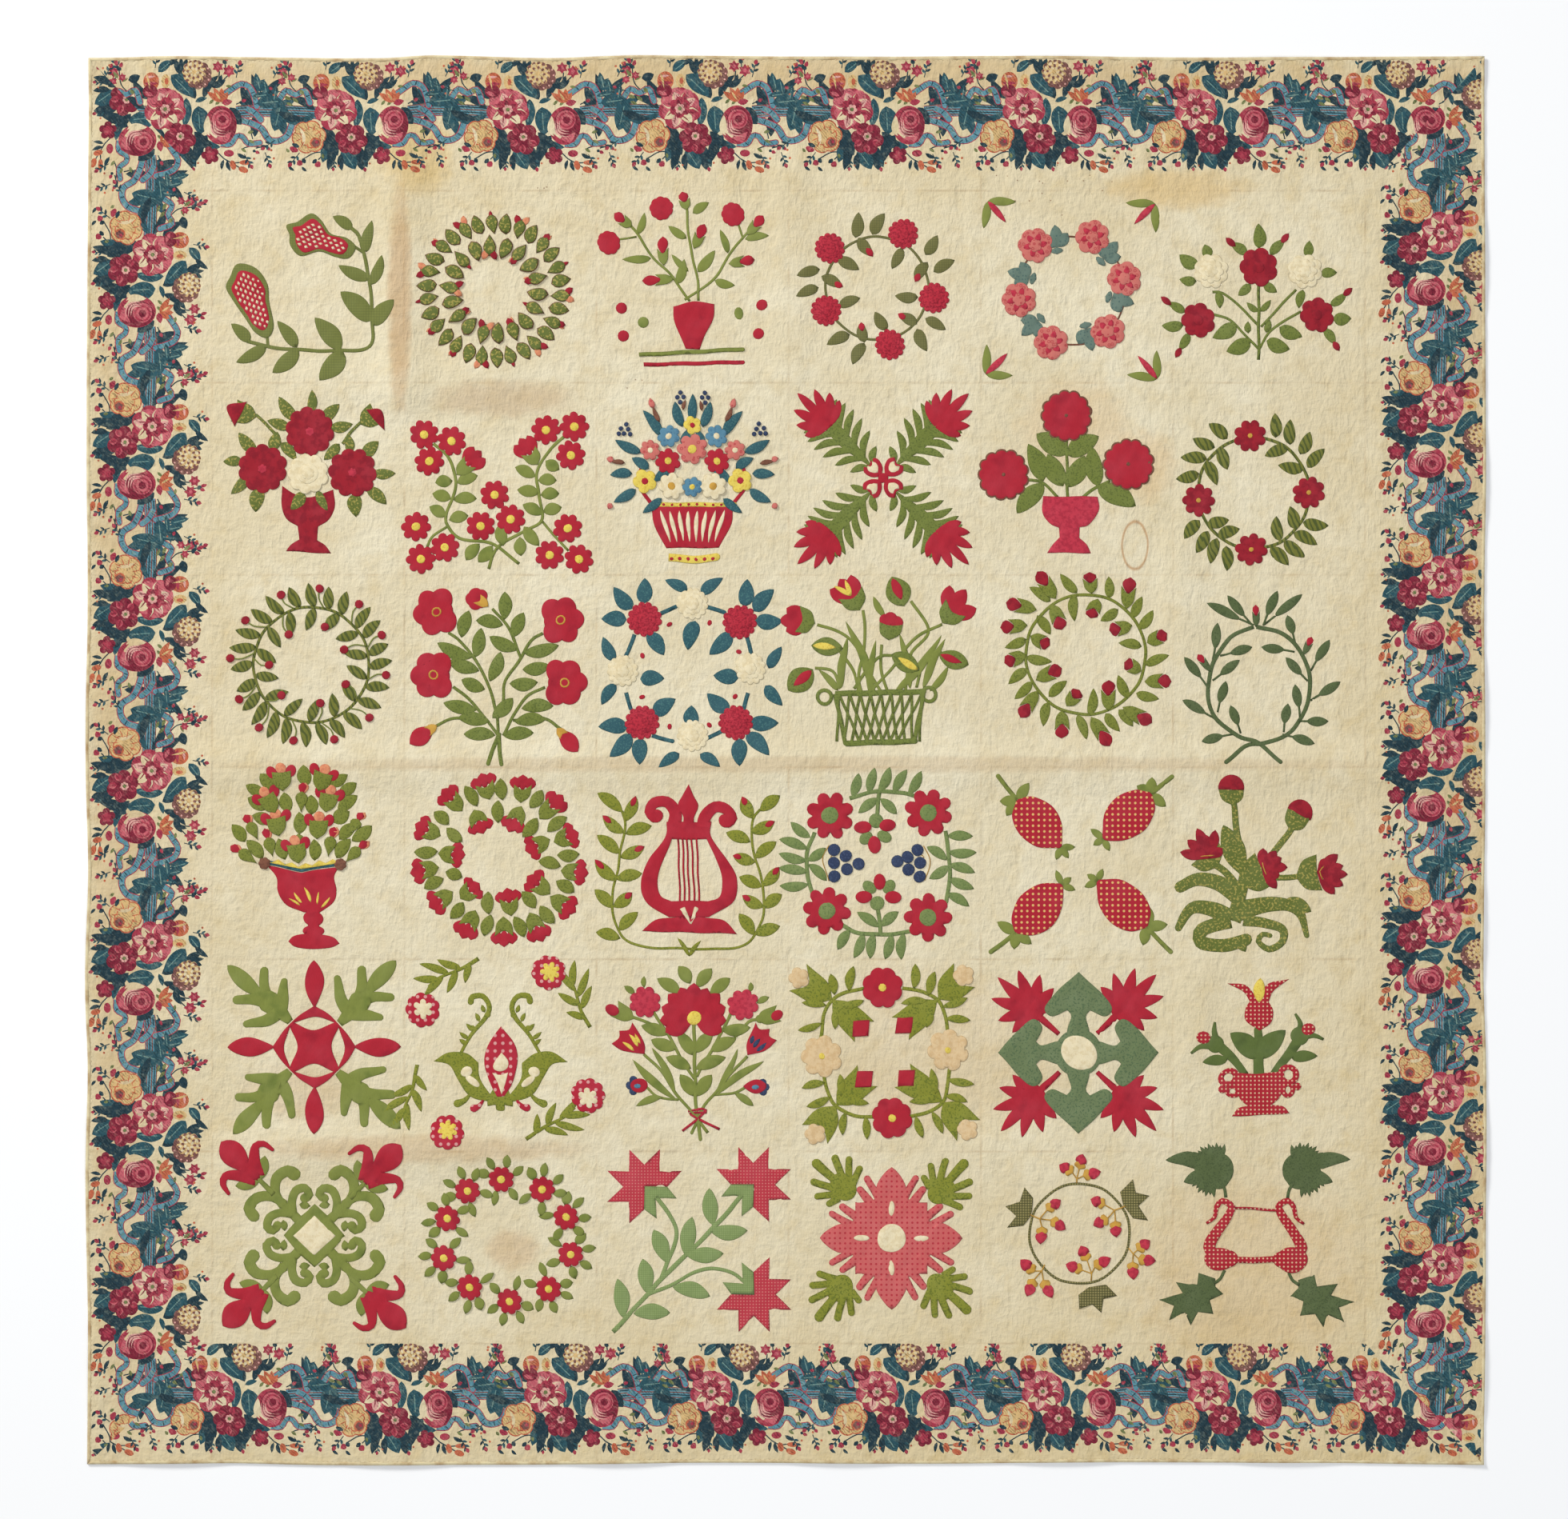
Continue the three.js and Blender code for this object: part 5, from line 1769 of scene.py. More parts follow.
# %% Flower basket
def flower_basket(b):
    """An arched basket of mixed flowers in a design of this notebook's own, the same on both sides."""
    foot = stem(15, -46 - 152j, 0 - 156j, 46 - 152j)
    bowl = outline([-78 - 52j, -74 - 92j, -50 - 134j], [-50 - 134j, 50 - 134j],
        [50 - 134j, 74 - 92j, 78 - 52j], [78 - 52j, -78 - 52j])
    b.sew("turkey_red", stem(7, -76 - 54j, -104 - 10j, -96 + 30j), stem(7, 76 - 54j, 104 - 10j, 96 + 30j),
        bowl)
    b.sew("cream", [leaf(x * 0.66 - 128j, x - 60j, 9, belly=0.6) for x in (-62, -44, -26, -9, 9, 26, 44, 62)])
    b.sew("yellow", foot, stem(9, -82 - 50j, 82 - 50j))
    b.sew("turkey_red", [disc(x - 155j, 4) for x in range(-40, 41, 16)] + [disc(x - 50j, 3)
                                                                           for x in range(-72, 73, 16)])
    b.sew("teal", mirrored(*leaf_rows((20, 100, 34, 150), (60, 84, 96, 132), (100, 50, 150, 76),
        (116, 10, 160, 8), (110, -20, 152, -46), (40, 20, 74, -6), (14, 60, 10, 96), (84, 20, 118, 40),
        (60, -38, 96, -66, 18), width=20)), leaf(108j, 164j, 18))
    for at, size, cloth, heart in ((58j, 30, "pink_print", "yellow"), (48 + 34j, 25, "turkey_red", "yellow"),
                                   (92 - 4j, 24, "yellow", "turkey_red"), (46 + 82j, 22, "blue", "cream"),
                                   (40 - 14j, 26, "cream", "gold"), (82 + 56j, 20, "pink_print", "cream"),
                                   (4 - 16j, 20, "blue", "yellow"), (4 + 104j, 18, "yellow", "turkey_red")):
        places = [at, -at.conjugate()] if at.real > 5 else [at.imag * 1j]
        flowers(b, cloth, size, 7 if cloth != "yellow" else 5, places, heart, 0.3, 0.24)
    b.sew("navy", mirrored(*[disc(at, 4.6)
                             for at in (124 + 96j, 132 + 88j, 138 + 98j, 128 + 106j, 142 + 88j, 120 + 86j,
                                                      24 + 148j, 18 + 158j, 30 + 158j, 24 + 167j)]))
    b.sew("brown", mirrored(*leaf_rows((64, 110, 76, 140, 10), (130, 30, 158, 34, 10),
        (18, 132, 14, 152, 8))))
    b.sew("pink_print", mirrored(*leaf_rows((74, 136, 82, 156, 12), (152, 36, 166, 40, 12),
        (156, -48, 164, -58, 12))))


sew_block(flower_basket, 2, 3)

# %% Feathered cross
def feathered_cross(b):
    """A folded cut: four hearts at the middle, and four feathered leaves with fringed red ends."""
    feathers = [leaf(26, 178, 28, belly=0.6)] + [
        leaf(root, root + polar(long, side * 52), 15, belly=0.6, bend=-0.13 * side)
        for root, long in ((26, 46), (48, 60), (70, 69), (92, 71), (114, 67), (136, 58)) for side in (1, -1)]
    fringe = [leaf(142, 148 + polar(86 - abs(turn) * 0.5, turn), 19, belly=0.6)
              for turn in range(-69, 70, 23)]
    heart = on_fold(5, 44, [0, 0.3 + 14j, 0.72 + 19j, 1.0 + 12j], [1.0 + 12j, 0.84 + 0j])
    inner = on_fold(15, 38, [0, 0.3 + 8j, 0.7 + 11j, 1.0 + 7j], [1.0 + 7j, 0.8 + 0j])
    slant = polar(1, 45)
    b.sew("fern_green", [part * slant - 3 for part in quarter_turns(*feathers)])
    b.sew("turkey_red", [part * slant - 3 for part in quarter_turns(*fringe)])
    b.sew("turkey_red", [part * slant - 3 + 2j for part in quarter_turns(heart)], disc(-3 + 2j, 10))
    b.sew("cream", [part * slant - 3 + 2j for part in quarter_turns(inner)])


sew_block(feathered_cross, 2, 4)

# %% Urn of flowers
def urn_of_flowers(b):
    """A printed urn with three scalloped flowers and eight broad leaves."""
    b.sew("fern_green", stem(6, -18 - 38j, -20 + 78j), stem(6, -38 - 35j, -66 - 8j, -98 + 0j),
        stem(6, 12 - 36j, 35 - 18j, 64 - 3j), leaf_rows((-22, 46, -78, 88, 42), (-18, 46, 42, 82, 40),
        (-64, -5, -94, 68, 37), (-26, -14, -57, 48, 38), (-20, -16, 16, 45, 38), (40, -14, 30, 61, 36),
        (-64, -10, -116, -66, 38), (40, -16, 115, -52, 42), belly=0.46))
    b.sew("rose_red", outline([-66 - 34j, 41 - 34j], [41 - 34j, 42 - 60j, 24 - 88j, 6 - 94j],
        [6 - 94j, 4 - 114j], [4 - 114j, 18 - 126j, 27 - 144j], [27 - 144j, -57 - 143j],
        [-57 - 143j, -46 - 126j, -34 - 113j], [-34 - 113j, -35 - 94j],
        [-35 - 94j, -52 - 86j, -66 - 66j, -66 - 34j]))
    places = [-20 + 122j, -142 + 8j, 100 + 28j]
    b.sew("brown", [petals(at, 51, 13, 0.1) for at in places])
    b.sew("turkey_red", [petals(at, 48, 13, 0.1) for at in places])
    b.sew("brown", [disc(at, 4) for at in places])


sew_block(urn_of_flowers, 2, 5)

# %% Ring with four flowers
def ring_with_four_flowers(b):
    """A stem ring with four eight-petalled flowers and groups of variegated leaves."""
    b.sew("vein_green", round_ring(-30 - 27j, 108, 6), leaf_rows((-80, 78, -117, 107), (-105, 60, -148, 79),
        (-120, 38, -171, 42), (-135, 10, -181, 0), (-95, 62, -80, 18), (-122, 35, -101, -12),
        (12, 80, 12, 128), (40, 65, 42, 115), (60, 48, 80, 92), (75, 22, 107, 58), (38, 60, -8, 45),
        (68, 20, 17, 26), (-135, -80, -164, -117), (-118, -100, -142, -143), (-100, -115, -114, -165),
        (-82, -130, -82, -178), (-120, -85, -77, -80), (-100, -112, -57, -96), (65, -85, 115, -90),
        (48, -105, 94, -127), (28, -120, 70, -152), (2, -132, 39, -168), (50, -97, 40, -52),
        (20, -120, 14, -72), width=24))
    flowers(b, "old_red", 32, 8, [-37 + 83j, 77 - 27j, -34 - 137j, -136 - 42j], "gold", 0.16, 0.24)


sew_block(ring_with_four_flowers, 2, 6)

# %% [markdown]
# ### The third row
# From left to right: wreaths of berries and buds, a bouquet, a blue wreath with gathered flowers, a
# lattice basket and a laurel. The lattice could be one cloth with many holes, but crossing strips are
# laid instead, as a sewer lays tape.


# %% Berry wreath
def berry_wreath(b):
    """Variegated leaves inside and outside a ring, with red berries on thin stalks between them."""
    centre = 6 + 12j
    b.sew("vein_green", round_ring(centre, 112, 5.5))
    tips = [0 + 170j, 40 + 164j, 75 + 154j, 120 + 124j, 140 + 98j, 155 + 53j, 163 + 20j, 157 - 33j, 142 - 72j,
        105 - 112j, 71 - 130j, 35 - 143j, -3 - 148j, -48 - 141j, -79 - 130j, -110 - 104j, -128 - 76j,
        -138 - 40j, -151 + 3j, -153 + 46j, -141 + 80j, -112 + 119j, -82 + 145j, -38 + 163j]
    around = [(tip, (tip - centre) / abs(tip - centre)) for tip in tips]
    b.sew("vein_green", [leaf(centre + way * np.exp(-0.1j) * 112, tip, 21, bend=0.05) for tip, way in around])
    b.sew("vein_green", [leaf(centre + polar(111, turn), centre + polar(68, turn + 13), 20)
                         for turn in range(8, 360, 26)])
    berries = [22 + 160j, 98 + 130j, 143 + 70j, 151 - 8j, 118 - 90j, 50 - 133j, -28 - 135j, -95 - 110j,
        -133 - 55j, -150 + 25j, -121 + 98j, -52 + 148j, 32 + 85j, 70 + 42j, 73 - 26j, 23 - 62j, -52 - 47j,
        -75 + 12j, -37 + 70j]
    for at in berries:
        way = (at - centre) / abs(at - centre)
        b.sew("leaf_green", stem(2.6, centre + way * np.exp(-0.12j) * 112, (at + centre + way * 112) / 2, at))
    b.sew("old_red", [disc(at, 8.5) for at in berries])


sew_block(berry_wreath, 3, 1)

# %% Poppies
def poppies(b):
    """Four large poppies with gold rings on curling leafy stems."""
    b.sew("fern_green", stem(8, -2 - 120j, -24 - 180j), stem(8, -4 - 120j, 2 - 180j),
        stem(6, -5 - 125j, -50 - 65j, -92 - 30j), stem(6, -5 - 90j, -30 - 10j, -75 + 55j, -100 + 74j),
        stem(6, 5 - 125j, 45 - 55j, 87 - 32j), stem(6, 5 - 60j, 10 - 20j, 40 + 25j, 60 + 60j, 82 + 74j),
        stem(6, 40 + 25j, 15 + 85j, -15 + 120j), stem(6, -25 - 98j, -90 - 92j, -127 - 107j),
        stem(6, 25 - 95j, 85 - 92j, 117 - 112j), stem(6, -5 - 125j, -5 - 88j),
        leaf_rows((8, 100, 8, 154), (25, 65, 46, 113), (5, 90, -48, 98), (-75, 65, -61, 118),
        (-50, 25, -37, 83), (35, 40, -21, 67), (45, 35, 113, 49), (-55, 25, -123, 54), (-20, -20, 1, 38),
        (-40, 0, -100, 21), (42, 3, 96, 10), (-30, -35, -76, -17), (18, -25, 73, -22), (-45, -75, -110, -61),
        (-15, -92, 24, -52), (40, -72, 103, -67), (-20, -98, -83, -91), (28, -98, 88, -94),
        (-10, -125, -71, -122), (5, -125, 65, -120), width=27, belly=0.5))
    for at, way in ((-122 + 115j, 1 + 0.2j), (-128 - 8j, 1), (115 + 98j, -1 - 0.1j), (122 - 22j, -1)):
        lobes = [disc(at + way * polar(22, turn), 25, 22, turn) for turn in (60, 120, 180, 240, 300)]
        b.sew("turkey_red", lobes, disc(at, 30))
        b.sew("gold", (disc(at - way * 2, 10), disc(at - way * 2, 6)))
    b.sew("turkey_red", petals(-45 + 140j, 22, 5, 0.12), leaf(-124 - 106j, -176 - 142j, 34, belly=0.6),
        leaf(112 - 112j, 150 - 156j, 34, belly=0.6))
    b.sew("gold", cup(-22 + 124j, -46 + 142j, 22), cup(-122 - 104j, -142 - 118j, 20),
        cup(110 - 110j, 126 - 128j, 20))


sew_block(poppies, 3, 2)

# %% Squared wreath
def squared_wreath(b):
    """Gathered red flowers at the corners, gathered cream ones between, teal bars and leaves."""
    bars = [(-62, 112, -32, 124), (-112, 70, -128, 30), (27, 125, 62, 113), (105, 65, 116, 25),
        (-128, -42, -120, -72), (108, -42, 98, -75), (-78, -125, -38, -136), (27, -130, 55, -118)]
    b.sew("teal", [stem(8, x + 1j * y, u + 1j * v) for x, y, u, v in bars], leaf_rows(
        (-95, 130, -93, 180), (-118, 120, -152, 162), (-127, 100, -176, 100), (-85, 75, -56, 30),
        (-10, 155, -54, 177, 22),
        (15, 150, 60, 180, 24), (5, 98, -9, 41), (-150, 20, -174, 66, 24), (-148, -25, -177, -65, 24),
        (-102, -15, -54, -15),
        (88, -15, 40, -8), (148, 5, 172, 47, 24), (140, -28, 175, -67, 24), (0, -108, -2, -67),
        (-25, -160, -66, -186, 22),
        (15, -160, 54, -186, 22), (100, 125, 106, 179), (118, 115, 158, 158), (122, 97, 174, 97),
        (75, 75, 33, 31),
        (-125, -108, -182, -108), (-118, -122, -160, -166), (-100, -130, -102, -182), (-75, -85, -33, -53),
        (110, -100, 166, -100), (105, -120, 148, -163), (92, -130, 92, -184), (70, -78, 28, -43), width=31,
        belly=0.4))
    b.sew("turkey_red", [disc(at, 6, 4.6, turn) for turn, at in zip(range(30, 360, 40), (
        -45 + 90j, 33 + 93j, -97 + 30j, 90 + 37j, -97 - 50j, 83 - 50j, -45 - 107j, 33 - 104j))])
    gathered(b, "ruched_red", 34, [-93 + 100j, 92 + 95j, -98 - 100j, 84 - 100j])
    gathered(b, "cream", 31, [130j, -135 + 0j, 112 + 5j, -125j])


sew_block(squared_wreath, 3, 3)

# %% Green basket
def green_basket(b):
    """A latticed green basket of tulips and striped buds."""
    b.sew("leaf_green", stem(6, -130 + 90j, -70 + 65j, -30 + 0j, -5 - 45j),
        stem(6, -42 + 118j, -38 + 60j, -50 - 10j, -45 - 45j), stem(6, 50 + 135j, 85 + 80j, 50 + 30j,
        40 - 45j), stem(6, 112 + 90j, 60 + 65j, 10 + 0j, -35 - 45j), stem(6, -5 + 52j, -8 + 10j, 5 - 40j),
        stem(6, -88 + 40j, -60 + 0j, -52 - 38j), stem(6, 110 + 38j, 75 + 20j, 62 - 32j),
        stem(6, -135 + 5j, -100 + 0j, -88 - 32j), stem(6, 18 + 30j, -15 + 25j, -60 - 35j),
        leaf_rows((-20, -45, -76, 97, 17), (-85, -34, -71, 67, 16), (-90, -38, -128, 2, 14),
        (0, 105, -22, 144, 14), (20, -42, 110, 69, 17), (75, -34, 117, 62, 16), (50, -34, 28, 72, 15),
        (-30, -44, -16, 60, 14), (88, -40, 124, 10, 14)))
    b.sew("fern_green", stem(11, -96 - 44j, 76 - 40j), stem(11, -76 - 140j, 58 - 136j),
          (disc(-116 - 50j, 17), disc(-116 - 50j, 10)),
          (disc(86 - 46j, 17), disc(86 - 46j, 10)), [stem(5.5, x - 45j, 0.72 * x - 7 + 22 * way - 137j)
                                                    for way in (-1, 1) for x in range(-88, 76, 20)],
          stem(8, -96 - 44j, -76 - 140j), stem(8, 76 - 42j, 57 - 137j))
    for base, tip, ends in ((-134 + 93j, -164 + 99j, (-190 + 122j, -204 + 98j, -192 + 76j)),
                            (-48 + 118j, -64 + 146j, (-66 + 186j, -88 + 178j, -106 + 158j)),
                            (112 + 92j, 134 + 118j, (126 + 166j, 158 + 158j, 178 + 122j))):
        b.sew("turkey_red", [leaf(base * 0.7 + tip * 0.3, end, 30, belly=0.62) for end in ends])
        if ends[0].real == -66:
            b.sew("yellow", [leaf(tip, end, 10) for end in (-78 + 176j, -98 + 164j)])
        b.sew("fern_green", cup(base, tip + (tip - base) * 0.2, 52, 0.3))
    for at, turn, wide, cloth in ((26 + 154j, 112, 50, "turkey_red"), (-112 + 47j, 175, 36, "yellow"),
                                  (40 + 17j, -30, 38, "yellow"),
                                  (134 + 22j, 160, 36, "turkey_red"), (-163 - 17j, 40, 50, "turkey_red")):
        b.sew("fern_green", leaf(at - polar(31, turn), at + polar(31, turn), wide, belly=0.5))
        b.sew(cloth, leaf(at - polar(18, turn), at + polar(28, turn), wide * 0.4, belly=0.55))
    b.sew("turkey_red", [disc(at, 13) for at in (2 + 98j, 12 + 102j, 23 + 94j)])
    b.sew("fern_green", cup(8 + 60j, 12 + 92j, 46, 0.1))


sew_block(green_basket, 3, 4)

# %% Wreath of long buds
def wreath_of_long_buds(b):
    """A ring with long red-tipped buds and plain leaves, outside and in."""
    b.sew("olive", round_ring(17 + 32j, 116, 6), leaf_rows((-50, 135, -92, 162), (0, 150, -32, 189),
        (62, 140, 62, 183), (108, 102, 127, 144), (122, 80, 147, 118), (133, 12, 178, 30),
        (115, -42, 160, -55), (80, -75, 109, -107), (55, -82, 84, -117), (2, -85, 18, -132),
        (-55, -60, -66, -107), (-88, -20, -120, -54), (-95, 5, -133, -26), (-98, 62, -140, 45),
        (-5, 148, -5, 96), (80, 120, 46, 96), (125, 47, 80, 55), (100, -52, 79, -8), (25, -85, 33, -33),
        (-55, -50, -18, -18), (-98, 28, -48, 17), (-78, 108, -50, 70), width=20))
    buds(b, (-40, 140, -77, 192), (28, 150, 25, 192), (95, 120, 104, 182), (-78, 118, -138, 133),
        (-95, 88, -148, 85), (-98, 32, -140, 15), (-75, -38, -110, -90), (-28, -75, -30, -131),
        (28, -88, 63, -146), (88, -70, 145, -101), (130, -20, 183, -20), (135, 55, 175, 73),
        (-48, 130, -29, 79), (40, 140, 27, 102), (108, 88, 62, 79), (-90, 68, -52, 49), (125, 0, 92, 16),
        (-80, -18, -29, 6), (-20, -68, 5, -37), (60, -78, 62, -17), width=29, calyx="olive", cloth="old_red",
        lobes=1, share=0.7)


sew_block(wreath_of_long_buds, 3, 5)

# %% Spruce wreath
def spruce_wreath(b):
    """A loose wreath of long-stalked spruce-green leaves with three red-tipped buds."""
    rows = ((-30, 88, -121, 132), (-35, 90, -80, 146), (-12, 88, 16, 156), (-10, 90, 64, 148),
        (-108, 22, -99, 93), (-95, 30, -32, 46), (-110, -18, -57, 21), (-120, -30, -164, 28),
        (-100, -80, -84, -19), (-105, -92, -168, -56), (-55, -120, -74, -67), (-70, -122, -131, -136),
        (50, 55, 36, 108), (50, 37, -15, 47), (80, 0, 117, 60), (75, -20, 32, 26), (80, -58, 138, -20),
        (60, -90, 51, -25), (55, -98, 115, -97), (28, -118, 36, -62), (25, -122, 88, -140))
    b.sew("spruce", stem(8, -30 + 85j, -75 + 65j, -108 + 15j, -118 - 40j, -105 - 90j, -60 - 125j, -20 - 140j,
                         22 - 176j),
          stem(8, -25 + 85j, 20 + 75j, 60 + 40j, 78 - 10j, 75 - 60j, 45 - 115j, -10 - 140j, -45 - 145j,
               -84 - 176j),
          [leaf(0.72 * (x + 1j * y) + 0.28 * (u + 1j * v), u + 1j * v, 19, belly=0.5) for x, y, u, v in rows],
          [stem(4, x + 1j * y, 0.65 * (x + 1j * y) + 0.35 * (u + 1j * v)) for x, y, u, v in rows])
    buds(b, (-26, 84, -25, 128), (-112, -2, -138, 32), (68, 32, 82, 67), width=15, lobes=1, calyx="spruce",
        share=0.7)


sew_block(spruce_wreath, 3, 6)

# %% [markdown]
# ### The fourth row
# From left to right: a goblet, a wreath of buds, a lyre, grapes and flowers, four strawberries and
# thistles. The lyre's frame is an outline with its opening as a hole, so that the muslin shows between
# the strings.


# %% Goblet of buds
def goblet_of_buds(b):
    """A red goblet with a striped rim under a dome of leaves and three-lobed buds."""
    b.sew("olive", leaf_rows((-86, 10, -120, 44, 25), (-44, 6, -58, 48), (12, 4, 12, 47),
        (54, 10, 82, 48, 27), (-122, 40, -148, 76), (-68, 84, -108, 92), (-16, 56, -18, 99, 27),
        (60, 46, 92, 78), (84, 43, 124, 72, 27), (48, 78, 81, 101, 29), (-82, 103, -118, 127, 27),
        (-38, 98, -46, 138, 27), (6, 94, 6, 133, 27), (58, 100, 95, 132), (58, 134, 95, 156, 23),
        (-84, 134, -120, 152, 23), (-68, 142, -93, 173), (-4, 148, -8, 190, 29), (38, 150, 78, 171, 23),
        (-14, 30, -18, 58), width=25, belly=0.48))
    for x, y, u, v in ((-98, 0, -150, 34), (38, 12, 50, 70), (72, 2, 114, 42), (-68, 12, -84, 68),
                       (-98, 45, -122, 94),
                       (80, 58, 106, 98), (-14, 98, -10, 156)):
        base, tip = x + 1j * y, u + 1j * v
        b.sew("peach", leaf(base * 0.4 + tip * 0.6 + 4, tip + 5, 15, belly=0.6))
        b.sew("turkey_red", leaf(base * 0.42 + tip * 0.58, tip, 17, belly=0.65))
        b.sew("olive", leaf(base, base * 0.3 + tip * 0.7, 24, belly=0.68))
    for x, y, turn in ((-18, 0, 100), (-56, 52, 100), (18, 46, 86), (-64, 98, 118), (34, 98, 78),
                       (-48, 140, 96), (20, 140, 72)):
        base = x + 1j * y
        b.sew("peach", disc(base + polar(44, turn), 11))
        b.sew("turkey_red", [disc(base + polar(42, turn + lean), 12.5, 10, turn + lean)
                             for lean in (27, -27)])
        b.sew("olive", cup(base, base + polar(38, turn), 38, 0.05))
    b.sew("turkey_red", outline([-80 - 4j, -12 - 18j], [-12 - 18j, 60 - 6j],
        [60 - 6j, 51 - 25j, 55 - 52j, 48 - 76j, 22 - 96j], [22 - 96j, -8 - 96j],
        [-8 - 96j, -42 - 80j, -59 - 54j, -62 - 28j, -80 - 4j]), disc(10 - 107j, 20, 15),
        disc(10 - 131j, 21, 11), stem(22, 10 - 90j, 10 - 140j),
        outline([-38 - 152j, -26 - 141j, 10 - 136j, 46 - 143j, 61 - 156j],
        [61 - 156j, 40 - 165j, -20 - 164j, -38 - 152j]))
    b.sew("teal", outline([-82 - 2j, -12 - 17j], [-12 - 17j, 62 - 4j], [62 - 4j, 60 + 4j],
        [60 + 4j, -12 - 8j], [-12 - 8j, -80 + 6j], [-80 + 6j, -82 - 2j]))
    zigzag = [x + 1j * (2 - 9 * math.exp(-((x + 12) / 40) ** 2) + 7 * (k % 2))
              for k, x in enumerate(range(60, -84, -13))]
    b.sew("yellow", np.array([-82 + 3j, -12 - 11j, 62 + 1j] + zigzag))
    b.sew("yellow", leaf_rows((-14, -83, -38, -67, 5), (-10, -79, -29, -54, 6), (6, -77, -9, -46, 7),
        (18, -80, 20, -55, 5), (25, -86, 43, -63, 6)))
    b.sew("brown", petals(-84 + 0j, 12, 7, 0.15), petals(62 - 2j, 12, 7, 0.15))


sew_block(goblet_of_buds, 4, 1)

# %% Bud and leaf wreath
def bud_and_leaf_wreath(b):
    """Green cups with three red petals, by turns with leaves, in an outer and an inner ring."""
    rows = [(-20, 122, -38, 175), (40, 116, 45, 172), (76, 86, 121, 132), (103, 40, 152, 60),
        (116, -14, 171, -20), (96, -64, 146, -96), (57, -96, 82, -152), (6, -103, 8, -162),
        (-48, -90, -74, -146), (-91, -55, -139, -86), (-119, -8, -175, -19), (-116, 52, -166, 76),
        (-74, 101, -113, 144), (-52, 104, -32, 56), (42, 110, 16, 60), (96, 46, 48, 24), (97, -60, 52, -24),
        (22, -102, 12, -48), (-77, -70, -41, -38), (-120, 18, -67, 16)]
    buds(b, *rows, width=36, calyx="olive", share=0.66)
    b.sew("olive", leaf_rows((-45, 110, -68, 150), (5, 122, 0, 164), (58, 106, 81, 142), (90, 61, 130, 89),
        (110, 15, 154, 18), (108, -34, 144, -57), (76, -83, 106, -116), (27, -102, 46, -144),
        (-18, -100, -31, -142), (-71, -76, -97, -108), (-110, -29, -147, -50), (-120, 22, -167, 22),
        (-99, 74, -128, 100), (-5, 78, -3, 122), (43, 50, 72, 88), (73, 4, 117, -6), (68, -88, 41, -54),
        (-22, -100, -24, -54), (-74, -28, -107, -16), (-74, 42, -104, 68), width=25, belly=0.5))


sew_block(bud_and_leaf_wreath, 4, 2)

# %% Lyre and branches
def lyre_and_branches(b):
    """A red lyre with scroll horns, five strings and a heart cut in its foot, between two leafy branches."""
    left = [(-135, 100, -185, 136), (-131, 56, -78, 73), (-140, 18, -185, 54), (-148, -32, -98, -19),
        (-155, -88, -190, -50), (-142, -130, -106, -94), (-140, -145, -188, -134)]
    right = [(130, 100, 170, 132), (112, 40, 64, 60), (122, 10, 162, 42), (134, -46, 90, -27),
        (138, -88, 174, -60), (120, -140, 90, -97), (122, -140, 170, -121)]
    budded = [(-131, 80, -110, 130), (-133, 58, -174, 92), (-140, 10, -93, 33), (-146, -35, -190, 7),
        (-154, -86, -116, -56), (118, 85, 95, 130), (112, 58, 160, 82), (122, 2, 78, 15), (136, -45, 168, -8),
        (137, -86, 96, -62)]
    b.sew("moss", stem(5, -136 + 102j, -130 + 80j, -133 + 55j, -140 + 20j, -146 - 20j, -155 - 60j, -155 - 92j,
        -145 - 125j, -130 - 148j, -95 - 162j, -30 - 165j, 60 - 166j, 100 - 158j, 120 - 140j, 135 - 110j,
        138 - 80j, 137 - 50j, 128 - 10j, 121 + 12j, 114 + 50j, 118 + 85j, 131 + 104j),
        leaf_rows(*left, *right, *budded, width=24, belly=0.5),
        leaf_rows((-7, -180, -29, -144, 9), (-7, -180, 17, -149, 9)))
    b.sew("turkey_red", [leaf(0.42 * (x + 1j * y) + 0.58 * (u + 1j * v), u + 1j * v, 12)
                         for x, y, u, v in budded])
    inner = outline([-40 + 46j, 28 + 46j], [28 + 46j, 44 + 10j, 58 - 30j, 52 - 64j, 30 - 73j],
        [30 - 73j, -40 - 73j], [-40 - 73j, -62 - 62j, -68 - 30j, -54 + 10j, -40 + 46j])
    b.sew("turkey_red", (outline([-50 + 80j, 36 + 80j],
                                 [36 + 80j, 36 + 52j, 66 + 8j, 87 - 34j, 78 - 76j, 32 - 104j],
                                 [32 - 104j, -46 - 104j],
                                 [-46 - 104j, -88 - 78j, -100 - 34j, -84 + 8j, -52 + 52j, -50 + 80j]),
                         inner),
          stem(26, -36 + 70j, -34 + 98j, -50 + 119j, -74 + 117j, -84 + 100j, -74 + 88j, end=18),
          disc(-70 + 92j, 13),
          stem(26, 20 + 70j, 24 + 90j, 44 + 108j, 66 + 104j, 78 + 88j, 68 + 78j, end=18), disc(63 + 82j, 13),
          on_fold(-8 + 60j, -8 + 152j, [0 + 0j, 0.1 + 12j, 0.3 + 10j, 0.56 + 20j, 0.76 + 11j, 1 + 0j]),
          outline([-97 - 132j, -70 - 109j, -30 - 104j], [-30 - 104j, 22 - 104j],
                  [22 - 104j, 62 - 112j, 86 - 137j],
                  [86 - 137j, -97 - 132j]),
          [stem(3.6, top + 50j, low - 76j)
           for top, low in ((-28, -24), (-19, -15), (-11, -6), (-2, 4), (8, 13))])
    b.sew("cream", stem(12, -20 - 86j, -4 - 118j, end=3), stem(12, 10 - 86j, -4 - 118j, end=3))


sew_block(lyre_and_branches, 4, 3)

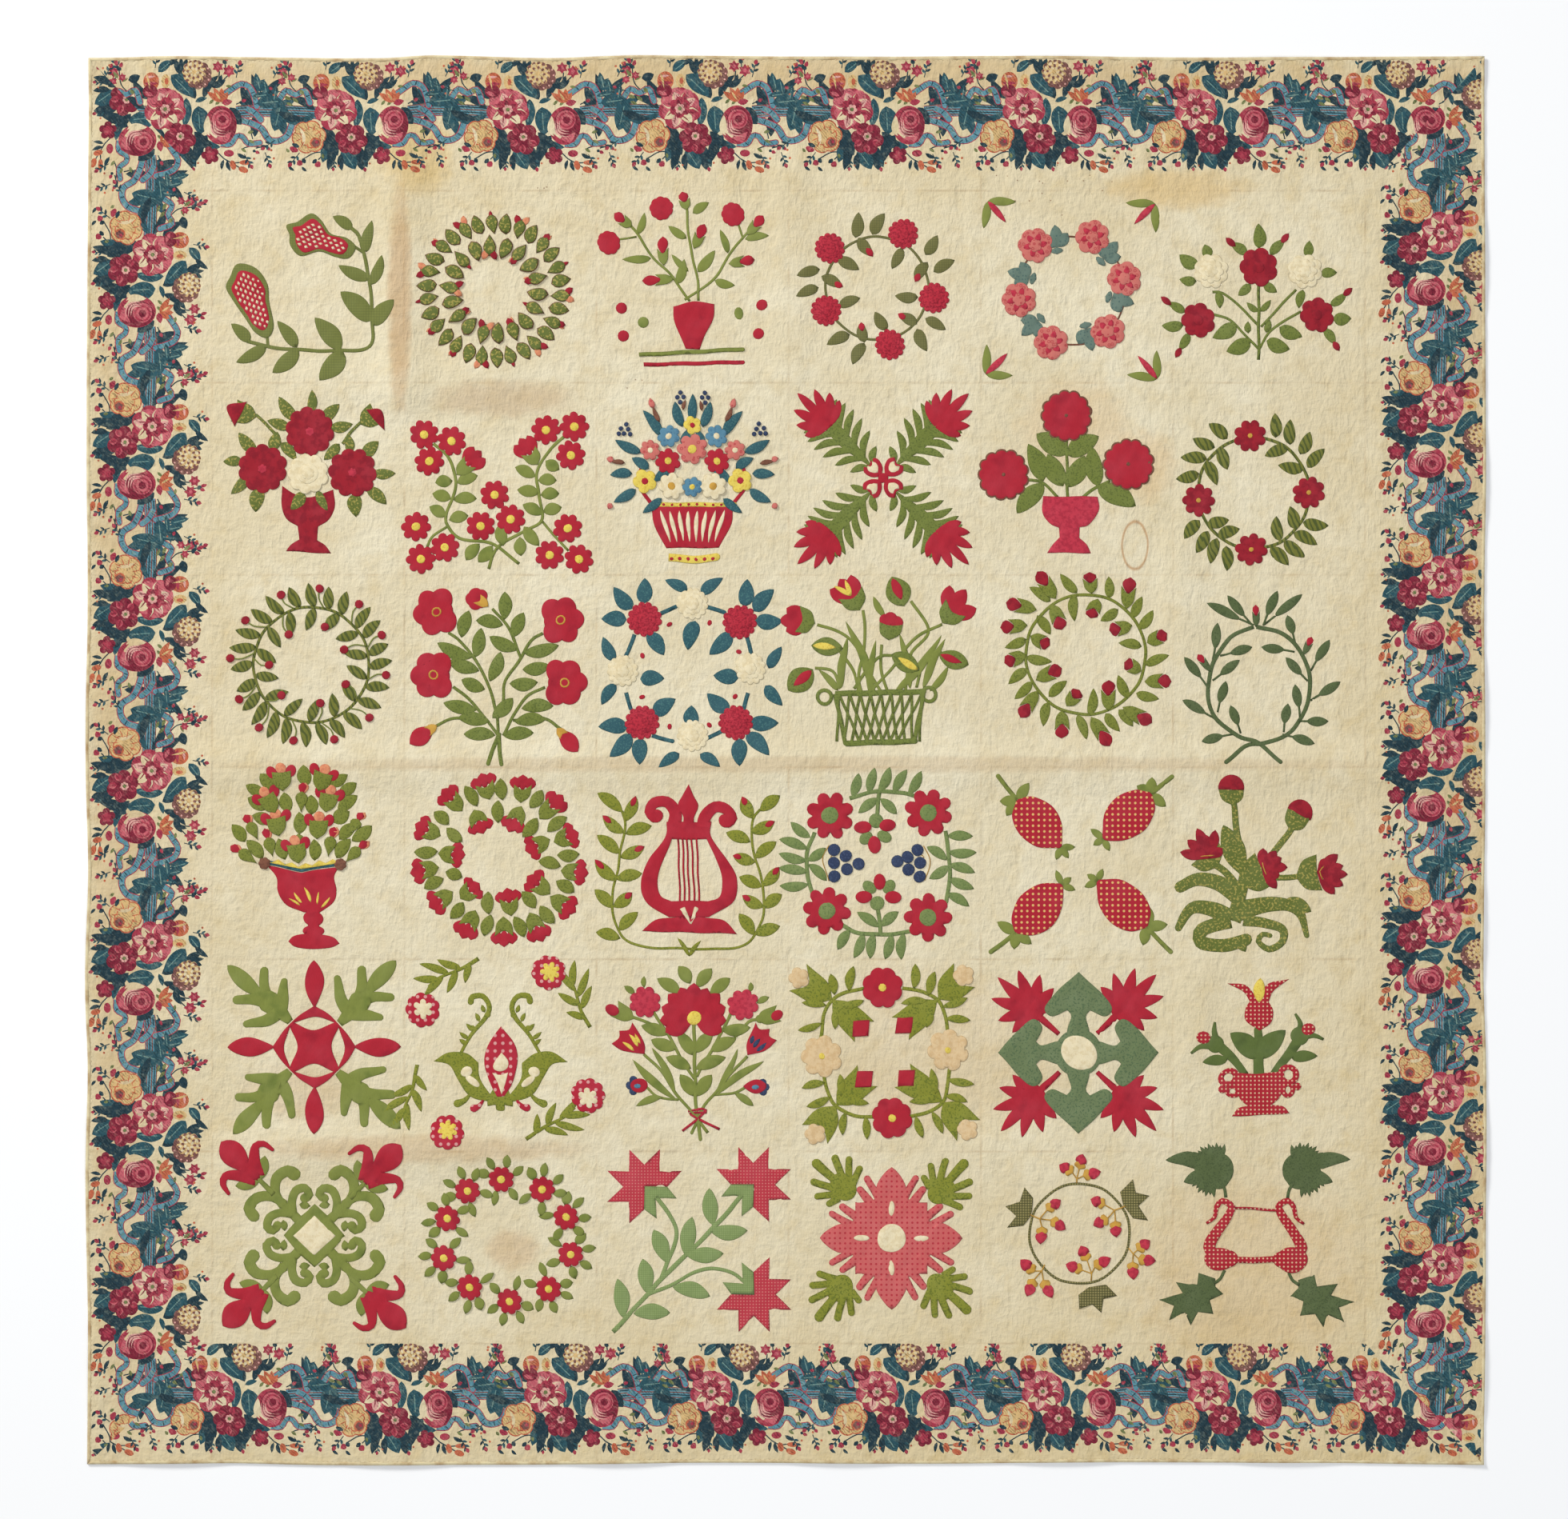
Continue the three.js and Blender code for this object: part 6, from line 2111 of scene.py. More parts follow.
# %% Grapes and flowers
def grapes_and_flowers(b):
    """A squared wreath: a flower with a green middle at each corner, trefoils, and six-berry bunches."""
    places = [-106 + 92j, 85 + 98j, -112 - 92j, 84 - 105j]
    b.sew("sage", stem(8, -68 + 126j, -20 + 138j, 30 + 137j, 62 + 128j),
        stem(8, 117 + 62j, 125 + 10j, 125 - 40j, 119 - 74j), stem(8, -82 - 120j, -50 - 135j, 0 - 138j,
        52 - 132j), stem(8, -136 + 60j, -150 + 20j, -150 - 20j, -140 - 58j), stem(8, -10 + 138j, -16 + 86j),
        stem(8, -8 - 138j, -14 - 76j), leaf_rows((-62, 128, -51, 175), (-30, 134, -19, 185),
        (-12, 136, 11, 186), (16, 136, 44, 182), (45, 132, 72, 178), (120, 52, 171, 52), (123, 22, 178, 20),
        (124, -2, 175, -19), (124, -28, 173, -50), (120, -58, 164, -84), (-66, -128, -92, -168),
        (-40, -134, -60, -184), (-20, -136, -29, -186), (14, -136, 0, -186), (36, -134, 32, -188),
        (-144, 50, -183, 79), (-148, 28, -204, 46), (-150, 5, -206, 18), (-148, -18, -206, -10),
        (-146, -42, -204, -44), (-150, 4, -113, 29), (-148, -2, -112, -34), (122, 6, 82, 32),
        (124, -4, 86, -31), (-10, 125, -52, 97), (-8, 125, 24, 95), (-12, -125, -54, -94),
        (-8, -123, 28, -93), width=20, belly=0.5))
    flowers(b, "turkey_red", 47, 8, places, "sage", 0.36, 0.3)
    b.sew("sage", disc(-17 + 82j, 14), disc(-36 + 48j, 15, 11, 40), disc(0 + 52j, 15, 11, -30),
        disc(-30 - 46j, 15, 11, 140), disc(8 - 46j, 15, 11, 50), disc(-14 - 78j, 14))
    b.sew("turkey_red", disc(-42 + 69j, 17, 12), disc(5 + 74j, 16, 12), disc(-20 + 36j, 13, 17),
        disc(-10 - 36j, 12, 16), disc(-40 - 65j, 16, 12), disc(16 - 66j, 16, 12))
    for tendril in ((-108 + 34j, -120 + 6j, -108 - 34j), (76 + 34j, 88 + 4j, 78 - 34j),
                    (-86 + 26j, -104 + 12j, -86 + 4j),
                    (54 + 24j, 76 + 12j, 56 - 2j)):
        b.sew("gold", stem(1.8, *tendril))
    b.sew("navy", [disc(at, 12) for at in (-98 + 26j, -98 + 1j, -98 - 25j, -75 + 14j, -73 - 12j, -50 - 2j,
                                           64 + 26j, 68 + 1j,
                                           68 - 26j, 44 + 12j, 46 - 12j, 24 + 3j)])


sew_block(grapes_and_flowers, 4, 4)

# %% Four strawberries
def four_strawberries(b):
    """Four large strawberries on the slant, with leaves at both ends."""
    for stalk, tips, first, last, small in (
            (-152 + 168j, (-150 + 120j, -92 + 155j, -136 + 92j), -116 + 122j, -32 + 31j,
             (-3 + 32j, -40 + 6j, -16 + 10j)),
            (183 + 168j, (145 + 166j, 116 + 150j, 172 + 110j), 144 + 134j, 52 + 47j,
             (26 + 66j, 32 + 34j, 64 + 24j)),
            (-166 - 172j, (-154 - 114j, -122 - 167j, -88 - 157j), -118 - 134j, -30 - 41j,
             (-40 - 13j, -10 - 27j, -3 - 53j)),
            (181 - 172j, (141 - 86j, 176 - 118j, 127 - 160j), 136 - 124j, 41 - 34j,
             (50 - 10j, 20 - 22j, 14 - 47j))):
        b.sew("leaf_green", stem(9, first, stalk), [leaf(first, tip, 22) for tip in tips],
              [leaf(last, tip, 14) for tip in small])
        b.sew("strawberry", on_fold(first, last, [0 + 4j, 0.14 + 28j, 0.42 + 42j, 0.74 + 33j, 0.94 + 12j,
            1 + 3j]))


sew_block(four_strawberries, 4, 5)

# %% Thistles
def thistles(b):
    """A plant of printed green: broad curled leaves, three fringed red thistles, two capped buds."""
    b.sew("print_green", stem(30, -70 - 112j, -60 - 80j, -52 - 45j, -46 - 10j, end=18),
        leaf(-46 - 30j, -88 + 74j, 44, belly=0.55), stem(14, -56 + 20j, -62 + 60j, -70 + 130j, end=11),
        cup(-70 + 112j, -73 + 146j, 50, 0.12), stem(14, -38 - 30j, 4 + 16j, 36 + 54j, 50 + 82j, end=12),
        cup(40 + 62j, 60 + 100j, 48, 0.12), stem(14, -50 - 60j, -88 - 14j, -118 + 4j),
        cup(-98 - 6j, -128 + 22j, 70, 0.1), cup(-52 - 44j, -6 - 8j, 72, 0.1),
        stem(11, -20 - 30j, 30 - 28j, 66 - 24j), cup(52 - 26j, 98 - 18j, 70, 0.12),
        stem(34, -58 - 66j, -98 - 38j, -138 - 32j, -172 - 46j, end=22),
        stem(36, -76 - 108j, -112 - 88j, -150 - 88j, -176 - 126j, end=14),
        stem(40, -60 - 92j, -14 - 82j, 34 - 80j, 62 - 100j, 72 - 140j, end=10), leaf(30 - 70j, 82 - 94j, 30),
        stem(22, -50 - 110j, -12 - 116j, 24 - 126j, 26 - 152j, 0 - 166j, -20 - 152j, -12 - 138j, 2 - 140j,
        end=9), stem(28, -74 - 112j, -128 - 128j, -132 - 152j, -92 - 160j, -44 - 148j, end=24),
        leaf(-62 - 140j, -46 - 172j, 22))
    for heart, tips in ((-114 + 8j, (-172 + 22j, -158 + 46j, -140 + 68j, -122 + 54j, -104 + 64j, -90 + 30j)),
                        (-14 - 10j, (-12 + 30j, 14 + 24j, 24 + 10j, 36 - 8j, 22 - 28j, 14 - 50j)),
                        (92 - 18j, (134 + 18j, 116 + 8j, 144 - 4j, 152 - 22j, 144 - 44j, 128 - 60j))):
        b.sew("old_red", [leaf(heart, tip, 21, belly=0.62) for tip in tips])
        b.sew("gold", [stem(2.4, *(heart + (tips[0] - heart) * 0.34, heart * 0.9 + 0.1 * tips[2],
            heart + (tips[-1] - heart) * 0.34))])
    for at, turn in ((-73 + 146j, 0), (60 + 98j, -28)):
        b.sew("old_red", at + 25 * np.exp(1j * np.linspace(-0.15, math.pi + 0.15, 14)) * polar(1, turn))
    thorns = [place + side * 1j * 7 for place in curve(-62 + 60j, -70 + 122j, step=9) for side in (0.9, -0.9)]
    b.sew("gold", [stem(1.6, place - 2, place + 2) for place in thorns])


sew_block(thistles, 4, 6)

# %% [markdown]
# ### The fifth row
# From left to right: two folded cuts, curled fronds, a tied bouquet, a faded ring and a pot of tulips.
# A leaf with fingers is several plain shapes sewn as one cut, because the triangulation joins whatever
# overlaps.


# %% Reel and oak leaves
def reel_and_oak_leaves(b):
    """A red reel with four openings and four petals, and an oak leaf with five fingers on each slant."""
    middle = 12 + 16j
    quarter = ([46 - 45j, 64 - 26j, 81 + 0j], [81 + 0j, 64 + 26j, 46 + 45j])
    rim = outline(*([place * turn for place in run] for turn in (1, 1j, -1, -1j) for run in quarter))
    openings = quarter_turns(outline([47 - 38j, 59 + 0j, 47 + 38j], [47 + 38j, 33 + 0j, 47 - 38j]))
    b.sew("leaf_green", [middle + part for part in quarter_turns(
        stem(14, 48 + 46j, 70 + 68j, 88 + 88j, end=44), stem(30, 70 + 66j, 52 + 92j, 44 + 132j, end=14),
        stem(26, 86 + 88j, 92 + 120j, 92 + 150j, end=17), leaf(82 + 86j, 158 + 168j, 32, belly=0.64),
        stem(24, 84 + 84j, 112 + 96j, 147 + 97j, end=16), stem(34, 66 + 70j, 96 + 62j, 128 + 58j, end=13))])
    b.sew("turkey_red", tuple(middle + part for part in [rim, *openings]), [
        middle + part for part in quarter_turns(leaf(76, 168, 37, belly=0.56))])


sew_block(reel_and_oak_leaves, 5, 1)

# %% Curled fronds
def curled_fronds(b):
    """A printed bud with openings in a winged calyx, two curled fronds, and four ferns with a flower."""
    wing = outline([-22 - 90j, -60 - 78j, -84 - 44j, -100 - 18j, -130 - 12j],
        [-130 - 12j, -100 + 6j, -66 + 4j, -42 - 14j], [-42 - 14j, -40 - 44j, -14 - 82j],
        [-14 - 82j, -22 - 90j])
    frond = stem(6, -76 + 4j, -58 + 38j, -30 + 70j, -22 + 94j, -34 + 114j, -54 + 114j, -58 + 104j, end=12)
    teeth = leaf_rows((-66, 20, -80, 32, 9), (-62, 32, -80, 46, 9), (-54, 46, -66, 62, 9),
        (-48, 54, -62, 54, 9), (-40, 64, -48, 82, 9), (-30, 82, -37, 98, 9), (-28, 72, -22, 86, 12))
    drop = stem(5, -58 - 76j, -70 - 88j, -84 - 94j, end=15)
    b.sew("moss", mirrored(wing, frond, drop, *teeth), on_fold(-62j, -108j, [0 + 12j, 0.5 + 24j, 0.8 + 25j],
        [0.8 + 25j, 0.75 + 9j], [0.75 + 9j, 0.96 + 8j, 1 + 0j]))
    b.sew("cream", mirrored(disc(-66 - 32j, 12, 10, 30), disc(-54 - 50j, 17, 7, -35)))
    b.sew("ring_red", mirrored(stem(4, -32 - 86j, -42 - 98j, -52 - 102j, end=15)),
        on_fold(1 - 82j, 2 + 57j, [0 + 7j, 0.25 + 24j, 0.5 + 32j, 0.75 + 25j, 1 + 0j]))
    b.sew("cream", outline([2 + 6j, -12 - 14j, -13 - 26j, 0 - 32j, 14 - 26j, 16 - 12j, 2 + 6j]),
        outline([-16 - 33j, 0 - 38j, 16 - 33j], [16 - 33j, 12 - 46j, 3 - 78j],
        [3 - 78j, -8 - 50j, -16 - 33j]))
    fern = [stem(8, 0, 44 + 4j, 88 + 0j, 112 + 6j, end=4)] + leaf_rows((20, 2, 44, 32, 14),
        (48, 2, 86, 34, 15), (76, 2, 128, 20, 15), (86, 0, 132, -20, 15), (64, 2, 108, -40, 15),
        (40, 2, 74, -34, 15), width=15)
    for foot, turn in ((-42 + 188j, 206), (174 + 54j, 112), (-161 - 18j, 254), (50 - 163j, 30)):
        b.sew("moss", [foot + np.array(part) * np.exp(1j * math.radians(turn)) for part in fern])
    flowers(b, "ring_red", 34, 9, [-150 + 88j, 94 + 160j, -103 - 149j, 170 - 78j], depth=0.13)
    flowers(b, "cream", 20, 6, [-149 + 90j, 170 - 82j], depth=0.4)
    flowers(b, "yellow", 20, 7, [97 + 162j, -102 - 145j], depth=0.4)


sew_block(curled_fronds, 5, 2)

# %% Tied bouquet
def tied_bouquet(b):
    """A tied bouquet: half a sunflower, two roses, buds, striped tulips, long blades and a red ribbon."""
    b.sew("leaf_green", stem(7, 3 + 70j, 5 - 50j, 8 - 110j, 16 - 162j),
        stem(6, -76 + 86j, -48 + 40j, -18 - 12j, 3 - 46j), stem(6, 75 + 84j, 50 + 32j, 24 - 12j, 8 - 42j),
        stem(6, -118 + 74j, -82 + 62j, -56 + 48j), stem(6, 130 + 70j, 108 + 64j, 86 + 38j, 66 + 20j),
        stem(6, -94 + 3j, -60 - 32j, -30 - 76j, 0 - 112j, 30 - 150j),
        stem(6, 106 - 2j, 74 - 36j, 44 - 72j, 20 - 102j, -1 - 150j), stem(5, -88 - 62j, -68 - 80j, -26 - 86j),
        stem(5, 102 - 62j, 78 - 74j, 42 - 76j), leaf_rows((-4, 138, -28, 173), (8, 132, 38, 169),
        (-22, 120, -68, 149), (34, 116, 73, 149), (-112, 118, -133, 135, 13), (-94, 130, -93, 153, 11),
        (111, 122, 113, 142, 11), (124, 100, 148, 113, 13), (-47, 40, -100, 57), (-30, 12, -81, 31),
        (56, 50, 112, 53), (34, 8, 86, 33), (0, 0, -29, 47), (5, 4, 40, 44), (-2, -26, -51, -4),
        (6, -28, 64, -3), (2, -80, -25, -36), (8, -80, 38, -37), (-58, -80, -110, -98, 15),
        (80, -73, 118, -98, 15), (-32, -78, -78, 15, 14), (-30, -86, -117, -8, 16), (44, -72, 88, 13, 12),
        (46, -76, 138, -11, 15), width=25, belly=0.5), cup(-112 + 70j, -152 + 92j, 34, 0.2),
        cup(124 + 68j, 168 + 82j, 34, 0.2), disc(-124 + 76j, 9), disc(130 + 70j, 8))
    b.sew("turkey_red", disc(-155 + 88j, 14, 11, -20), disc(164 + 78j, 12, 10, 30),
          [leaf(3 + 70j, 3 + 70j + polar(reach, turn), 36, belly=0.6) for turn, reach in zip(
              range(-25, 206, 23), (60, 62, 66, 70, 66, 70, 66, 70, 68, 66, 62))])
    b.sew("yellow", disc(3 + 73j, 14))
    flowers(b, "rose_red", 31, 8, [-92 + 103j, 98 + 98j])
    for shape, slits, cloth in ((outline([-92 + 3j, -93 + 24j, -117 + 63j],
                                         [-117 + 63j, -124 + 49j, -142 + 48j],
                                         [-142 + 48j, -142 + 34j, -156 + 23j],
                                         [-156 + 23j, -134 + 8j, -92 + 3j]),
                                 leaf_rows((-104, 16, -124, 42, 8), (-100, 22, -112, 42, 7),
                                           (-112, 8, -136, 26, 8)), "yellow"),
                                (outline([106 + 0j, 106 + 24j, 122 + 63j], [122 + 63j, 129 + 51j, 149 + 52j],
                                         [149 + 52j, 148 + 38j, 163 + 29j], [163 + 29j, 142 + 10j, 106 + 0j]),
                                 leaf_rows((112, 20, 118, 42, 9), (118, 14, 132, 34, 9),
                                           (124, 8, 144, 26, 9)), "navy")):
        b.sew("turkey_red", shape)
        b.sew(cloth, slits)
    b.sew("navy", [disc(at, 8) for at in (-114 - 47j, -121 - 58j, -115 - 69j, 136 - 53j, 142 - 62j,
                                          137 - 71j)])
    b.sew("turkey_red", disc(-103 - 58j, 17, 14), leaf(98 - 60j, 146 - 60j, 28, belly=0.55))
    b.sew("blue", disc(-106 - 59j, 7, 5), disc(122 - 61j, 8, 5))
    b.sew("ruched_red", stem(5, -9 - 110j, 20 - 103j, 26 - 110j, -6 - 112j, 14 - 124j, 52 - 144j),
        stem(5, 26 - 106j, 8 - 124j, -19 - 147j))


sew_block(tied_bouquet, 5, 3)

# %% Faded flower ring
def faded_flower_ring(b):
    """A squared ring with two red flowers, two that have faded to tan, and eight trumpets."""
    b.sew("moss", stem(7, -38 + 130j, -76 + 122j, -102 + 106j, -118 + 76j, -123 + 34j),
        stem(7, 34 + 130j, 76 + 122j, 104 + 106j, 117 + 78j, 121 + 46j),
        stem(7, -18 - 120j, -60 - 116j, -96 - 98j, -110 - 70j, -118 - 36j),
        stem(7, 46 - 120j, 84 - 110j, 112 - 90j, 122 - 58j, 125 - 22j))
    for knot, out, inward in ((-102 + 107j, -152 + 140j, -46 + 52j), (103 + 108j, 142 + 144j, 38 + 58j),
                              (112 - 90j, 150 - 132j, 42 - 44j), (-95 - 98j, -126 - 140j, -40 - 46j)):
        b.sew("moss", cup(knot, knot + (out - knot) * 1.32, 62, 0.3),
            cup(knot, knot + (inward - knot) * 1.12, 56, 0.24))
        b.sew("turkey_red", inward + 24 * np.exp(1j * np.arange(4) * np.pi / 2 + 0.75j) * np.array([1, 0.86,
            1, 0.86]))
        b.sew("bleached", petals(out + (out - knot) * 0.28, 21, 5, 0.22))
    b.sew("moss", leaf_rows((-98, 116, -104, 158), (-69, 124, -61, 173), (56, 128, 60, 177),
        (84, 116, 98, 163), (-112, 96, -160, 102, 15), (-122, 62, -168, 49, 15), (-86, 96, -40, 106, 16),
        (-97, 88, -97, 50, 15), (84, 106, 32, 100, 16), (90, 92, 80, 54, 17), (112, 93, 160, 112, 16),
        (118, 70, 167, 68, 16), (122, -46, 174, -56, 16), (117, -78, 160, -90, 16), (98, -76, 90, -26, 16),
        (104, -78, 48, -90, 18), (60, -118, 74, -160, 16), (92, -108, 112, -152, 16),
        (-114, -52, -161, -64, 16), (-106, -80, -151, -100, 17), (-84, -82, -87, -36, 16),
        (-80, -88, -30, -93, 16), (-76, -110, -82, -155, 16), (-38, -118, -34, -164, 16), width=19,
        belly=0.5))
    flowers(b, "turkey_red", 40, 8, [-4 + 131j, 14 - 121j], "yellow", 0.2, 0.13)
    flowers(b, "bleached", 41, 7, [-122 - 2j, 123 + 10j], "yellow", 0.16, 0.2)


sew_block(faded_flower_ring, 5, 4)

# %% Spades and hands
def spades_and_hands(b):
    """Four green spades round an oval opening, and a red leaf with seven points on each slant."""
    middle = 3 + 5j
    spade = outline([12 - 20j, 40 - 22j, 70 - 14j, 82 - 22j], [82 - 22j, 70 - 50j, 86 - 66j, 112 - 48j,
        156 + 0j], [156 + 0j, 112 + 48j, 86 + 66j, 70 + 50j, 82 + 22j],
        [82 + 22j, 70 + 14j, 40 + 22j, 12 + 20j], [12 + 20j, 12 - 20j])
    hand = [stem(9, 52 + 0j, 96 + 0j, end=14), disc(124, 26, 24)] + [
        leaf(122 - polar(6, turn), 122 + polar(reach, turn), 25, belly=0.44)
        for turn, reach in ((124, 50), (92, 60), (60, 70), (28, 82), (0, 92), (-28, 82), (-60, 70), (-92, 60),
                            (-124, 50))]
    b.sew("turkey_red", [middle + part * polar(1, turn) for turn in (45, 137, 225, 315) for part in hand])
    b.sew("sage_blue", [middle + part for part in quarter_turns(spade)], disc(middle, 46))
    b.sew("cream", disc(middle + 1, 38, 31, -42))


sew_block(spades_and_hands, 5, 5)

# %% Pot of tulips
def pot_of_tulips(b):
    """A dotted pot with two handles, a tulip with a yellow heart, and two capped buds."""
    b.sew("forest_olive", stem(22, -20 - 40j, -20 + 0j, -21 + 48j, end=16),
        stem(14, -46 - 38j, -72 - 4j, -100 + 22j, end=20), stem(14, 8 - 38j, 36 + 0j, 60 + 34j, end=20),
        leaf_rows((-20, -4, -76, 44, 40), (-22, -4, 33, 48, 40), (-80, -8, -130, -14, 21),
        (42, -4, 94, -2, 23)), disc(-104 + 22j, 17), disc(60 + 38j, 18),
        stem(14, -102 + 30j, -107 + 46j, -105 + 64j, end=5), stem(14, -112 + 18j, -134 + 16j, -152 + 4j,
        end=5), stem(14, 58 + 44j, 60 + 62j, 50 + 80j, end=5), stem(14, 68 + 38j, 88 + 38j, 106 + 30j, end=5))
    b.sew("dotted_red", disc(-127 + 34j, 14, 12, -20), disc(76 + 51j, 13, 12),
        outline([-18 + 48j, -44 + 66j, -46 + 90j, -38 + 104j], [-38 + 104j, -50 + 124j, -80 + 139j],
        [-80 + 139j, -44 + 136j, -20 + 103j], [-20 + 103j, -2 + 138j, 38 + 148j],
        [38 + 148j, 10 + 126j, -1 + 104j], [-1 + 104j, 7 + 88j, 4 + 64j, -18 + 48j]))
    b.sew("yellow", leaf(-20 + 101j, -17 + 149j, 23, belly=0.5))
    b.sew("dotted_red", outline([-70 - 34j, -20 - 35j, 30 - 31j], [30 - 31j, 29 - 60j, 20 - 82j, 6 - 96j],
        [6 - 96j, 28 - 98j, 40 - 112j], [40 - 112j, -16 - 116j, -72 - 118j],
        [-72 - 118j, -60 - 102j, -42 - 97j], [-42 - 97j, -56 - 84j, -66 - 58j, -70 - 34j]),
        (disc(-78 - 43j, 21, 18, 20), disc(-79 - 43j, 9, 8)), (disc(38 - 37j, 21, 20), disc(38 - 37j, 9, 10)),
        (disc(-70 - 70j, 16, 13), disc(-70 - 70j, 6, 5)), (disc(36 - 66j, 14, 16), disc(36 - 66j, 5, 7)),
        disc(-90 - 66j, 8), disc(54 - 60j, 8))


sew_block(pot_of_tulips, 5, 6)

# %% [markdown]
# ### The sixth row
# From left to right: scrollwork, a wreath of ten flowers, three stars, a rayed medallion, a ring of
# strawberries and a swan lyre. The curls are strips along a smooth line that widen to a round tip.


# %% Scrollwork
def scrollwork(b):
    """Green scrolls round a diamond opening, and a red lily with two leaves at each corner."""
    middle = 12 + 23j
    scrolls = [stem(20, 24 + 24j, 44 + 44j, 84 + 84j, end=14),
        stem(16, 40 + 40j, 44 + 66j, 36 + 86j, 18 + 92j, 10 + 80j, 20 + 72j, end=17),
        stem(15, 60 + 56j, 76 + 84j, 72 + 112j, 52 + 126j, 38 + 118j, end=24), leaf(30 + 60j, 8 + 58j, 15)]
    both = scrolls + [1j * part.conj() for part in scrolls]
    diamond = np.array([60, 30 + 34j, 62j, -30 + 34j, -60, -30 - 34j, -62j, 30 - 34j])
    opening = outline([42 + 0j, 22 + 18j, 40j], [40j, -22 + 18j, -42 + 0j], [-42 + 0j, -22 - 18j, -40j],
        [-40j, 22 - 18j, 42 + 0j])
    b.sew("leaf_green", [middle + part for part in quarter_turns(*both) + [diamond]])
    b.sew("cream", middle + opening)
    curl = stem(30, 2 + 2j, 32 + 22j, 48 + 42j, 40 + 56j, 20 + 60j, end=7)
    blade = leaf(-6 + 3j, 22 + 41j, 24, belly=0.5)
    for at, turn in ((-97 + 133j, 135), (110 + 126j, 46), (114 - 88j, -42), (-90 - 84j, 222)):
        aim = polar(1, turn)
        b.sew("leaf_green", [at + part * aim
                             for part in (stem(12, -42 + 0j, -4 + 0j, end=9), blade, blade.conj())])
        b.sew("turkey_red", [at + part * aim
                             for part in (stem(12, -2 + 0j, 26 + 0j, end=26), curl, curl.conj(),
                                                         leaf(14, 102, 48, belly=0.62))])


sew_block(scrollwork, 6, 1)

# %% Wreath of ten
def wreath_of_ten(b):
    """Ten small red flowers with yellow middles in a wreath of single leaves."""
    places = [2 + 132j, -64 + 110j, -103 + 56j, -110 - 20j, -59 - 77j, 18 - 104j, 93 - 80j, 136 - 13j,
        127 + 59j, 81 + 113j]
    middle = sum(places) / 10
    for k, place in enumerate(places):
        out = (place - middle) / abs(place - middle)
        b.sew("leaf_green", [leaf(place + out * polar(22, turn), place + out * polar(reach, turn + lean),
                                  width, belly=0.5)
                             for turn, lean, reach, width in (
                                 (34, -6, 52, 16), (-28, 8, 50, 17), (74 + 4 * (k % 2), -10, 50, 20),
                                 (-76, 12, 50, 17),
                                 (150, 8, 54, 15), (-140 + 6 * (k % 3), -8, 52, 17))])
    flowers(b, "turkey_red", 25, 8, places, "yellow", 0.32, 0.2)


sew_block(wreath_of_ten, 6, 2)

# %% Three stars
def three_stars(b):
    """A leafy branch from the corner, with three eight-pointed stars, each a quarter in its calyx."""
    b.sew("mint", stem(9, -154 - 163j, -90 - 94j, -40 - 40j, 0 - 3j, 48 + 46j, 96 + 102j),
        stem(8, -60 - 60j, -50 - 30j, -36 + 0j, -32 + 34j, -46 + 66j, -70 + 98j),
        stem(7, -88 - 92j, -40 - 72j, 0 - 50j, 40 - 40j, 78 - 50j, 102 - 68j),
        leaf_rows((-134, -136, -145, -61), (-114, -128, -43, -126), (-88, -90, -97, -21), (-38, -76, 35, -94),
        (-50, -30, -76, 35), (-12, -16, 0, 60), (-12, -14, 60, -11), (40, 42, 33, 115), (34, 32, 107, 32),
        width=31, belly=0.5))
    for at, turn in ((-93 + 118j, -45), (118 + 122j, 225), (119 - 91j, 135)):
        points = [(78 if k % 2 else 42) * polar(1, turn + 22.5 * k) for k in range(2, 15)]
        b.sew("star_pink", at + np.array([0] + [1.06 * points[0]] + points[1:-1] + [1.06 * points[-1]]))
        b.sew("mint", at + np.array([0] + [reach * polar(1, turn + lean) for reach, lean in (
            (44, -45), (66, -24), (36, -8), (30, 0), (36, 8), (66, 24), (44, 45))]))


sew_block(three_stars, 6, 3)

# %% Rayed medallion
def rayed_medallion(b):
    """A printed medallion of sixteen rays with a round middle and four slits, and a fan at each corner."""
    middle = 13 + 18j
    rays = [leaf(40, 138, 62, belly=0.45)] + [stem(18, 50 * polar(1, turn / 2), 124 * polar(1, turn), end=13)
                                                 for turn in (22, -22)] + [
        stem(20, 60 * polar(1, 30), 112 * polar(1, 33), end=14),
        stem(20, 60 * polar(1, -30), 112 * polar(1, -33), end=14)]
    body = [disc(0, 82), np.array([70 + 70j, -70 + 70j, -70 - 70j, 70 - 70j])]
    b.sew("ring_pink", [middle + part for part in quarter_turns(*rays) + body])
    b.sew("cream", disc(middle, 28), [middle + part for part in quarter_turns(disc(58, 15, 6))])
    fan = [disc(34, 28, 24)] + [stem(14, 26 * polar(1, turn * 0.5) + 6, 34 + polar(reach, turn), end=width)
                                for turn, reach, width in ((100, 42, 13), (68, 52, 13), (38, 58, 14),
                                                           (6, 68, 19), (-26, 58, 14),
                                                           (-54, 54, 13), (-84, 48, 13))]
    for at, turn in ((-58 + 92j, 132), (85 + 86j, 44), (83 - 52j, -46), (-64 - 54j, 228)):
        b.sew("moss", [at + part * polar(1, turn) for part in fan])


sew_block(rayed_medallion, 6, 4)

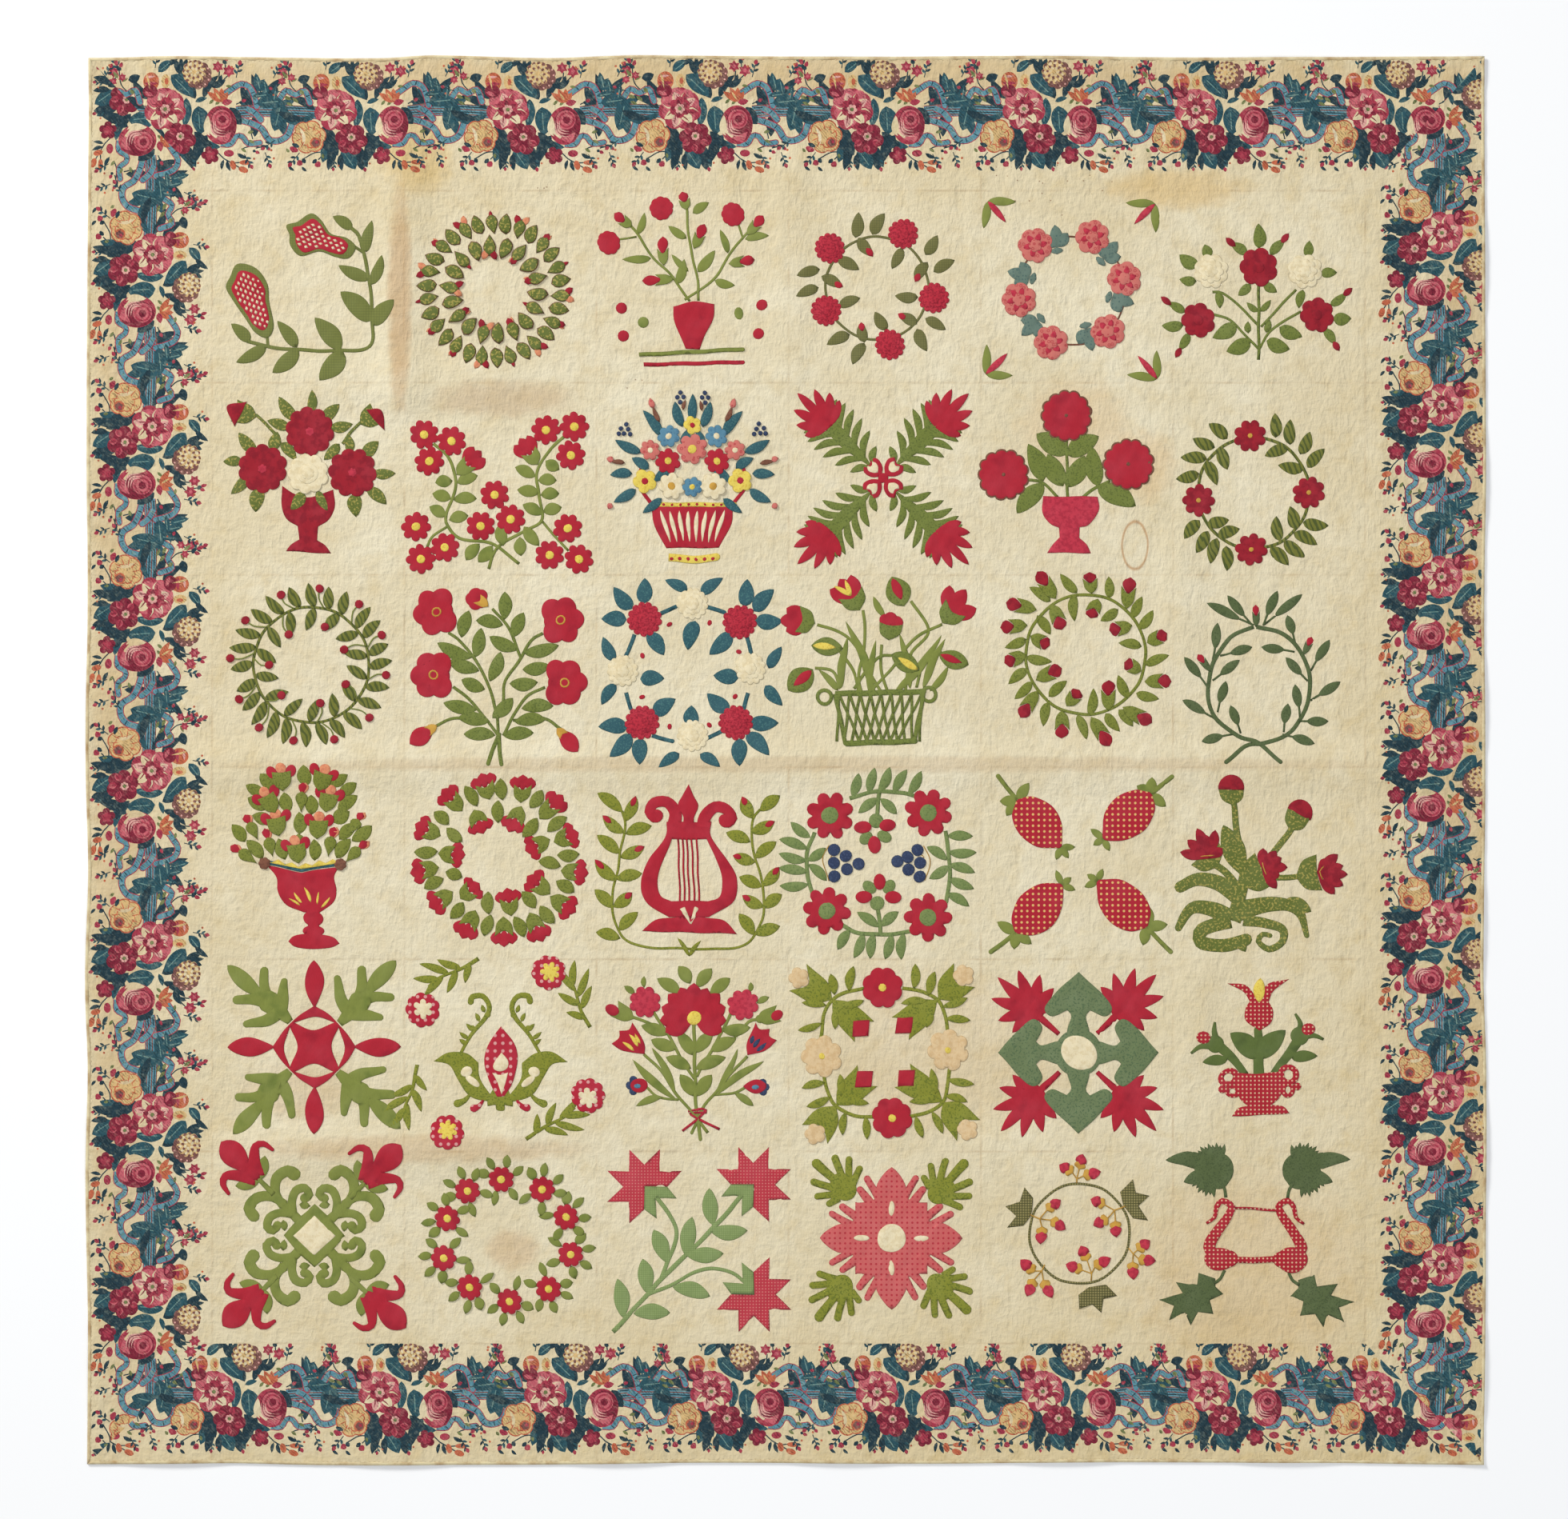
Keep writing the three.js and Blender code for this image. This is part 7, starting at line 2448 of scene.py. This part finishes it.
# %% Strawberry ring
def strawberry_ring(b):
    """A thin ring with six groups of three strawberries, and three leaves of checked cloth."""
    b.sew("plaid_olive", round_ring(5 + 27j, 97, 5))
    b.sew("plaid_olive", np.array([90 + 82j, 84 + 108j, 108 + 132j, 114 + 106j, 140 + 100j, 120 + 80j,
        137 + 53j, 108 + 56j]), np.array([-86 + 72j, -85 + 96j, -102 + 116j, -110 + 88j, -138 + 80j,
        -118 + 60j, -135 + 38j, -104 + 42j, -90 + 60j]), np.array([24 - 76j, 56 - 72j, 78 - 94j, 52 - 100j,
        47 - 127j, 30 - 110j, 4 - 119j, 4 - 92j]))
    for knot, foot, berries in (
            (133j, 125j, (-10 + 146j, -35 + 161j, 4 + 154j, 12 + 181j, 14 + 140j, 46 + 147j)),
            (-72 + 56j, -96 + 66j, (-56 + 74j, -32 + 92j, -48 + 52j, -22 + 35j, -68 + 38j, -70 + 6j)),
            (72 + 73j, 98 + 82j, (52 + 83j, 26 + 94j, 58 + 56j, 32 + 42j, 74 + 50j, 77 + 20j)),
            (108 - 12j, 98 + 0j, (118 - 3j, 142 + 15j, 120 - 22j, 152 - 26j, 108 - 30j, 110 - 62j)),
            (28 - 50j, 27 - 64j, (20 - 24j, 7 + 3j, 8 - 44j, -22 - 32j, 36 - 36j, 66 - 20j)),
            (-68 - 46j, -63 - 34j, (-84 - 46j, -110 - 23j, -83 - 64j, -98 - 95j, -64 - 66j, -48 - 97j))):
        ends = list(zip(berries[::2], berries[1::2]))
        b.sew("gold", [stem(2.6, foot, knot)] + [stem(2.4, knot, base) for base, tip in ends] + [
            leaf(base - (tip - base) * 0.1, base * 0.45 + tip * 0.55, 23, belly=0.4) for base, tip in ends])
        b.sew("rose_red", [leaf(base * 0.78 + tip * 0.22, tip, 23, belly=0.36) for base, tip in ends])


sew_block(strawberry_ring, 6, 5)

# %% Swan lyre
def swan_lyre(b):
    """A dotted red frame with swans' necks, under two fringed leaves and over two maple leaves."""
    at = -106 + 150j
    wing = [disc(at, 38, 35), disc(at + 6 - 14j, 24), leaf(at - 8, at - 94 + 20j, 30, bend=-0.12),
            leaf(at - 10 - 4j, at - 60 - 24j, 26)] + [
        leaf(at + polar(24, turn), at + polar(54 - 4 * (turn % 2), turn + 10), 10, belly=0.4)
        for turn in [*range(58, 134, 9), *range(206, 268, 9)]]
    b.sew("spruce", wing, [-43 - part.conj() for part in wing])
    for foot, turn in ((-100 - 66j, 208), (52 - 70j, -28)):
        aim, flip = polar(1, turn), turn > 90
        points = np.array([0 + 8j, 24 + 32j, 38 + 14j, 72 + 38j, 70 + 12j, 116 + 22j, 96 - 2j, 118 - 22j,
            84 - 24j, 86 - 50j, 60 - 34j, 36 - 52j, 30 - 24j, 2 - 26j, 8 - 6j])
        b.sew("spruce", foot + (points.conj() if flip else points) * aim)
    b.sew("spruce", stem(6, -84 + 97j, -88 + 116j, -100 + 132j), stem(6, 36 + 95j, 40 + 112j, 50 + 128j),
        stem(6, -86 - 44j, -94 - 60j, -106 - 68j), stem(6, 38 - 48j, 44 - 62j, 58 - 73j))
    neck = stem(26, 48 - 16j, 62 + 0j, 46 + 32j, 26 + 60j, 18 + 80j, 36 + 90j, 47 + 78j, 52 + 58j, 68 + 46j,
        end=5)
    b.sew("dotted_red", neck, -54 - neck.conj(), disc(45 - 24j, 30, 25), disc(26 - 24j, 18, 16),
        disc(-96 - 22j, 30, 22), disc(-80 - 22j, 20, 17), stem(12, -70 - 25j, 24 - 23j),
        stem(5, -66 + 77j, 18 + 72j))


sew_block(swan_lyre, 6, 6)

# %% [markdown]
# ## Hem stitches
# The binding is held down by a row of small stitches on its inner side. Anything that repeats like this is
# work for Geometry Nodes: the tree gets a line, spaces places along it, and lays a thin bead of thread at
# each, turned with the line and a little out of true. The same tree sews all four sides.


# %% The stitching tree
def stitching_tree():
    """Beads of thread along a line, with their spacing, length, thickness, seed and thread as inputs."""
    tree = bpy.data.node_groups.new("hem_stitches", "GeometryNodeTree")
    tree.interface.new_socket("Line", in_out="INPUT", socket_type="NodeSocketGeometry")
    for name, kind in (("Spacing", "Float"), ("Length", "Float"), ("Thickness", "Float"), ("Seed", "Int"),
                       ("Thread", "Material")):
        tree.interface.new_socket(name, in_out="INPUT", socket_type="NodeSocket" + kind)
    tree.interface.new_socket("Stitches", in_out="OUTPUT", socket_type="NodeSocketGeometry")
    given = tree.nodes.new("NodeGroupInput").outputs

    def node(kind, settings=None, **inputs):
        added = tree.nodes.new(kind)
        for name, value in (settings or {}).items():
            setattr(added, name, value)
        for name, value in inputs.items():
            socket = added.inputs[name.replace("_", " ")]
            if isinstance(value, bpy.types.NodeSocket):
                tree.links.new(value, socket)
            else:
                socket.default_value = value
        return added.outputs[0]

    line = node("GeometryNodeMeshToCurve", Mesh=given["Line"])
    spaced = node("GeometryNodeResampleCurve", {"mode": "LENGTH"}, Curve=line, Length=given["Spacing"])
    bead = node("GeometryNodeMeshUVSphere", Segments=5, Rings=3, Radius=0.5)
    along = node("FunctionNodeAlignRotationToVector", {"axis": "X"}, Vector=node("GeometryNodeInputTangent"))
    astray = tree.nodes.new("FunctionNodeRandomValue")
    astray.data_type = "FLOAT_VECTOR"
    for name, value in (("Min", (0, 0, -0.35)), ("Max", (0, 0, 0.35))):
        limit = next(socket for socket in astray.inputs if socket.name == name and socket.type == "VECTOR")
        limit.default_value = value
    tree.links.new(given["Seed"], astray.inputs["Seed"])
    turned = node("FunctionNodeRotateRotation", Rotation=along, Rotate_By=astray.outputs[0])
    size = node("ShaderNodeCombineXYZ", X=given["Length"], Y=given["Thickness"], Z=given["Thickness"])
    sewn = node("GeometryNodeInstanceOnPoints", Points=spaced, Instance=bead, Rotation=turned, Scale=size)
    whole = node("GeometryNodeRealizeInstances", Geometry=sewn)
    dressed = node("GeometryNodeSetMaterial", Geometry=whole, Material=given["Thread"])
    tree.links.new(dressed, tree.nodes.new("NodeGroupOutput").inputs[0])
    return tree


stitching = stitching_tree()
print("the stitching tree has", len(stitching.nodes), "nodes")


# %% Sewing the four sides
HEM = {"inwards": 7.6, "Spacing": 9.0, "Length": 4.2, "Thickness": 0.7}
HEM_SHARES = np.linspace(0.003, 0.997, 300)  # of the side, where its line has a place


def thread_finish():
    """Waxed cotton thread, a little darker than the cloth."""
    material, shader, place = start_finish("cream_thread")
    end_finish(shader, place.noise(5).between(tone(206, 188, 146), tone(166, 142, 102)),
               place.wave(0.5, "X") * 0.1, 0.3)
    return material


cream_thread = thread_finish()


def hem_line(side):
    """The line on which one side's stitches lie, as a chain of edges."""
    start, end = along_side(side, HEM["inwards"])
    flat = start + (end - start) * HEM_SHARES
    x, y = on_quilt(flat.real, flat.imag)
    places = np.column_stack([x, y, top_of(x, y) + 0.1]) * MM
    mesh = bpy.data.meshes.new(f"hem_{side}")
    mesh.from_pydata(places.tolist(), [(k, k + 1) for k in range(len(flat) - 1)], [])
    line = bpy.data.objects.new(f"hem_{side}", mesh)
    bpy.context.collection.objects.link(line)
    return line


def hem_stitches(side, seed):
    """The stitches that hold one side's binding down."""
    line = hem_line(side)
    sewing = line.modifiers.new("sewing", "NODES")
    sewing.node_group = stitching
    values = {name: HEM[name] * MM for name in ("Spacing", "Length", "Thickness")}
    values.update(Seed=seed, Thread=cream_thread)
    for socket in stitching.interface.items_tree:
        if socket.name in values:
            sewing[socket.identifier] = values[socket.name]
    bpy.context.view_layer.update()
    sewn = bpy.data.meshes.new_from_object(line.evaluated_get(bpy.context.evaluated_depsgraph_get()))
    line.modifiers.remove(sewing)
    line.data = sewn
    sewn.polygons.foreach_set("use_smooth", np.ones(len(sewn.polygons), bool))
    line.name = f"hem_stitches_{side}"
    return line


hems = {side: hem_stitches(side, seed) for seed, side in enumerate(STRIPS, 3)}
print("hem stitches:", {side: len(hem.data.polygons) for side, hem in hems.items()}, "faces")

# %% [markdown]
# ## Camera, light and floor
# The photograph looks straight down on the quilt from far off, so a long lens hangs over its middle. The
# light comes from the upper left, large and soft, so that only the lower and right edges throw a shadow.

# %% Camera and light
EYE = (-3.4 * MM, 1.7 * MM, 7.17)
camera_data = bpy.data.cameras.new("eye")
camera_data.lens, camera_data.sensor_width = 85, 36
camera = bpy.data.objects.new("eye", camera_data)
camera.location = EYE
bpy.context.collection.objects.link(camera)
bpy.context.scene.camera = camera
bpy.context.scene.view_settings.view_transform = "Standard"


def area_light(name, place, size, power, colour):
    """A square of soft light that faces the quilt's middle."""
    data = bpy.data.lights.new(name, "AREA")
    data.shape, data.size, data.energy, data.color = "SQUARE", size, power, colour
    light = bpy.data.objects.new(name, data)
    light.location = place
    light.rotation_euler = (-light.location).to_track_quat("-Z", "Y").to_euler()
    bpy.context.collection.objects.link(light)


area_light("window", place=(-9.0, 9.5, 6.6), size=3.6, power=1900, colour=(1.0, 0.985, 0.95))
area_light("ceiling", place=(1.5, -1.5, 7.4), size=5.0, power=210, colour=(0.97, 0.985, 1.0))
world = bpy.data.worlds.new("room")
world.use_nodes = True
world.node_tree.nodes["Background"].inputs["Color"].default_value = (0.92, 0.95, 1.0, 1.0)
world.node_tree.nodes["Background"].inputs["Strength"].default_value = 0.42
bpy.context.scene.world = world

print("camera", tuple(round(c, 3) for c in camera.location))

# %% Floor
FLOOR_DROP = 0.0004
floor_mesh = bpy.data.meshes.new("floor")
reach = 9.0
floor_mesh.from_pydata([(-reach, -reach, 0), (reach, -reach, 0), (reach, reach, 0), (-reach, reach, 0)], [],
                       [(0, 1, 2, 3)])
floor = bpy.data.objects.new("floor", floor_mesh)
floor.location.z = -FLOOR_DROP
bpy.context.collection.objects.link(floor)
paper = bpy.data.materials.new("white_paper")
paper.use_nodes = True
paper.node_tree.nodes["Principled BSDF"].inputs["Base Color"].default_value = (0.93, 0.93, 0.93, 1.0)
paper.node_tree.nodes["Principled BSDF"].inputs["Roughness"].default_value = 0.9
floor_mesh.materials.append(paper)
print("the floor is", 2 * reach, "m wide")

# %% [markdown]
# ## Handing the pieces over
# Each piece rides on the quilt's one body, and stands for the plain solid that it dresses. What is sewn
# to the cloth goes with it.

# %% Riding and replacing
print(len(applique), "blocks sewn,", sum(len(piece.data.polygons) for piece in applique.values()),
      "triangles")

for row, strip in enumerate(ground_rows, 1):
    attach(strip, "root")
    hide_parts("album_field")
    sewn = [piece for (at_row, _), piece in applique.items() if at_row == row]
    for piece in sewn:
        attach(piece, "root")

for side, strip in border_strips.items():
    for piece, node, slot in ((strip, "border_", "chintz"),
                              (binding_strips[side], "binding_", "binding_cotton")):
        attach(piece, "root")
        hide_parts(node + side)
    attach(hems[side], "root")
